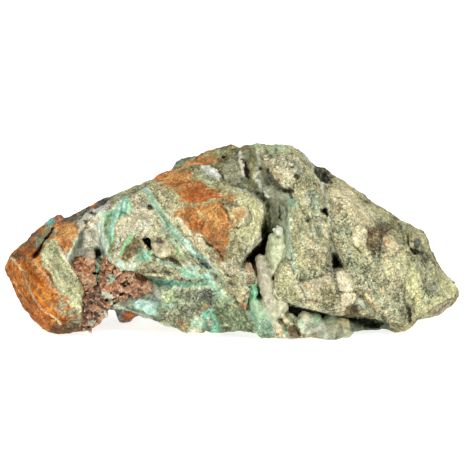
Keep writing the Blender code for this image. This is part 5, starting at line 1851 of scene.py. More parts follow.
    ("area", [(300, 162), (308, 162), (316, 172), (318, 182), (308, 184),
              (302, 174)], "lime_dull", dict(o=.7, k=.7, n=.5)),
    ("spot", (309, 178, 4, 4, 0), "green_grey", dict(o=.7, k=.5)),
    ("area", [(296, 180), (312, 182), (320, 188), (312, 194), (298, 190)],
     "beige_dark", dict(o=.7, k=.7, n=.4)),
    ("area", [(278, 190), (292, 190), (298, 198), (300, 208), (288, 212),
              (280, 206)], "chal_dull", dict(g=.6, n=.1)),
    ("area", [(288, 196), (298, 200), (301, 208), (294, 210), (286, 206)],
     "teal", dict(o=.45, g=.5, n=.3)),
    ("line", [(290, 189), (290.5, 198)], 2.4, "olive_dark", dict(o=.8)),
    ("area", [(278, 206), (290, 210), (290, 236), (291, 256), (286, 262),
              (282, 240), (280, 222)], "chal_grey", dict(g=.6, k=.1)),
    ("line", [(289, 196), (300, 206), (306, 218)], 2.0, "grey_blue", dict(o=.8, g=.4)),
    ("area", [(292, 186), (304, 192), (308, 204), (312, 214), (306, 218),
              (298, 206), (292, 196)], "lime_dull", dict(o=.8, k=.6, n=.3)),
    ("area", [(304, 190), (318, 190), (324, 202), (322, 214), (312, 216),
              (306, 204)], "green_grey", dict(o=.85, g=.3, k=.6, n=.4)),
    ("line", [(306, 194), (311, 208), (314, 222)], 2.2, "grey_blue", dict(o=.7, n=.2)),
    ("line", [(312, 192), (318, 204), (320, 216)], 2.0, "turquoise", dict(o=.35, n=.4)),
    ("area", [(310, 210), (322, 210), (322, 224), (314, 224)], "grey_green",
     dict(o=.65, g=.3, n=.4)),
    ("spot", (307, 198, 2.6, 2, 0), "chal_white", dict(o=.6)),
    ("spot", (313, 195, 3, 2, 0), "grey_dark", dict(o=.5, n=.5)),
    ("area", [(300, 210), (308, 220), (312, 232), (318, 240), (308, 238),
              (303, 226)], "beige", dict(o=.85, k=.4)),
    ("line", [(308, 220), (310, 228), (311, 232)], 2.6, "grey_blue", dict(o=.8, g=.4)),
    ("area", [(312, 224), (322, 226), (322, 238), (314, 238)], "green_grey",
     dict(o=.8, g=.3, n=.3)),
    ("area", [(321, 222), (328, 226), (330, 240), (324, 238)], "cream", dict(o=.8, k=.3)),
    # painted shade in the small hole
    ("area", [(305, 218), (310, 219), (310, 222.5), (308, 222)], "black", dict(o=.8)),
    # painted shade in the small hole
    ("area", [(321.5, 209.5), (325, 207.5), (327.5, 209), (328, 216), (326, 217),
              (325, 213), (321.5, 212.5)], "olive_dark", dict()),
    ("area", [(306, 236), (320, 242), (330, 246), (326, 252), (314, 246)],
     "grey_blue", dict(o=.6, g=.4, k=.4, n=.2)),
    # long grey vein on its right
    ("line", [(306, 158), (311, 167), (317, 176), (322, 185), (326, 196),
              (328, 210), (329, 222), (328, 234), (331, 244), (337, 256),
              (344, 267)], 3.2, "chal_grey", dict(g=.6, r=.3, s=1.6)),
    ("line", [(322, 184), (323, 192)], 3.0, "chal_white", dict(o=.4, g=.5)),
    ("line", [(325, 194), (326, 206)], 3.0, "grey_blue", dict(o=.7, g=.4)),
    ("line", [(321, 218), (321, 232)], 2.4, "grey_blue", dict(o=.7, g=.4)),

    # ---- upper slab
    ("area", [(290, 212), (298, 208), (303, 222), (306, 232), (314, 242),
              (300, 246), (293, 240), (290, 226)], "lime_dull", dict(k=.6)),
    ("area", [(292, 226), (304, 230), (312, 240), (306, 256), (298, 262),
              (294, 244)], "lime", dict(o=.6, k=.5, n=.4)),
    ("line", [(290, 210), (296, 222), (300, 232)], 3.0, "olive", dict(o=.5, n=.7)),
    ("area", [(306, 236), (318, 244), (326, 248), (320, 256), (306, 252)],
     "beige_pink", dict(o=.8, k=.5, n=.2)),
    ("area", [(304, 254), (324, 252), (330, 262), (324, 272), (308, 276),
              (302, 266)], "beige_dark", dict(o=.45, k=.8, p=.5, n=.3)),
    ("line", [(311, 264), (312, 258), (317, 256), (320, 260), (320, 266),
              (316, 269)], 1.6, "olive_dark", dict(o=.75, n=.3, r=-.15)),
    ("spot", (316, 262, 2.2, 2.6, 0), "pink_orange", dict(o=.5)),
    ("spot", (328, 264, 2, 2.4, 0), "brown_dark", dict(o=.6, n=.4)),
    ("line", [(304, 277), (316, 273), (329, 267)], 3.4, "grey_green", dict(o=.6, n=.2)),
    ("area", [(283, 214), (290, 214), (292, 236), (294, 254), (298, 268),
              (298, 277), (292, 268), (287, 258), (285, 240)], "chal_green",
     dict(g=.5, r=.15, k=.1, o=.85)),
    ("line", [(289.5, 214), (290.5, 236), (292, 252), (296, 266)], 1.2, "chal_pale",
     dict(o=.8, w=.5)),
    ("area", [(284, 236), (290, 238), (293, 254), (290, 262), (286, 256)],
     "chal_green", dict(o=.7, g=.6)),
    ("line", [(330, 249), (331.5, 258), (331, 268)], 2.6, "grey", dict(o=.8, g=.3)),
    ("line", [(285, 259), (291, 265), (296, 275)], 2.2, "grey_olive", dict(o=.7)),
    ("spot", (294.5, 275, 1.6, 3, 0), "chal_white", dict(o=.85)),

    # ---- lower slab
    ("area", [(284, 262), (292, 268), (297, 280), (300, 292), (298, 304),
              (286, 301), (277, 296), (275, 286), (277, 276)], "lime_dull",
     dict(k=.8, n=.2)),
    ("area", [(280, 268), (288, 268), (292, 280), (284, 290), (278, 286)],
     "lime", dict(o=.5, k=.6, n=.5)),
    ("area", [(300, 282), (312, 279), (326, 276), (332, 272), (332, 284),
              (324, 290), (306, 292)], "cream_pink", dict(o=.8, k=.6, n=.2)),
    ("area", [(322, 282), (334, 278), (340, 300), (336, 310), (322, 304)],
     "beige_dark", dict(o=.6, k=1., n=.3)),
    ("spot", (308, 287, 4, 2.4, 20), "pink_orange", dict(o=.8, n=.4)),
    ("area", [(296, 284), (304, 290), (306, 300), (298, 298)], "cream", dict(o=.7, k=.4)),
    ("line", [(322, 296), (324, 302), (328, 308)], 1.8, "brown", dict(o=.6, n=.5)),
    ("line", [(278, 298), (286, 302.5), (300, 307.5), (314, 312), (326, 314.5),
              (340, 313.5)], 3.0, "chal_grey", dict(o=.8, g=.3)),
    ("line", [(299, 275), (301.5, 279.3), (310, 276.5), (322, 272.5), (331, 268)], 1.6,
     "grey_green", dict(o=.9, w=.3)),
    ("line", [(299, 277.5), (302, 281.8), (310, 279.5), (322, 275.5), (331, 270.5)], 1.3,
     "olive_dark", dict(o=.9, w=.3, n=.1)),
    ("line", [(301.5, 285.5), (305, 293), (310, 298.2), (318, 300.5)], 1.4, "chal_pale",
     dict(o=.8, w=.3)),
    ("line", [(299.5, 285.5), (302.5, 291), (304.5, 296), (309, 300), (317, 302)], 1.4,
     "grey_dark", dict(o=.95, w=.3)),
    ("line", [(330, 272), (332, 280), (331, 288)], 1.2, "brown", dict(o=.6, w=.4, n=.3)),
    ("line", [(334.5, 271), (336.8, 285), (340, 296), (342, 304)], 2.4, "grey_dark",
     dict(o=.85, w=.4)),
    ("line", [(332, 270), (333.5, 280), (336, 294)], 1.4, "chal_grey", dict(o=.7, w=.4)),
    ("line", [(330, 268), (334, 268), (338, 270)], 3.0, "grey", dict(o=.8)),
    ("area", [(336.5, 272), (344, 270.5), (349, 278), (353, 290), (346, 291.5),
              (340, 290), (337, 280)], "cream_pink", dict(k=.2, r=.3, w=.3, s=.8, g=.25)),
    ("line", [(340, 275), (343, 281), (347, 285)], 1.6, "cream", dict(o=.8, n=.4)),
    ("area", [(342, 294), (350, 293), (357, 297), (352, 302), (346, 307),
              (342, 309), (341, 300)], "cream_pink", dict(k=.25, r=.25, w=.3, s=.8, g=.25)),
    ("line", [(339.5, 291.8), (346, 292.6), (354, 292)], 1.3, "olive_dark",
     dict(o=.95, w=.3)),
    ("line", [(350, 273), (353, 282), (355.5, 292), (359, 298)], 1.2, "grey_olive",
     dict(o=.8, w=.4)),
    ("spot", (335, 308, 4, 3, 0), "cream_pink", dict(o=.7)),
    # brownish olive in the undercut under the lower slab: partly the rock's colour, partly painted
    # shade
    ("area", [(343, 313.5), (346, 306), (353, 301), (357, 302), (358, 310),
              (361, 315), (350, 317), (345, 316.5)], "olive_brown", dict(g=.3)),
    ("spot", (353, 303, 4, 2.4, 0), "beige_dark", dict(o=.7, n=.3)),
    # painted shade in the gap between the slabs and the right-hand block
    ("area", [(333.6, 254), (336, 254), (340, 260), (344, 268), (338, 267.5),
              (334, 269.5), (333, 262)], "black", dict(o=.95, w=.4)),
    ("line", [(330.5, 244), (332, 254), (332.4, 270)], 1.6, "chal_grey",
     dict(o=.8, w=.3)),
    ("line", [(335, 250), (340.5, 259), (346, 269)], 1.6, "chal_grey",
     dict(o=.7, w=.3)),

    # ---- right-hand block
    ("area", [(330, 174), (346, 182), (362, 192), (356, 196), (340, 190),
              (328, 184)], "lime_dull", dict(o=.8, k=.7, n=.3)),
    ("area", [(328, 188), (346, 188), (358, 200), (356, 214), (340, 208),
              (330, 200)], "cream", dict(o=.7, k=.5, n=.3)),
    ("spot", (347, 200, 6, 4, 0), "cream_pink", dict(o=.6)),
    ("area", [(352, 190), (368, 198), (374, 206), (366, 206), (356, 198)],
     "olive", dict(o=.7, n=.6, k=.5)),
    ("spot", (362, 199, 3.4, 1.8, 20), "olive", dict(o=.8)),
    ("line", [(366, 200), (374, 205), (380, 206)], 2.0, "olive_brown", dict(o=.8)),
    ("area", [(370, 206), (384, 208), (396, 218), (388, 224), (376, 216)],
     "beige_dark", dict(o=.6, k=.5, n=.3)),
    ("area", [(356, 208), (374, 212), (376, 222), (362, 228), (354, 218)],
     "beige_pink", dict(o=.8, k=.3, n=.3)),
    ("spot", (358, 214, 3.4, 1.8, -10), "brown", dict(o=.7, n=.4)),
    ("area", [(330, 202), (342, 200), (346, 212), (336, 216)], "grey_olive",
     dict(o=.4, n=.9)),
    ("spot", (338, 208, 1.6, 2.4, 0), "rust_pale", dict(o=.7)),
    ("area", [(332, 218), (350, 220), (352, 232), (336, 234)], "grey_olive",
     dict(o=.5, n=.9, k=.8)),
    ("area", [(336, 232), (348, 232), (352, 246), (344, 252), (338, 244)],
     "green_grey", dict(o=.45, n=.9, k=.7)),
    ("area", [(352, 220), (366, 226), (366, 240), (354, 240)], "cream",
     dict(o=.6, n=.4, k=.5)),
    ("area", [(346, 248), (360, 252), (368, 260), (360, 270), (350, 262)],
     "grey_green", dict(o=.7, n=.6, k=.5)),
    ("spot", (350, 253, 3, 4, 0), "grey_blue", dict(o=.5, n=.4)),
    ("area", [(350, 262), (368, 266), (378, 272), (368, 280), (354, 274)],
     "green_grey", dict(o=.6, n=.8, k=.7)),
    ("line", [(358, 274), (366, 273), (374, 275)], 2.6, "green_dark", dict(o=.6, n=.6)),
    ("area", [(366, 230), (374, 226), (382, 228), (381, 242), (378, 256),
              (374, 262), (370, 252), (367, 240)], "brown", dict(n=.35, k=.8, o=.92)),
    ("area", [(368, 232), (376, 230), (377, 246), (371, 248)], "rust_brown",
     dict(o=.5, n=.6, k=.7)),
    ("line", [(372, 230), (371, 240), (374, 254)], 1.5, "brown_dark",
     dict(o=.95, n=.15, w=.4)),
    ("line", [(376, 228), (376.6, 240), (375.6, 254)], 1.3, "brown_dark",
     dict(o=.9, n=.15, w=.4)),
    ("line", [(373.6, 230), (373.8, 242), (376, 250)], 1.0, "ochre",
     dict(o=.5, n=.3, w=.4)),
    ("area", [(380, 228), (388, 224), (393, 228), (388, 238), (382, 238)],
     "brown_dark", dict(o=.75, n=.5)),
    ("spot", (386, 233, 4, 3, 0), "grey_olive", dict(o=.7, n=.5)),
    ("area", [(382, 238), (394, 236), (400, 244), (398, 254), (384, 254)],
     "beige_pink", dict(o=.9, k=.5, n=.3)),
    ("spot", (387, 242, 3.0, 4, 0), "rust_pale", dict(o=.5, n=.6)),
    ("spot", (391, 235, 1.6, 2, 0), "ochre", dict(o=.7)),
    ("line", [(372, 227), (380, 225), (392, 222), (396, 222)], 2.4, "olive_dark",
     dict(o=.7, n=.3)),
    # painted shade along the groove at the brown patch's right
    ("line", [(380.5, 224), (381.5, 238), (379.5, 250)], 2.0, "black",
     dict(o=.6, w=.5, n=.3)),
    ("line", [(381, 226), (382, 238), (380.4, 250), (378, 260)], 1.8, "brown_dark",
     dict(o=.95, n=.1, w=.4)),
    ("area", [(378, 250), (384, 250), (382, 262), (374, 266), (372, 258)],
     "green_grey", dict(o=.7, n=.4)),
    ("area", [(390, 256), (400, 254), (399, 262), (390, 264)], "green_grey",
     dict(o=.8, n=.4)),
    ("line", [(391, 262), (396, 262), (400, 259)], 1.4, "olive_dark", dict(o=.7)),
    ("spot", (396, 253, 1.8, 2, 0), "olive_dark", dict(o=.8)),
    ("area", [(390, 214), (398, 220), (402, 230), (396, 234), (390, 226)],
     "olive", dict(o=.8, n=.4, k=.6)),
    ("spot", (395, 223, 4, 3, 30), "olive_dark", dict(o=.6, n=.5)),
    ("area", [(384, 262), (402, 254), (416, 262), (418, 274), (404, 282),
              (390, 276), (380, 270)], "lime", dict(o=.7, k=.4, n=.4)),
    ("spot", (400, 272, 6, 5, 0), "cream_pink", dict(o=.7, n=.3)),
    ("spot", (383, 270, 1.6, 1.8, 0), "grey_blue", dict(o=.8)),
    ("area", [(366, 278), (384, 282), (402, 290), (408, 304), (402, 318),
              (390, 314), (374, 300)], "grey_green", dict(o=.75, n=.6, k=.7)),
    ("spot", (366, 287, 3.4, 4, 0), "chal_grey", dict(o=.7)),
    ("area", [(380, 284), (392, 284), (400, 292), (396, 304), (386, 302)],
     "beige_pink", dict(o=.6, n=.7, k=.7)),
    ("spot", (383, 290, 2, 3, 0), "rust_pale", dict(o=.55, n=.5)),
    ("spot", (386, 301, 2, 3, 0), "rust_pale", dict(o=.5, n=.5)),
    ("spot", (393, 295, 1.6, 1.8, 0), "rust_pale", dict(o=.5)),
    ("line", [(400, 284), (403, 292), (408, 296)], 2.0, "olive_brown", dict(o=.6, n=.4)),
    ("line", [(395, 283), (402, 286), (404, 282)], 1.4, "olive_brown", dict(o=.6)),
    ("spot", (360, 304, 5, 6, -30), "chal_pale", dict(o=.85, g=.4)),
    ("line", [(353, 282), (360, 292), (370, 304), (380, 314), (388, 324),
              (394, 331)], 3.4, "olive", dict(o=.7, n=.3, k=.3)),
    ("line", [(366, 306), (376, 314), (382, 318)], 3.0, "turquoise", dict(o=.4, g=.3)),
    ("line", [(366, 296), (374, 306), (382, 316), (390, 324)], 2.2, "ochre",
     dict(o=.5, n=.5)),
    ("line", [(384, 318), (390, 328), (396, 333)], 3.4, "grey_olive", dict(o=.9)),
    ("area", [(400, 304), (410, 300), (413, 312), (412, 322), (402, 322)],
     "grey_olive", dict(o=.85, n=.5, k=.9)),
    # painted shade: black lines in and beside the groove near the tip's foot
    ("line", [(403, 297), (407, 306), (410, 314), (410, 321)], 3.0, "black",
     dict(o=.85, n=.2)),
    ("line", [(399, 300), (403, 308), (406, 318)], 1.6, "black", dict(o=.7, n=.4)),
    ("line", [(395, 296), (399, 306), (401, 316)], 1.6, "green_dark",
     dict(o=.6, n=.5)),
    ("line", [(413, 302), (414, 312)], 2.0, "brown_dark", dict(o=.7, n=.3)),
    ("spot", (394, 327, 5, 2, 10), "ochre", dict(o=.6, n=.6)),
    ("line", [(354, 245), (361, 253)], 1.6, "olive_dark", dict(o=.9)),
    # dark interior of the skyline notch: painted shade, black with dark olive lines
    ("area", [(312, 164), (318, 164), (325, 167), (333, 176), (331, 185.5),
              (322, 184.5), (316, 176)], "black", dict(o=.95)),
    ("line", [(316, 166), (322, 173), (328, 181)], 2.0, "olive_dark",
     dict(o=.9, n=.3)),
    ("line", [(320, 167), (327, 172), (332, 178)], 1.6, "olive", dict(o=.7, n=.4)),
    ("spot", (335, 176, 3.4, 2, 25), "olive_dark", dict(o=.8, n=.4)),

    # ---- right tip
    ("area", [(402, 222), (412, 224), (422, 229), (429, 240), (430, 250),
              (420, 252), (412, 248), (408, 236)], "beige_dark", dict(k=.9, n=.2, r=.5, s=2)),
    ("area", [(400, 224), (408, 226), (408, 236), (402, 236)], "chal_green",
     dict(o=.6, n=.4)),
    ("line", [(405, 229), (406, 236), (408, 242)], 2.0, "olive", dict(o=.5, n=.3)),
    ("spot", (417, 243, 3.6, 4.2, 0), "grey_dark", dict(o=1., s=1.2, r=-.7)),
    ("spot", (424, 243, 3, 7, -15), "lime_dull", dict(o=.7, n=.3)),
    ("line", [(411, 234), (418, 234), (425, 239)], 2.2, "grey_green", dict(o=.7, n=.3)),
    # painted shadow: the crescent under the knob, at half strength
    ("line", [(408.5, 237), (409.5, 244), (413, 250), (419, 252.5), (426, 253)],
     2.4, "black", dict(o=.5)),
    ("area", [(423, 255), (432, 254), (436, 262), (430, 268), (424, 262)],
     "brown", dict(o=.75, n=.4)),
    ("spot", (427, 256, 2.6, 1.8, 0), "grey_dark", dict(o=.8)),
    ("line", [(412, 256), (416, 264), (420, 266)], 2.4, "grey_blue", dict(o=.6, n=.3)),
    ("area", [(424, 264), (440, 268), (450, 280), (440, 284), (428, 278)],
     "grey_olive", dict(o=.45, n=.5, k=.9)),
    ("spot", (428, 270, 3.4, 5, 0), "grey", dict(o=.5, n=.3)),
    ("area", [(420, 284), (432, 280), (442, 290), (440, 300), (430, 298),
              (422, 292)], "grey", dict(o=.6, n=.6, k=1.2)),
    ("area", [(440, 280), (454, 284), (457, 294), (448, 298), (442, 292)],
     "lime_dull", dict(o=.9, k=.4)),
    ("area", [(416, 300), (430, 296), (446, 300), (438, 308), (424, 316),
              (416, 316)], "lime", dict(o=.75, k=.6, n=.3)),
    ("area", [(410, 262), (420, 270), (420, 290), (412, 298), (406, 282)],
     "lime_dull", dict(o=.8, k=.4)),
    ("line", [(412, 266), (416, 280), (420, 292)], 2.0, "olive", dict(o=.5, n=.4)),
    ("line", [(418, 284), (420, 296), (424, 302)], 2.0, "olive", dict(o=.6, n=.5)),
    ("spot", (424, 303, 4, 2.4, 0), "green_dark", dict(o=.6, n=.5)),
    ("spot", (417, 276, 3, 3, 0), "cream", dict(o=.6)),
    ("area", [(430, 312), (436, 304), (448, 299), (456, 300), (450, 306),
              (440, 315), (432, 317)], "beige_dark", dict(o=.9, k=.5)),
    ("line", [(438, 309), (444, 303), (451, 300)], 3.0, "grey_olive", dict(o=.7)),
    ("line", [(400, 326), (410, 324), (420, 319)], 2.6, "olive_brown", dict(o=.8, n=.4)),
    ("spot", (457, 292, 2.0, 5, 0), "beige_dark", dict(o=.5)),
    ("area", [(431, 314), (440, 306), (449, 300.5), (456, 300), (455, 304),
              (447, 310), (439, 316), (432, 317.5)], "pink_grey",
     dict(o=.85, k=.6, n=.2)),
    ("line", [(429, 312.5), (439, 304.5), (448.5, 299.5), (457, 299)], 1.5,
     "olive_dark", dict(o=.9, r=-.2, w=.4)),
    ("line", [(434, 314), (442, 308), (451, 303)], 1.1, "olive_dark",
     dict(o=.6, w=.5, n=.2)),
    ("line", [(436, 311), (444, 305), (453, 301)], 1.1, "lime", dict(o=.6, w=.5)),
    ("line", [(429, 309), (440, 301), (450, 296.5)], 2.0, "lime", dict(o=.6, r=.3)),
    ("line", [(404, 256), (411, 264), (416, 276), (418, 290), (421, 302)], 4.0,
     "lime", dict(o=.6, r=.6, s=2, k=.3)),
    ("line", [(409, 264), (411, 276), (410, 292)], 2.4, "olive", dict(o=.6, r=-.5, n=.3)),
    ("line", [(422, 270), (424, 284), (428, 296)], 2.6, "grey_olive",
     dict(o=.6, r=-.5, n=.3)),
    ("line", [(426, 264), (438, 270), (446, 279), (454, 284)], 3.0, "lime_dull",
     dict(o=.5, r=.4, s=2)),
    ("line", [(432, 284), (440, 289), (446, 296)], 2.4, "grey_dark",
     dict(o=.5, n=.5, r=-.3)),
    ("line", [(412, 258), (418, 262), (426, 262), (431, 268)], 1.8, "grey_dark",
     dict(o=.65, n=.3, r=-.3)),
    ("spot", (430, 259, 4, 4, 0), "grey_dark", dict(o=.55, n=.4)),
    ("line", [(405, 228), (405, 238), (408, 248), (414, 255), (424, 257)], 1.8,
     "lime", dict(o=.6, r=.2)),
    ("area", [(411, 229), (420, 231), (427, 240), (428, 248), (423, 251), (424, 242),
              (418, 236), (411, 235)], "lime_dull", dict(o=.7, k=.9, n=.2)),
    # painted shadow: the crescent under the knob
    ("line", [(408, 236), (408.8, 243), (411.5, 249), (416, 252.5), (423, 254)],
     2.4, "black", dict(o=1.0, w=.4)),
    ("spot", (417.4, 243.2, 3.4, 4.4, 15), "grey_dark", dict(o=1.0, w=.4, g=.3)),
    ("spot", (418.3, 243.0, 1.8, 2.4, 15), "grey_blue", dict(o=.9, w=.4, g=.4)),
    # painted shade along the inner edge of the knob's hollow
    ("line", [(414.2, 240), (414.4, 245), (417, 248)], 1.3, "black", dict(o=.9, w=.4)),
    ("line", [(385, 208), (393, 216), (400, 225), (404, 236), (404, 250)], 2.0,
     "olive_dark", dict(o=.6, n=.4, r=-.3)),
    ("line", [(372, 205), (384, 212), (394, 222)], 2.4, "lime", dict(o=.5, r=.35, s=2)),
    # dense dark speckle
    ("area", [(334, 204), (344, 206), (352, 222), (354, 240), (350, 252), (340, 244),
              (332, 226)], "grey_green", dict(o=.35, k=1.5, n=.5)),
    ("area", [(334, 186), (350, 190), (366, 200), (374, 212), (368, 224), (356, 222),
              (346, 206), (334, 198)], "cream", dict(o=.6, k=.3, n=.3)),
    ("area", [(340, 248), (356, 256), (370, 262), (380, 276), (372, 290),
              (358, 284), (348, 268)], "grey_green", dict(o=.45, k=1.55, n=.4)),
    ("area", [(350, 252), (364, 256), (368, 264), (356, 266)], "lime",
     dict(o=.55, k=.5, n=.4)),
    ("area", [(366, 276), (388, 282), (404, 296), (406, 316), (392, 318),
              (376, 302)], "grey_green", dict(o=.4, k=1.5, n=.5)),
    ("area", [(410, 250), (424, 258), (430, 280), (420, 292), (412, 272)],
     "grey_olive", dict(o=.3, k=1.4, n=.6)),
    ("area", [(308, 254), (322, 254), (326, 262), (320, 270), (308, 272)],
     "beige", dict(o=.5, k=1.1, n=.3)),
    ("area", [(292, 230), (302, 234), (306, 250), (300, 262), (294, 250)], "lime",
     dict(o=.5, k=.5, n=.3)),
    ("area", [(290, 216), (300, 222), (306, 236), (300, 248), (292, 240)],
     "lime_dull", dict(o=.3, k=1.1, n=.4)),
    ("area", [(314, 290), (330, 284), (336, 298), (328, 306), (314, 302)],
     "beige_dark", dict(o=.3, k=1.25, n=.4)),
    ("area", [(364, 200), (380, 206), (394, 216), (388, 222), (372, 214)],
     "lime_dull", dict(o=.4, k=.3, n=.3)),
    ("area", [(354, 226), (366, 228), (366, 246), (356, 244)], "cream",
     dict(o=.5, k=.4, n=.3)),
    ("line", [(386, 224), (388, 232), (384, 244), (383, 256)], 1.6, "brown_dark",
     dict(o=.7, n=.2)),
    ("line", [(368, 234), (366.5, 244), (370, 256)], 1.4, "brown_dark",
     dict(o=.7, n=.3)),
    ("area", [(378, 226), (388, 224), (392, 229), (386, 238), (380, 236)], "brown",
     dict(o=.8, n=.3)),
    # painted shade on the part of the shelf under the overhang
    ("area", [(318, 316), (345, 318), (386, 320), (390, 326), (356, 322),
              (330, 321)], "green_dark", dict(o=.8, g=.3)),
    # veins and edges over the rust
    ("line", [(9, 266), (14, 280), (22, 296), (32, 311), (42, 321)], 0.9, "rust_dark",
     dict(o=.55, w=.6, n=.2, r=-.1)),
    ("line", [(40, 262), (47, 274), (56, 286), (66, 297)], 0.9, "rust_dark",
     dict(o=.5, w=.6, n=.3, r=-.1)),
    ("line", [(36, 266), (45, 280), (54, 293), (60, 303)], 0.8, "cream",
     dict(o=.55, w=.5, n=.3)),
    ("area", [(7, 262), (14, 259), (24, 272), (32, 290), (28, 296), (16, 282)],
     "rust_pale", dict(o=.4, n=.6)),
    ("spot", (26, 285, 4, 8, -25), "rust_pale", dict(o=.5, n=.6)),
    ("line", [(11, 258), (17, 264.5), (22, 271), (26, 279), (27.7, 285), (33.5, 297.7),
              (42.7, 309), (50.7, 316), (61, 324)], 1.7, "cream",
     dict(o=.95, s=.7, w=.4, g=.25, r=.15, k=.1)),
    ("line", [(24, 276), (27, 284), (30.5, 292)], 2.2, "grey_green",
     dict(o=.8, s=.8, w=.4, g=.3)),
    ("spot", (40, 306, 6, 4, 40), "rust_deep", dict(o=.6, n=.6)),
    ("area", [(12, 260), (22, 252), (36, 258), (30, 263), (18, 262)], "rust_brown",
     dict(o=.4, n=.6)),
    ("area", [(10, 266), (30, 266), (44, 280), (56, 298), (48, 318), (34, 308),
              (20, 288)], "rust", dict(o=.5, n=.4)),
    ("line", [(9, 270), (17, 285), (24, 298), (34, 312), (48, 326)], 1.0, "rust_pale",
     dict(o=.7, w=.5, n=.2)),
    ("line", [(14, 262), (24, 270), (34, 284), (46, 300), (56, 311)], 0.8, "beige_dark",
     dict(o=.7, w=.5, n=.25)),
    ("line", [(33, 262), (43, 273), (52, 284), (62, 297), (68, 306)], 0.9, "cream",
     dict(o=.6, w=.5, n=.3)),

    # ---- shelf and green patch along the foot
    ("area", [(246, 302), (258, 298), (266, 312), (274, 324), (278, 338),
              (256, 338), (248, 324)], "green_light", dict(g=.3, n=.2)),
    ("area", [(250, 284), (258, 284), (262, 290), (258, 296), (258, 304),
              (252, 304)], "teal_bright", dict(o=.8, g=.4)),
    ("area", [(250, 296), (260, 298), (262, 314), (254, 318), (248, 308)],
     "teal", dict(o=.5, g=.4, n=.3)),
    ("line", [(260, 310), (264, 321), (266, 333)], 1.5, "chal_white", dict(o=.85, w=.5)),
    ("line", [(254, 310), (260, 322), (266, 334)], 2.2, "green_bright", dict(o=.3, n=.5)),
    ("line", [(269, 314), (273, 325), (277, 335)], 2.4, "mint", dict(o=.7, n=.3)),
    ("spot", (266, 305, 4, 3.4, 0), "mint_white", dict(o=.85, g=.5)),
    ("line", [(252, 303), (257, 316), (264, 333)], 1.8, "chal_green",
     dict(o=.8, w=.5, n=.2)),
    ("line", [(247, 300), (252, 314), (258, 331)], 1.4, "teal", dict(o=.8, w=.5, n=.2)),
    ("line", [(258, 306), (263, 320), (269, 336)], 1.4, "mint", dict(o=.7, w=.5, n=.3)),
    ("area", [(262, 306), (272, 308), (276, 322), (270, 326), (264, 316)],
     "chal_green", dict(o=.7, g=.4, n=.3)),
    ("line", [(226, 300), (238, 312), (248, 326)], 2.0, "chal_green",
     dict(o=.6, n=.4)),
    ("line", [(216, 302), (228, 314), (238, 328)], 1.8, "teal", dict(o=.6, n=.4)),
    ("area", [(216, 300), (230, 300), (242, 312), (250, 330), (236, 330), (222, 318)],
     "green_mid", dict(o=.45, n=.6)),
    ("area", [(214, 304), (232, 306), (248, 318), (254, 333), (222, 333)],
     "grey_olive", dict(o=.35, k=1.5, p=1., n=.5)),
    ("spot", (240, 322, 4, 3, 30), "mint", dict(o=.5, n=.6)),
    ("spot", (228, 326, 4, 2.4, 20), "chal_green", dict(o=.5, n=.6)),
    ("spot", (234, 306, 4, 2.4, 30), "lime_dull", dict(o=.6, n=.5)),
    ("area", [(260, 334), (276, 334), (276, 339), (258, 338)], "green_grey", dict(o=.8)),
    ("area", [(272, 322), (282, 324), (286, 338), (274, 338)], "cream_pink",
     dict(o=.8, k=.3, n=.3)),
    ("spot", (281, 333, 2.2, 4, 0), "ochre", dict(o=.8)),
    ("spot", (277, 334, 1.8, 1.6, 0), "rust_dark", dict(o=.7)),
    ("spot", (285, 331, 2, 4, 0), "teal", dict(o=.7)),
    ("area", [(278, 318), (292, 314), (298, 324), (294, 330), (282, 326)],
     "olive", dict(o=.85, k=.5, n=.3)),
    ("area", [(288, 326), (300, 326), (304, 336), (290, 337)], "rust_dark",
     dict(o=.8, n=.4, k=.4)),
    ("spot", (298, 329, 1.6, 3, 0), "green_mid", dict(o=.7)),
    ("area", [(310, 334), (324, 334), (324, 339), (306, 338)], "peach",
     dict(o=.45, n=.7)),
    ("area", [(322, 318), (350, 318), (356, 330), (348, 338), (330, 341),
              (320, 334)], "green_grey", dict(g=.4, n=.3)),
    ("area", [(334, 322), (342, 322), (342, 336), (334, 336)], "beige_dark",
     dict(o=.5, g=.3)),
    # painted shade under the right-hand block's overhang
    ("area", [(352, 316), (388, 322), (390, 332), (352, 334)], "chal_dark",
     dict(g=.5)),
    ("spot", (366, 322, 5, 2, 0), "green_mid", dict(o=.5)),
    # ---- last fine lines: the round clast and the crusts along the slabs
    ("line", [(270, 160), (278, 158), (288, 161), (297, 166), (301, 173)], 0.9,
     "grey_blue", dict(o=.7, w=.5, n=.3)),
    ("line", [(274, 168), (282, 164), (291, 167), (298, 172)], 0.8, "grey_blue",
     dict(o=.7, w=.5, n=.3)),
    ("line", [(277, 176), (285, 171), (293, 172)], 0.8, "olive_dark",
     dict(o=.55, w=.5, n=.3)),
    ("line", [(266, 166), (271, 176), (278, 184), (286, 188), (292, 187)], 1.0,
     "cream_bright", dict(o=.75, w=.5, n=.2)),
    ("line", [(268, 162), (275, 173), (284, 180)], 0.8, "rust_pale",
     dict(o=.45, w=.5, n=.4)),
    ("line", [(287, 222), (286, 240), (288, 252), (293, 264), (297, 274), (304, 281)],
     1.4, "chal_grey", dict(o=.7, w=.5, g=.3, n=.2)),
    ("line", [(326, 172), (330, 190), (331, 210), (332, 232), (335, 252)], 1.4,
     "chal_grey", dict(o=.55, w=.5, g=.3, n=.2)),
]

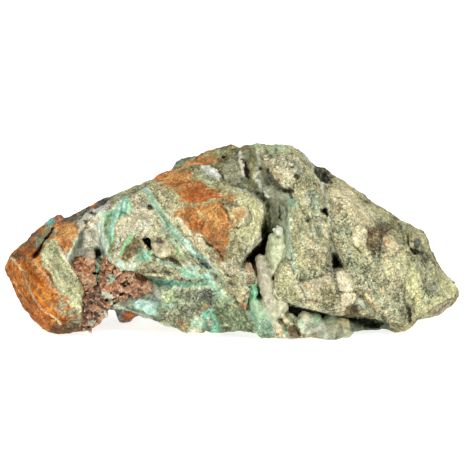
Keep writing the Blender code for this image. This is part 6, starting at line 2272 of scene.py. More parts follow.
# Washes over whole features: (outline, what the colour is multiplied by). Some are painted shade and
# one is painted light, as marked.
WASHES = [
    ([(333, 196), (352, 204), (362, 226), (358, 250), (344, 252), (334, 236)],
     (1.18, 1.17, 1.17)),
    ([(410, 262), (430, 262), (456, 284), (456, 300), (430, 304), (412, 300)],
     (1.15, 1.18, 1.14)),
    ([(290, 214), (306, 230), (330, 246), (331, 268), (336, 304), (300, 304),
      (276, 290), (286, 262)], (1.04, 1.04, 1.05)),
    # darker and more olive on the crest's grey chalcedony: partly its olive colour, partly painted
    # shade
    ([(219, 158), (240, 152), (243, 182), (230, 187), (219, 178)], (0.74, 0.70, 0.62)),
    # painted shade: the slot beside the big clast, darkened
    ([(264, 196), (285, 198), (287, 232), (276, 238), (264, 238)], (0.48, 0.48, 0.42)),
    ([(178, 168), (196, 156), (218, 146), (220, 162), (198, 168)], (1.30, 1.38, 1.22)),
    ([(46, 240), (56, 236), (82, 280), (82, 306), (60, 292), (44, 264)],
     (0.91, 0.94, 0.94)),
    ([(56, 228), (76, 222), (78, 232), (68, 258), (56, 244)], (1.02, 1.18, 1.14)),
    ([(178, 288), (212, 286), (216, 304), (196, 306), (180, 302)], (1.10, 1.14, 1.22)),
    # painted light: the cream wall of the left vug under the overhang, brightened
    ([(84, 229), (90, 224), (99, 227), (98, 244), (84, 246)], (1.42, 1.40, 1.36)),
    ([(246, 300), (266, 306), (276, 336), (256, 337)], (0.80, 0.81, 0.87)),
    ([(262, 156), (285, 153), (300, 160), (302, 176), (292, 190), (276, 182)],
     (0.88, 0.91, 0.90)),
    ([(174, 210), (206, 202), (222, 198), (238, 220), (228, 244), (216, 254),
      (198, 232)], (1.02, 1.10, 0.92)),
    ([(102, 214), (112, 212), (112, 256), (106, 258)], (0.92, 0.99, 0.86)),
    ([(154, 178), (190, 168), (238, 198), (200, 204), (178, 203)], (1.12, 1.22, 1.06)),
    ([(160, 287), (212, 286), (216, 304), (204, 330), (176, 332), (160, 320)],
     (1.14, 1.20, 1.24)),
    ([(214, 300), (246, 304), (252, 332), (216, 332)], (1.12, 1.06, 1.00)),
    ([(146, 192), (156, 196), (186, 238), (178, 246), (156, 214)], (0.84, 0.83, 0.74)),
    ([(176, 216), (196, 230), (210, 250), (198, 252), (180, 236)], (1.06, 1.04, 1.02)),
    ([(120, 206), (154, 208), (158, 232), (122, 236)], (0.90, 0.94, 0.94)),
]

# Fine parallel banding: (outline, slant in degrees, spacing in sheet units,
# how strong in colour, height in mm).
COMBS = [
    ([(46, 238), (56, 234), (70, 258), (80, 280), (84, 306), (78, 320),
      (58, 300), (42, 266)], 56, 1.9, 0.26, 0.12),
    ([(6, 262), (30, 256), (44, 262), (64, 296), (66, 320), (50, 332),
      (24, 308)], 53, 3.2, 0.20, 0.06),
    ([(56, 228), (76, 222), (78, 232), (68, 258)], 62, 3.0, 0.18, 0.05),
    ([(62, 222), (108, 192), (150, 178), (152, 186), (112, 202), (72, 222)],
     -32, 2.6, 0.30, 0.12),
    ([(100, 214), (130, 196), (130, 214), (118, 224), (114, 262), (102, 256)],
     102, 2.2, 0.28, 0.08),
    ([(144, 188), (154, 192), (196, 246), (214, 268), (202, 270), (160, 222)],
     52, 2.2, 0.30, 0.08),
    ([(156, 222), (164, 220), (200, 264), (190, 274), (170, 258)], 54, 2.4,
     0.32, 0.10),
    ([(138, 262), (170, 260), (182, 268), (182, 280), (146, 279)], 8, 2.4,
     0.32, 0.12),
    ([(112, 300), (160, 296), (166, 322), (120, 314)], 22, 3.4, 0.18, 0.05),
    ([(200, 272), (216, 272), (256, 320), (256, 334), (206, 334), (204, 300)],
     56, 3.0, 0.26, 0.10),
    ([(246, 300), (276, 300), (286, 338), (256, 338)], 66, 2.6, 0.28, 0.10),
    ([(216, 150), (258, 144), (264, 190), (254, 196), (222, 180)], 84, 2.6,
     0.26, 0.10),
    ([(256, 176), (270, 174), (280, 200), (286, 236), (276, 238), (262, 200)],
     78, 2.6, 0.16, 0.06),
    ([(284, 206), (292, 210), (298, 272), (288, 262)], 84, 2.4, 0.18, 0.06),
    ([(304, 156), (312, 160), (330, 196), (334, 250), (326, 236), (316, 184)],
     72, 2.2, 0.26, 0.08),
    ([(304, 190), (320, 190), (326, 214), (322, 240), (312, 238), (306, 206)],
     76, 2.6, 0.26, 0.10),
    ([(350, 282), (362, 290), (396, 326), (396, 334), (384, 330)], 50, 2.6,
     0.24, 0.10),
    ([(366, 226), (394, 224), (384, 258), (370, 260)], 84, 2.2, 0.30, 0.12),
    ([(404, 256), (432, 258), (440, 300), (420, 316), (408, 300)], 70, 3.4,
     0.20, 0.16),
]


# ---- painting -----------------------------------------------------------------
def linear(rgb):
    c = np.asarray(rgb, float) / 255
    return np.where(c <= 0.04045, c / 12.92, ((c + 0.055) / 1.055) ** 2.4).astype(F)


SHADES = {name: (linear(a), linear(b)) for name, (a, b) in PALETTE.items()}
TOWARDS = np.array([0.0, -COS, SIN], F)   # from the rock to the viewer


def shape_distance(kind, shape, u, v, width):
    if kind in ("zone", "area"):
        return polygon_distance(u, v, shape)
    if kind == "line":
        return line_distance(u, v, shape) - F(width / 2)
    cu, cv, ru, rv, turn = shape
    c, s = math.cos(math.radians(turn)), math.sin(math.radians(turn))
    x, y = u - F(cu), v - F(cv)
    a = (x * F(c) + y * F(s)) / F(ru)
    b = (y * F(c) - x * F(s)) / F(rv)
    return (np.sqrt(a * a + b * b) - 1) * F(min(ru, rv))


class Coat:
    """The colours and finish of a set of surface points."""

    def __init__(self, points, normals, base):
        p = points.astype(F)
        self.points, self.normals = p, normals.astype(F)
        self.u, self.v, self.h = sheet(p[:, 0], p[:, 1], p[:, 2])
        self.front = ramp(self.normals @ TOWARDS, -0.16, 0.10)
        self.warp_u = 1.5 * Noise(21)(p, 2.4) + 0.8 * Noise(22)(p, 0.9)
        self.warp_v = 1.5 * Noise(23)(p, 2.4) + 0.8 * Noise(24)(p, 0.9)
        self.blend = ramp(fractal(31, p, 2.2, 4, 0.7), -0.75, 0.75)
        self.torn = fractal(37, p, 1.6, 3, 0.7)
        self.patch = fractal(43, p, 1.0, 2, 0.7)
        light, dark = SHADES[base]
        self.tint = light + (dark - light) * self.blend[:, None]
        n = len(p)
        self.gloss = np.zeros(n, F)
        self.dark = np.full(n, 0.5, F)
        self.pale = np.full(n, 0.4, F)
        self.height = np.zeros(n, F)
        self.order = np.argsort(self.u, kind="stable")
        self.sorted_u = self.u[self.order]

    def lay(self, at, m, colour, options):
        o = F(options.get("o", 1.0))
        m = m * o
        light, dark = SHADES[colour]
        shade = light + (dark - light) * self.blend[at][:, None]
        self.tint[at] += (shade - self.tint[at]) * m[:, None]
        self.gloss[at] += (F(options.get("g", 0.0)) - self.gloss[at]) * m
        options = dict(options)
        if colour.startswith("rust") or options.get("g", 0) > 0.3:
            options.setdefault("p", 0.05)
            options.setdefault("k", 0.15)
        if "k" in options:
            self.dark[at] += (F(options["k"]) - self.dark[at]) * m
        if "p" in options:
            self.pale[at] += (F(options["p"]) - self.pale[at]) * m
        if "r" in options:
            self.height[at] += F(options["r"]) * m * self.front[at]

    def paint(self, row):
        kind, shape, *rest = row
        width = rest.pop(0) if kind == "line" else 0.0
        colour, options = rest
        if kind == "spot":
            us = (shape[0] - max(shape[2:4]), shape[0] + max(shape[2:4]))
            vs = (shape[1] - max(shape[2:4]), shape[1] + max(shape[2:4]))
        else:
            us = [q[0] for q in shape]
            vs = [q[1] for q in shape]
        pad = 7 + width / 2
        i, j = np.searchsorted(self.sorted_u, (min(us) - pad, max(us) + pad))
        at = self.order[i:j]
        at = at[(self.v[at] > min(vs) - pad) & (self.v[at] < max(vs) + pad)]
        if kind != "zone":
            at = at[self.front[at] > 0.01]
        if not len(at):
            return
        w = F(options.get("w", 1.0) * (0.55 if kind in ("line", "spot") else 1.0))
        d = shape_distance(kind, shape, self.u[at] + w * self.warp_u[at],
                           self.v[at] + w * self.warp_v[at], width)
        n = F(options.get("n", 0.0))
        d = d + n * 3.0 * self.torn[at]
        s = F(options.get("s", 1.0))
        m = ramp(-d, -s, s)
        if n > 0:
            m = m * (1 - 0.8 * n * ramp(self.patch[at], -0.1, 0.7))
        if kind != "zone":
            m = m * self.front[at]
        self.lay(at, m, colour, options)

    def comb(self, number, shape, slant, spacing, strength, height):
        """Fine parallel banding inside an outline of the front view."""
        d = polygon_distance(self.u + self.warp_u, self.v + self.warp_v, shape)
        m = ramp(-d, -2.0, 2.0) * self.front
        at = np.nonzero(m > 0.01)[0]
        c, s = math.cos(math.radians(slant)), math.sin(math.radians(slant))
        u = self.u[at] + F(0.3) * self.warp_u[at]
        v = self.v[at] + F(0.3) * self.warp_v[at]
        q = np.stack([(u * F(s) - v * F(c)) / F(spacing),
                      (u * F(c) + v * F(s)) / F(spacing * 11),
                      self.h[at] / F(spacing * 2)], 1)
        n = 0.75 * Noise(700 + number)(q, 1.0) + 0.4 * Noise(740 + number)(q, 0.55)
        n = np.clip(n * 1.5, -1, 1) * m[at]
        self.tint[at] *= (1 + F(strength) * n)[:, None]
        self.height[at] += F(height) * n

    def wash(self, shape, factor):
        """Deepens or lightens one feature of the front view; some washes are painted shade and one is
        painted light.
        """
        d = polygon_distance(self.u + self.warp_u, self.v + self.warp_v, shape)
        m = ramp(-d, -2.5, 2.5) * self.front
        self.tint *= 1 + m[:, None] * (np.array(factor, F) - 1)

    def mottle(self, seed, scale, low, high, colour, options):
        """A patchy wash over the dull rock on every side."""
        n = fractal(seed, self.points, scale, 4, 0.65)
        m = ramp(n, low, high) * (1 - ramp(self.gloss, 0.1, 0.35))
        redness = self.tint[:, 0] / (self.tint[:, 2] + F(0.02))
        self.lay(slice(None), m * (1 - 0.85 * ramp(redness, 3.0, 6.0)), colour, options)

    def veil(self, seed, scale, low, high, colour, options, stretch=None, line=False):
        """A patch of colour on what the front view doesn't show."""
        n = fractal(seed, self.points, scale, 3, 0.6, stretch)
        m = 1 - ramp(np.abs(n), low, high) if line else ramp(n, low, high)
        m = m * (1 - self.front)
        if line:
            m = m * ramp(Noise(seed + 9)(self.points, 11.0), 0.0, 0.35)
        self.lay(slice(None), m, colour, options)
        if "r" in options:
            self.height += F(options["r"]) * m


# ---- materials --------------------------------------------------------------------
class Nodes:
    """A short way to write shader nodes."""

    def __init__(self, name):
        self.material = bpy.data.materials.new(name)
        self.material.use_nodes = True
        self.tree = self.material.node_tree
        self.shader = self.tree.nodes["Principled BSDF"]
        self.place = self.tree.nodes.new("ShaderNodeTexCoord").outputs["Object"]

    def link(self, a, b):
        if isinstance(a, (int, float)):
            b.default_value = a
        elif isinstance(a, tuple):
            b.default_value = a if len(a) == 4 else (*a, 1.0)
        else:
            self.tree.links.new(a, b)

    def math(self, kind, a, b=0.0, clamp=False):
        node = self.tree.nodes.new("ShaderNodeMath")
        node.operation = kind
        node.use_clamp = clamp
        self.link(a, node.inputs[0])
        self.link(b, node.inputs[1])
        return node.outputs[0]

    def turned(self, angles, stretch):
        """Object coordinates drawn out along their turned first axis."""
        node = self.tree.nodes.new("ShaderNodeMapping")
        node.vector_type = "TEXTURE"
        self.link(self.place, node.inputs["Vector"])
        node.inputs["Rotation"].default_value = angles
        node.inputs["Scale"].default_value = stretch
        return node.outputs[0]

    def noise(self, scale, detail=3.0, rough=0.6, twist=0.0, shift=None, place=None):
        node = self.tree.nodes.new("ShaderNodeTexNoise")
        node.inputs["Scale"].default_value = scale
        node.inputs["Detail"].default_value = detail
        node.inputs["Roughness"].default_value = rough
        node.inputs["Distortion"].default_value = twist
        where = self.place if place is None else place
        if shift is not None:
            move = self.tree.nodes.new("ShaderNodeVectorMath")
            move.operation = "ADD"
            self.link(where, move.inputs[0])
            move.inputs[1].default_value = shift
            where = move.outputs[0]
        self.link(where, node.inputs["Vector"])
        return node.outputs["Fac"]

    def cells(self, scale, output="Distance"):
        node = self.tree.nodes.new("ShaderNodeTexVoronoi")
        node.inputs["Scale"].default_value = scale
        self.link(self.place, node.inputs["Vector"])
        return node.outputs[output]

    def step(self, value, low, high):
        node = self.tree.nodes.new("ShaderNodeMapRange")
        node.interpolation_type = "SMOOTHSTEP"
        self.link(value, node.inputs["Value"])
        node.inputs["From Min"].default_value = low
        node.inputs["From Max"].default_value = high
        return node.outputs[0]

    def span(self, value, low, high, to_low, to_high):
        node = self.tree.nodes.new("ShaderNodeMapRange")
        self.link(value, node.inputs["Value"])
        for key, number in (("From Min", low), ("From Max", high),
                            ("To Min", to_low), ("To Max", to_high)):
            node.inputs[key].default_value = number
        return node.outputs[0]

    def mix(self, factor, a, b, kind="MIX"):
        node = self.tree.nodes.new("ShaderNodeMix")
        node.data_type = "RGBA"
        node.blend_type = kind
        self.link(factor, node.inputs[0])
        self.link(a, node.inputs[6])
        self.link(b, node.inputs[7])
        return node.outputs[2]

    def attribute(self, name):
        node = self.tree.nodes.new("ShaderNodeAttribute")
        node.attribute_name = name
        return node.outputs["Color"]

    def parts(self, colour):
        node = self.tree.nodes.new("ShaderNodeSeparateColor")
        self.link(colour, node.inputs[0])
        return node.outputs

    def grey(self, value):
        node = self.tree.nodes.new("ShaderNodeCombineColor")
        for socket in node.inputs[:3]:
            self.link(value, socket)
        return node.outputs[0]

    def bump(self, height, strength, distance):
        node = self.tree.nodes.new("ShaderNodeBump")
        node.inputs["Distance"].default_value = distance
        self.link(strength, node.inputs["Strength"])
        self.link(height, node.inputs["Height"])
        self.link(node.outputs[0], self.shader.inputs["Normal"])


def rock_material():
    n = Nodes("speckled_rock")
    tint = n.attribute("tint")
    gloss, dark, pale = n.parts(n.attribute("mask"))[:3]
    dull = n.math("SUBTRACT", 1.0, gloss, clamp=True)
    along = n.turned((0.0, math.radians(52), 0.0), (2.6, 1.0, 1.0))

    broad = n.noise(430, 4.0, 0.65)
    streak = n.noise(900, 4.0, 0.7, place=along)
    fine = n.noise(2300, 3.0, 0.65, shift=(0.3, 0.1, 0.7))
    value = n.math("MULTIPLY", n.span(broad, 0.3, 0.7, 0.95, 1.05),
                   n.span(fine, 0.3, 0.7, 0.62, 1.38))
    value = n.math("MULTIPLY", value, n.span(streak, 0.3, 0.7, 0.76, 1.24))
    crisp = n.noise(1450, 2.0, 0.7, shift=(0.8, 0.6, 0.1))
    value = n.math("MULTIPLY", value, n.span(crisp, 0.3, 0.7, 0.64, 1.36))
    softer = n.math("ADD", n.math("MULTIPLY", value, n.span(gloss, 0, 1, 1.0, 0.5)),
                    n.span(gloss, 0, 1, 0.0, 0.5))
    colour = n.mix(1.0, tint, n.grey(softer), "MULTIPLY")

    grain = n.noise(1250, 2.0, 0.5, shift=(0.9, 0.4, 0.2))
    light = n.math("MULTIPLY", n.step(grain, 0.56, 0.66), pale)
    colour = n.mix(n.math("MULTIPLY", light, 0.75), colour, (0.78, 0.73, 0.50))
    warm = n.noise(900, 3.0, 0.6, shift=(0.2, 0.8, 0.5))
    colour = n.mix(n.math("MULTIPLY", n.math("MULTIPLY", n.step(warm, 0.64, 0.74), pale),
                          0.30), colour, (0.42, 0.24, 0.09))
    # dark olive dots, and thin dark lines that wander through some patches
    crowd = n.noise(120, 3.0, 0.6, shift=(0.7, 0.2, 0.3))
    crowd = n.span(crowd, 0.36, 0.64, -0.055, 0.055)
    crowd = n.math("ADD", crowd, n.span(dark, 0.2, 2.0, -0.030, 0.036))
    dots = n.math("ADD", n.noise(1350, 2.0, 0.55, twist=0.4), crowd)
    dots = n.step(dots, 0.560, 0.605)
    tiny = n.math("ADD", n.noise(2500, 2.0, 0.5, shift=(0.1, 0.9, 0.6)), crowd)
    tiny = n.step(tiny, 0.575, 0.625)
    wander = n.noise(430, 5.0, 0.70, twist=1.1, shift=(0.6, 0.2, 0.4), place=along)
    thin = n.math("ABSOLUTE", n.math("SUBTRACT", wander, 0.5))
    thin = n.math("SUBTRACT", 1.0, n.step(thin, 0.008, 0.034))
    where = n.step(n.noise(170, 3.0, 0.6, shift=(0.1, 0.5, 0.9)), 0.46, 0.60)
    lines = n.math("MULTIPLY", thin, where)
    marks = n.math("MAXIMUM", n.math("MULTIPLY", dots, 0.85),
                   n.math("MULTIPLY", lines, 0.90))
    marks = n.math("MAXIMUM", marks, n.math("MULTIPLY", tiny, 0.6))
    marks = n.math("MULTIPLY", marks, dark)
    colour = n.mix(marks, colour, (0.072, 0.080, 0.044))
    pits = n.cells(620)
    pit = n.math("MULTIPLY", n.math("SUBTRACT", 1.0, n.step(pits, 0.10, 0.24)), dark)
    colour = n.mix(n.math("MULTIPLY", pit, 0.6), colour, (0.05, 0.048, 0.03))
    n.link(colour, n.shader.inputs["Base Color"])

    rough = n.math("ADD", n.span(gloss, 0, 1, 0.86, 0.42),
                   n.span(fine, 0.3, 0.7, -0.06, 0.06))
    n.link(rough, n.shader.inputs["Roughness"])
    n.shader.inputs["Specular IOR Level"].default_value = 0.2
    relief = n.math("ADD", n.noise(1000, 4.0, 0.65), n.math("MULTIPLY", fine, 0.45))
    relief = n.math("ADD", relief, n.math("MULTIPLY", streak, 0.5))
    relief = n.math("SUBTRACT", relief, n.math("MULTIPLY", marks, 0.4))
    relief = n.math("SUBTRACT", relief, n.math("MULTIPLY", pit, 0.5))
    n.bump(relief, n.span(dull, 0, 1, 0.25, 0.9), 0.0004)
    return n.material


def growth_material(name, rough, subsurface, bump, scale):
    n = Nodes(name)
    tint = n.attribute("tint")
    broad = n.noise(500, 4.0, 0.6)
    fine = n.noise(scale, 3.0, 0.6, shift=(0.4, 0.9, 0.1))
    value = n.math("MULTIPLY", n.span(broad, 0.3, 0.7, 0.80, 1.18),
                   n.span(fine, 0.3, 0.7, 0.74, 1.26))
    colour = n.mix(1.0, tint, n.grey(value), "MULTIPLY")
    sugar = n.cells(scale * 0.7)
    colour = n.mix(n.math("MULTIPLY", n.math("SUBTRACT", 1.0, n.step(sugar, 0.10, 0.35)),
                          0.14), colour, (0.80, 0.74, 0.64))
    n.link(colour, n.shader.inputs["Base Color"])
    n.link(n.math("ADD", n.span(fine, 0.3, 0.7, -0.10, 0.10), rough),
           n.shader.inputs["Roughness"])
    n.shader.inputs["Specular IOR Level"].default_value = 0.5
    n.shader.inputs["Subsurface Weight"].default_value = subsurface
    n.shader.inputs["Subsurface Radius"].default_value = (1.0, 0.9, 0.75)
    n.shader.inputs["Subsurface Scale"].default_value = 0.0012
    n.bump(n.math("ADD", sugar, fine), bump, 0.00025)
    return n.material


# ---- floor, light and camera ----------------------------------------------------
def stage_and_camera():
    floor_mesh = bpy.data.meshes.new("floor")
    bm = bmesh.new()
    bmesh.ops.create_grid(bm, x_segments=1, y_segments=1, size=6.0)
    bm.to_mesh(floor_mesh)
    bm.free()
    floor = bpy.data.objects.new("floor", floor_mesh)
    floor.location = (0, 0, -0.0004)
    bpy.context.scene.collection.objects.link(floor)
    paper = bpy.data.materials.new("pale_floor")
    paper.use_nodes = True
    shader = paper.node_tree.nodes["Principled BSDF"]
    shader.inputs["Base Color"].default_value = (0.80, 0.80, 0.80, 1)
    shader.inputs["Roughness"].default_value = 0.9
    shader.inputs["Specular IOR Level"].default_value = 0.1
    shader.inputs["Emission Color"].default_value = (1, 1, 1, 1)
    shader.inputs["Emission Strength"].default_value = 0.78
    floor_mesh.materials.append(paper)

    world_light = bpy.data.worlds.new("soft_white")
    world_light.use_nodes = True
    back = world_light.node_tree.nodes["Background"]
    back.inputs["Color"].default_value = (1, 1, 1, 1)
    back.inputs["Strength"].default_value = 0.43
    bpy.context.scene.world = world_light

    def lamp(name, place, aim, size, watts, tint=(1, 1, 1)):
        light = bpy.data.lights.new(name, "AREA")
        light.shape = "RECTANGLE"
        light.size, light.size_y = size
        light.energy = watts
        light.color = tint
        made = bpy.data.objects.new(name, light)
        made.location = place
        way = Vector(aim) - Vector(place)
        made.rotation_euler = way.to_track_quat("-Z", "Y").to_euler()
        bpy.context.scene.collection.objects.link(made)

    lamp("key", (-0.08, -0.72, 0.86), (0, 0, 0.03), (0.8, 0.5), 8.4)
    lamp("fill", (0.6, -0.6, 0.35), (0, 0, 0.03), (0.5, 0.5), 1.9)

    camera_data = bpy.data.cameras.new("camera")
    camera_data.sensor_width = 36.0
    camera_data.lens = 36.0 * DISTANCE * PER_MM / 465
    camera_data.clip_start = 0.05
    camera_data.clip_end = 50.0
    camera = bpy.data.objects.new("camera", camera_data)
    spot = world(MIDDLE, MIDDLE, 0.0) + np.array([0, -DISTANCE * COS, DISTANCE * SIN])
    camera.location = spot * MM
    camera.rotation_euler = (math.radians(90) - TILT, 0, 0)
    bpy.context.scene.collection.objects.link(camera)
    scene = bpy.context.scene
    scene.camera = camera
    scene.view_settings.view_transform = "Standard"
    scene.view_settings.look = "None"
    scene.view_settings.exposure = 0.0
    scene.view_settings.gamma = 1.0


# ---- the pieces ---------------------------------------------------------------------
# What the front view doesn't show keeps the broad zones and gets these besides.
VEILS = [
    (301, 13.0, 0.15, 0.65, "lime_dull", dict(o=.8, k=.7, p=.6)),
    (302, 11.0, 0.25, 0.65, "grey_olive", dict(o=.85, k=.9, p=.5)),
    (303, 9.0, 0.45, 0.75, "rust", dict(o=.9, k=.35)),
    (304, 8.0, 0.55, 0.85, "cream", dict(o=.8, k=.4)),
    (305, 12.0, 0.55, 0.75, "chal_grey", dict(o=.85, g=.5, k=.2)),
    (306, 5.0, 0.65, 0.85, "olive_dark", dict(o=.7, k=.8)),
]
VEIL_VEINS = [
    (311, 19.0, 0.025, 0.06, "teal", dict(o=.9, g=.5, k=.1, r=.25)),
    (312, 15.0, 0.02, 0.045, "chal_pale", dict(o=.9, g=.5, k=.1, r=.2)),
    (313, 17.0, 0.012, 0.035, "rust_dark", dict(o=.6, r=-.25)),
]


# Mottling of the plain rock all round: as VEILS, but on the front too.
MOTTLES = [
    (321, 6.0, 0.25, 0.75, "grey_green", dict(o=.45, k=1.5)),
    (322, 4.5, 0.35, 0.75, "cream_pink", dict(o=.45, k=.5)),
    (323, 5.5, 0.35, 0.80, "olive", dict(o=.38, k=1.6)),
    (324, 3.2, 0.45, 0.80, "green_grey", dict(o=.40, k=1.7)),
    (325, 4.0, 0.50, 0.85, "lime", dict(o=.45, k=.2)),
    (326, 2.6, 0.60, 0.90, "ochre", dict(o=.40)),
]


def roughness_of(coat, points):
    """The small relief of the rock, in millimetres."""
    plain = 1 - 0.75 * coat.gloss
    grain, gap, who = grains(61, points, 1.7)
    small = (0.20 * Noise(71)(points, 2.9) + 0.15 * Noise(72)(points, 1.5)
             + 0.09 * Noise(73)(points, 0.8))
    chips = 0.16 * (who - 0.5) - 0.12 * ramp(0.12 - gap, 0, 0.12)
    # larger broken faces with a few open joints between them
    _, joint, face = grains(63, points + 0.8 * Noise(64)(points, 2.5)[:, None], 5.2)
    chips = chips + 0.42 * (face - 0.5) * ramp(joint, 0.0, 0.16)
    chips = chips + 0.30 * Noise(65)(points, 5.5)
    crack = ramp(0.055 - joint, 0, 0.055) * ramp(Noise(66)(points, 7.0), -0.05, 0.25)
    chips = chips - 0.28 * crack
    pits = -0.30 * ramp(0.30 - grain, 0, 0.16) * ramp(who, 0.55, 0.8) * coat.dark
    return plain * (small + chips + pits), who, gap, crack * plain


def cavity_of(points, quads, normals):
    """How far each point lies under its neighbours' mean, in millimetres."""
    near = ((relaxed(points, quads, 3) - points) * normals).sum(1)
    wide = ((relaxed(points, quads, 14) - points) * normals).sum(1)
    return near, wide


def build_rock():
    f, axes, front = rock_field()
    points, quads = surface_net(f, axes)
    del f
    points, quads = keep_largest(points, quads)
    normals = normals_of(points, quads)
    coat = Coat(points, normals, "beige")
    for row in PAINT:
        if row[0] == "zone":
            coat.paint(row)
    for seed, scale, low, high, colour, options in MOTTLES:
        coat.mottle(seed, scale, low, high, colour, options)
    for seed, scale, low, high, colour, options in VEILS:
        coat.veil(seed, scale, low, high, colour, options)
    for seed, scale, low, high, colour, options in VEIL_VEINS:
        coat.veil(seed, scale, low, high, colour, options, line=True)
    for row in PAINT:
        if row[0] != "zone":
            coat.paint(row)
    for number, row in enumerate(COMBS):
        coat.comb(number, *row)
    for shape, factor in WASHES:
        coat.wash(shape, factor)
    small, who, gap, crack = roughness_of(coat, points)
    lift = small + relaxed(coat.height, quads, 1)
    on_table = (points[:, 2] < CELL * 0.6) & (normals[:, 2] < -0.5)
    lift[on_table] = 0
    points = points + normals * lift[:, None]
    points[:, 2] = np.maximum(points[:, 2], 0)
    points[on_table, 2] = 0
    normals = normals_of(points, quads)

    near, wide = cavity_of(points, quads, normals)
    plain = (1 - 0.7 * coat.gloss)
    tone = 1 + plain * (0.12 * (who - 0.5) - 0.14 * ramp(0.10 - gap, 0, 0.10))
    # painted shade in hollows and creases, and a painted highlight on ridges and edges
    tone *= 1 - 0.45 * ramp(near, 0.03, 0.14) - 0.15 * ramp(wide, 0.10, 0.6)
    tone *= 1 + 0.14 * ramp(-near, 0.03, 0.14)
    redness = coat.tint[:, 0] / (coat.tint[:, 2] + F(0.02))
    tone *= 1 - 0.55 * crack * (1 - 0.6 * ramp(redness, 2.5, 5.0))
    tint = np.clip(coat.tint * tone[:, None].astype(F), 0, 0.92)
    mask = np.stack([coat.gloss, coat.dark, coat.pale], 1)
    return points, quads, normals, tint, mask, front


def split(points, quads, parts):
    """Shares the quads out to parts pieces from left to right."""
    middle = points[quads].mean(1)
    x = middle[:, 0] + 3.0 * Noise(91)(middle, 9.0) + 0.35 * middle[:, 2]
    edges = np.quantile(x, np.linspace(0, 1, parts + 1)[1:-1])
    return np.searchsorted(edges, x)


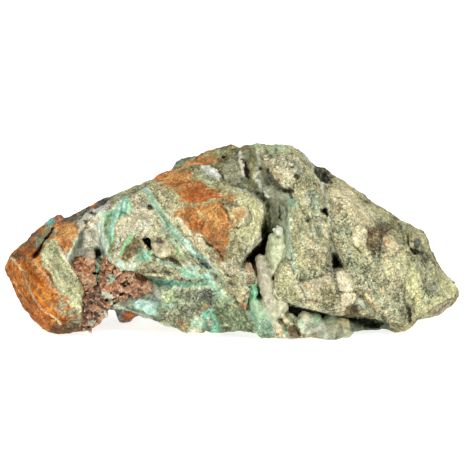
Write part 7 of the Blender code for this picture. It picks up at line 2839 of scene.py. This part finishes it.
def build_growth(balls, rods, hulls, front, blend, seed, sugar, lumps, tip, pit,
                 bright=1.0, depth=1.0, faceted=False):
    """Growths as one mesh: lumps is how uneven they are, sugar the size of the
    little facets, tip the colour of a painted highlight on their high places
    and pit the colour of painted shade in their low places."""
    f, axes, owner, names = growth_field(balls, rods, hulls, front, blend, faceted)
    f += lattice_noise(axes, 2.6, seed) * F(0.30 * lumps)
    f += lattice_noise(axes, 1.3, seed + 1) * F(0.20 * lumps)
    low = -axes[2].astype(F)[None, None, :]
    f = np.maximum(f, np.broadcast_to(low, f.shape))
    points, quads = surface_net(f, axes)
    points, quads = keep_largest(points, quads, least=150)
    normals = normals_of(points, quads)
    near = [np.clip(np.round((points[:, k] - axes[k][0]) / GROWTH_CELL).astype(int), 0,
                    len(axes[k]) - 1) for k in range(3)]
    own = owner[near[0], near[1], near[2]]
    light = np.array([SHADES[n][0] for n in names])[own]
    dark = np.array([SHADES[n][1] for n in names])[own]
    p = points.astype(F)
    grain, gap, who = grains(seed + 5, p, sugar)
    lift = (0.12 * lumps * Noise(seed + 6)(p, 1.1) + 0.07 * Noise(seed + 7)(p, 0.55)
            + (0.05 - 0.20 * grain) * min(1, 0.3 + lumps) + 0.10 * lumps * (who - 0.5))
    points = points + normals * (lift * (normals[:, 2] > -0.95))[:, None]
    points[:, 2] = np.maximum(points[:, 2], 0)
    normals = normals_of(points, quads)
    blendv = ramp(fractal(seed + 8, p, 1.4, 3, 0.7), -0.7, 0.7)
    tint = light + (dark - light) * blendv[:, None]
    tint = relaxed(tint, quads, 2)
    hollow = ((relaxed(points, quads, 3) - points) * normals).sum(1)
    wide = ((relaxed(points, quads, 12) - points) * normals).sum(1)
    # high and deep weigh the tip colour, a painted highlight on the bumps, and the pit colour, painted
    # shade in the hollows; bright and depth scale them
    high = 0.45 * ramp(-hollow, 0.01, 0.10) + 0.30 * ramp(-wide, 0.05, 0.35)
    deep = 0.45 * ramp(hollow, 0.015, 0.10) + 0.45 * ramp(wide, 0.04, 0.40)
    high = high * bright
    deep = np.minimum(deep * depth, 1)
    tint = tint + (linear(tip) - tint) * (high * (0.4 + 0.9 * who))[:, None].clip(0, 1)
    tint = tint + (linear(pit) - tint) * deep[:, None]
    tone = 1 + 0.22 * (who - 0.5)
    tint = np.clip(tint * tone[:, None], 0, 0.92).astype(F)
    mask = np.stack([blendv, grain, who], 1).astype(F)
    return points, quads, normals, tint, mask


def main():
    rock = rock_material()
    points, quads, normals, tint, mask, front = build_rock()
    names = ["rock_end_block", "rock_left", "rock_middle_left", "rock_middle",
             "rock_middle_right", "rock_right", "rock_tip"]
    share = split(points, quads, len(names))
    for number, name in enumerate(names):
        own = quads[share == number]
        used = np.unique(own)
        place = np.zeros(len(points), np.int64)
        place[used] = np.arange(len(used))
        piece = make_mesh(name, points[used], place[own], normals[used],
                          tint[used], mask[used])
        piece.data.materials.append(rock)
        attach(piece, "root")
        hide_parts("stone")
        print(name, len(own) * 2, "triangles")

    # tip and pit colours: painted highlight on the crystals' tops, painted shade between them
    druse = build_growth(sown_balls(), [], [(c, "druse") for c in DRUSE_CORES],
                         front, 0.30, 500, 0.8, 0.8, (216, 176, 134), (48, 28, 18),
                         bright=1.0, depth=1.6, faceted=True)
    piece = make_mesh("red_brown_druse", *druse)
    piece.data.materials.append(growth_material("druse_sugar", 0.42, 0.12, 0.55, 1900))
    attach(piece, "root")
    print("druse", len(druse[1]) * 2)

    # tip and pit colours: painted highlight on the knob's curve, painted shade where it meets the rock
    ball = build_growth([(59.3, 219.8, 4.6, 1.75, "knob"), (64, 223, None, 0.6, "druse_dark")],
                        [], [], front, 0.2, 540, 0.7, 0.0, (178, 122, 88), (84, 50, 36))
    piece = make_mesh("red_brown_knob", *ball)
    piece.data.materials.append(bpy.data.materials["druse_sugar"])
    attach(piece, "root")

    # tip and pit colours: painted highlight on the crystals' tops at half strength, painted shade
    # between them
    pale = build_growth(CRYSTAL_BALLS, CRYSTAL_RODS, CRYSTAL_HULLS, front, 0.8, 600, 1.3, 0.55,
                        (216, 216, 194), (112, 116, 88), bright=0.5)
    piece = make_mesh("chalcedony_growths", *pale)
    piece.data.materials.append(growth_material("chalcedony", 0.38, 0.30, 0.28, 1300))
    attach(piece, "root")
    print("chalcedony", len(pale[1]) * 2)


main()
stage_and_camera()
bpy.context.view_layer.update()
print("seconds", round(time.perf_counter() - STARTED, 1))
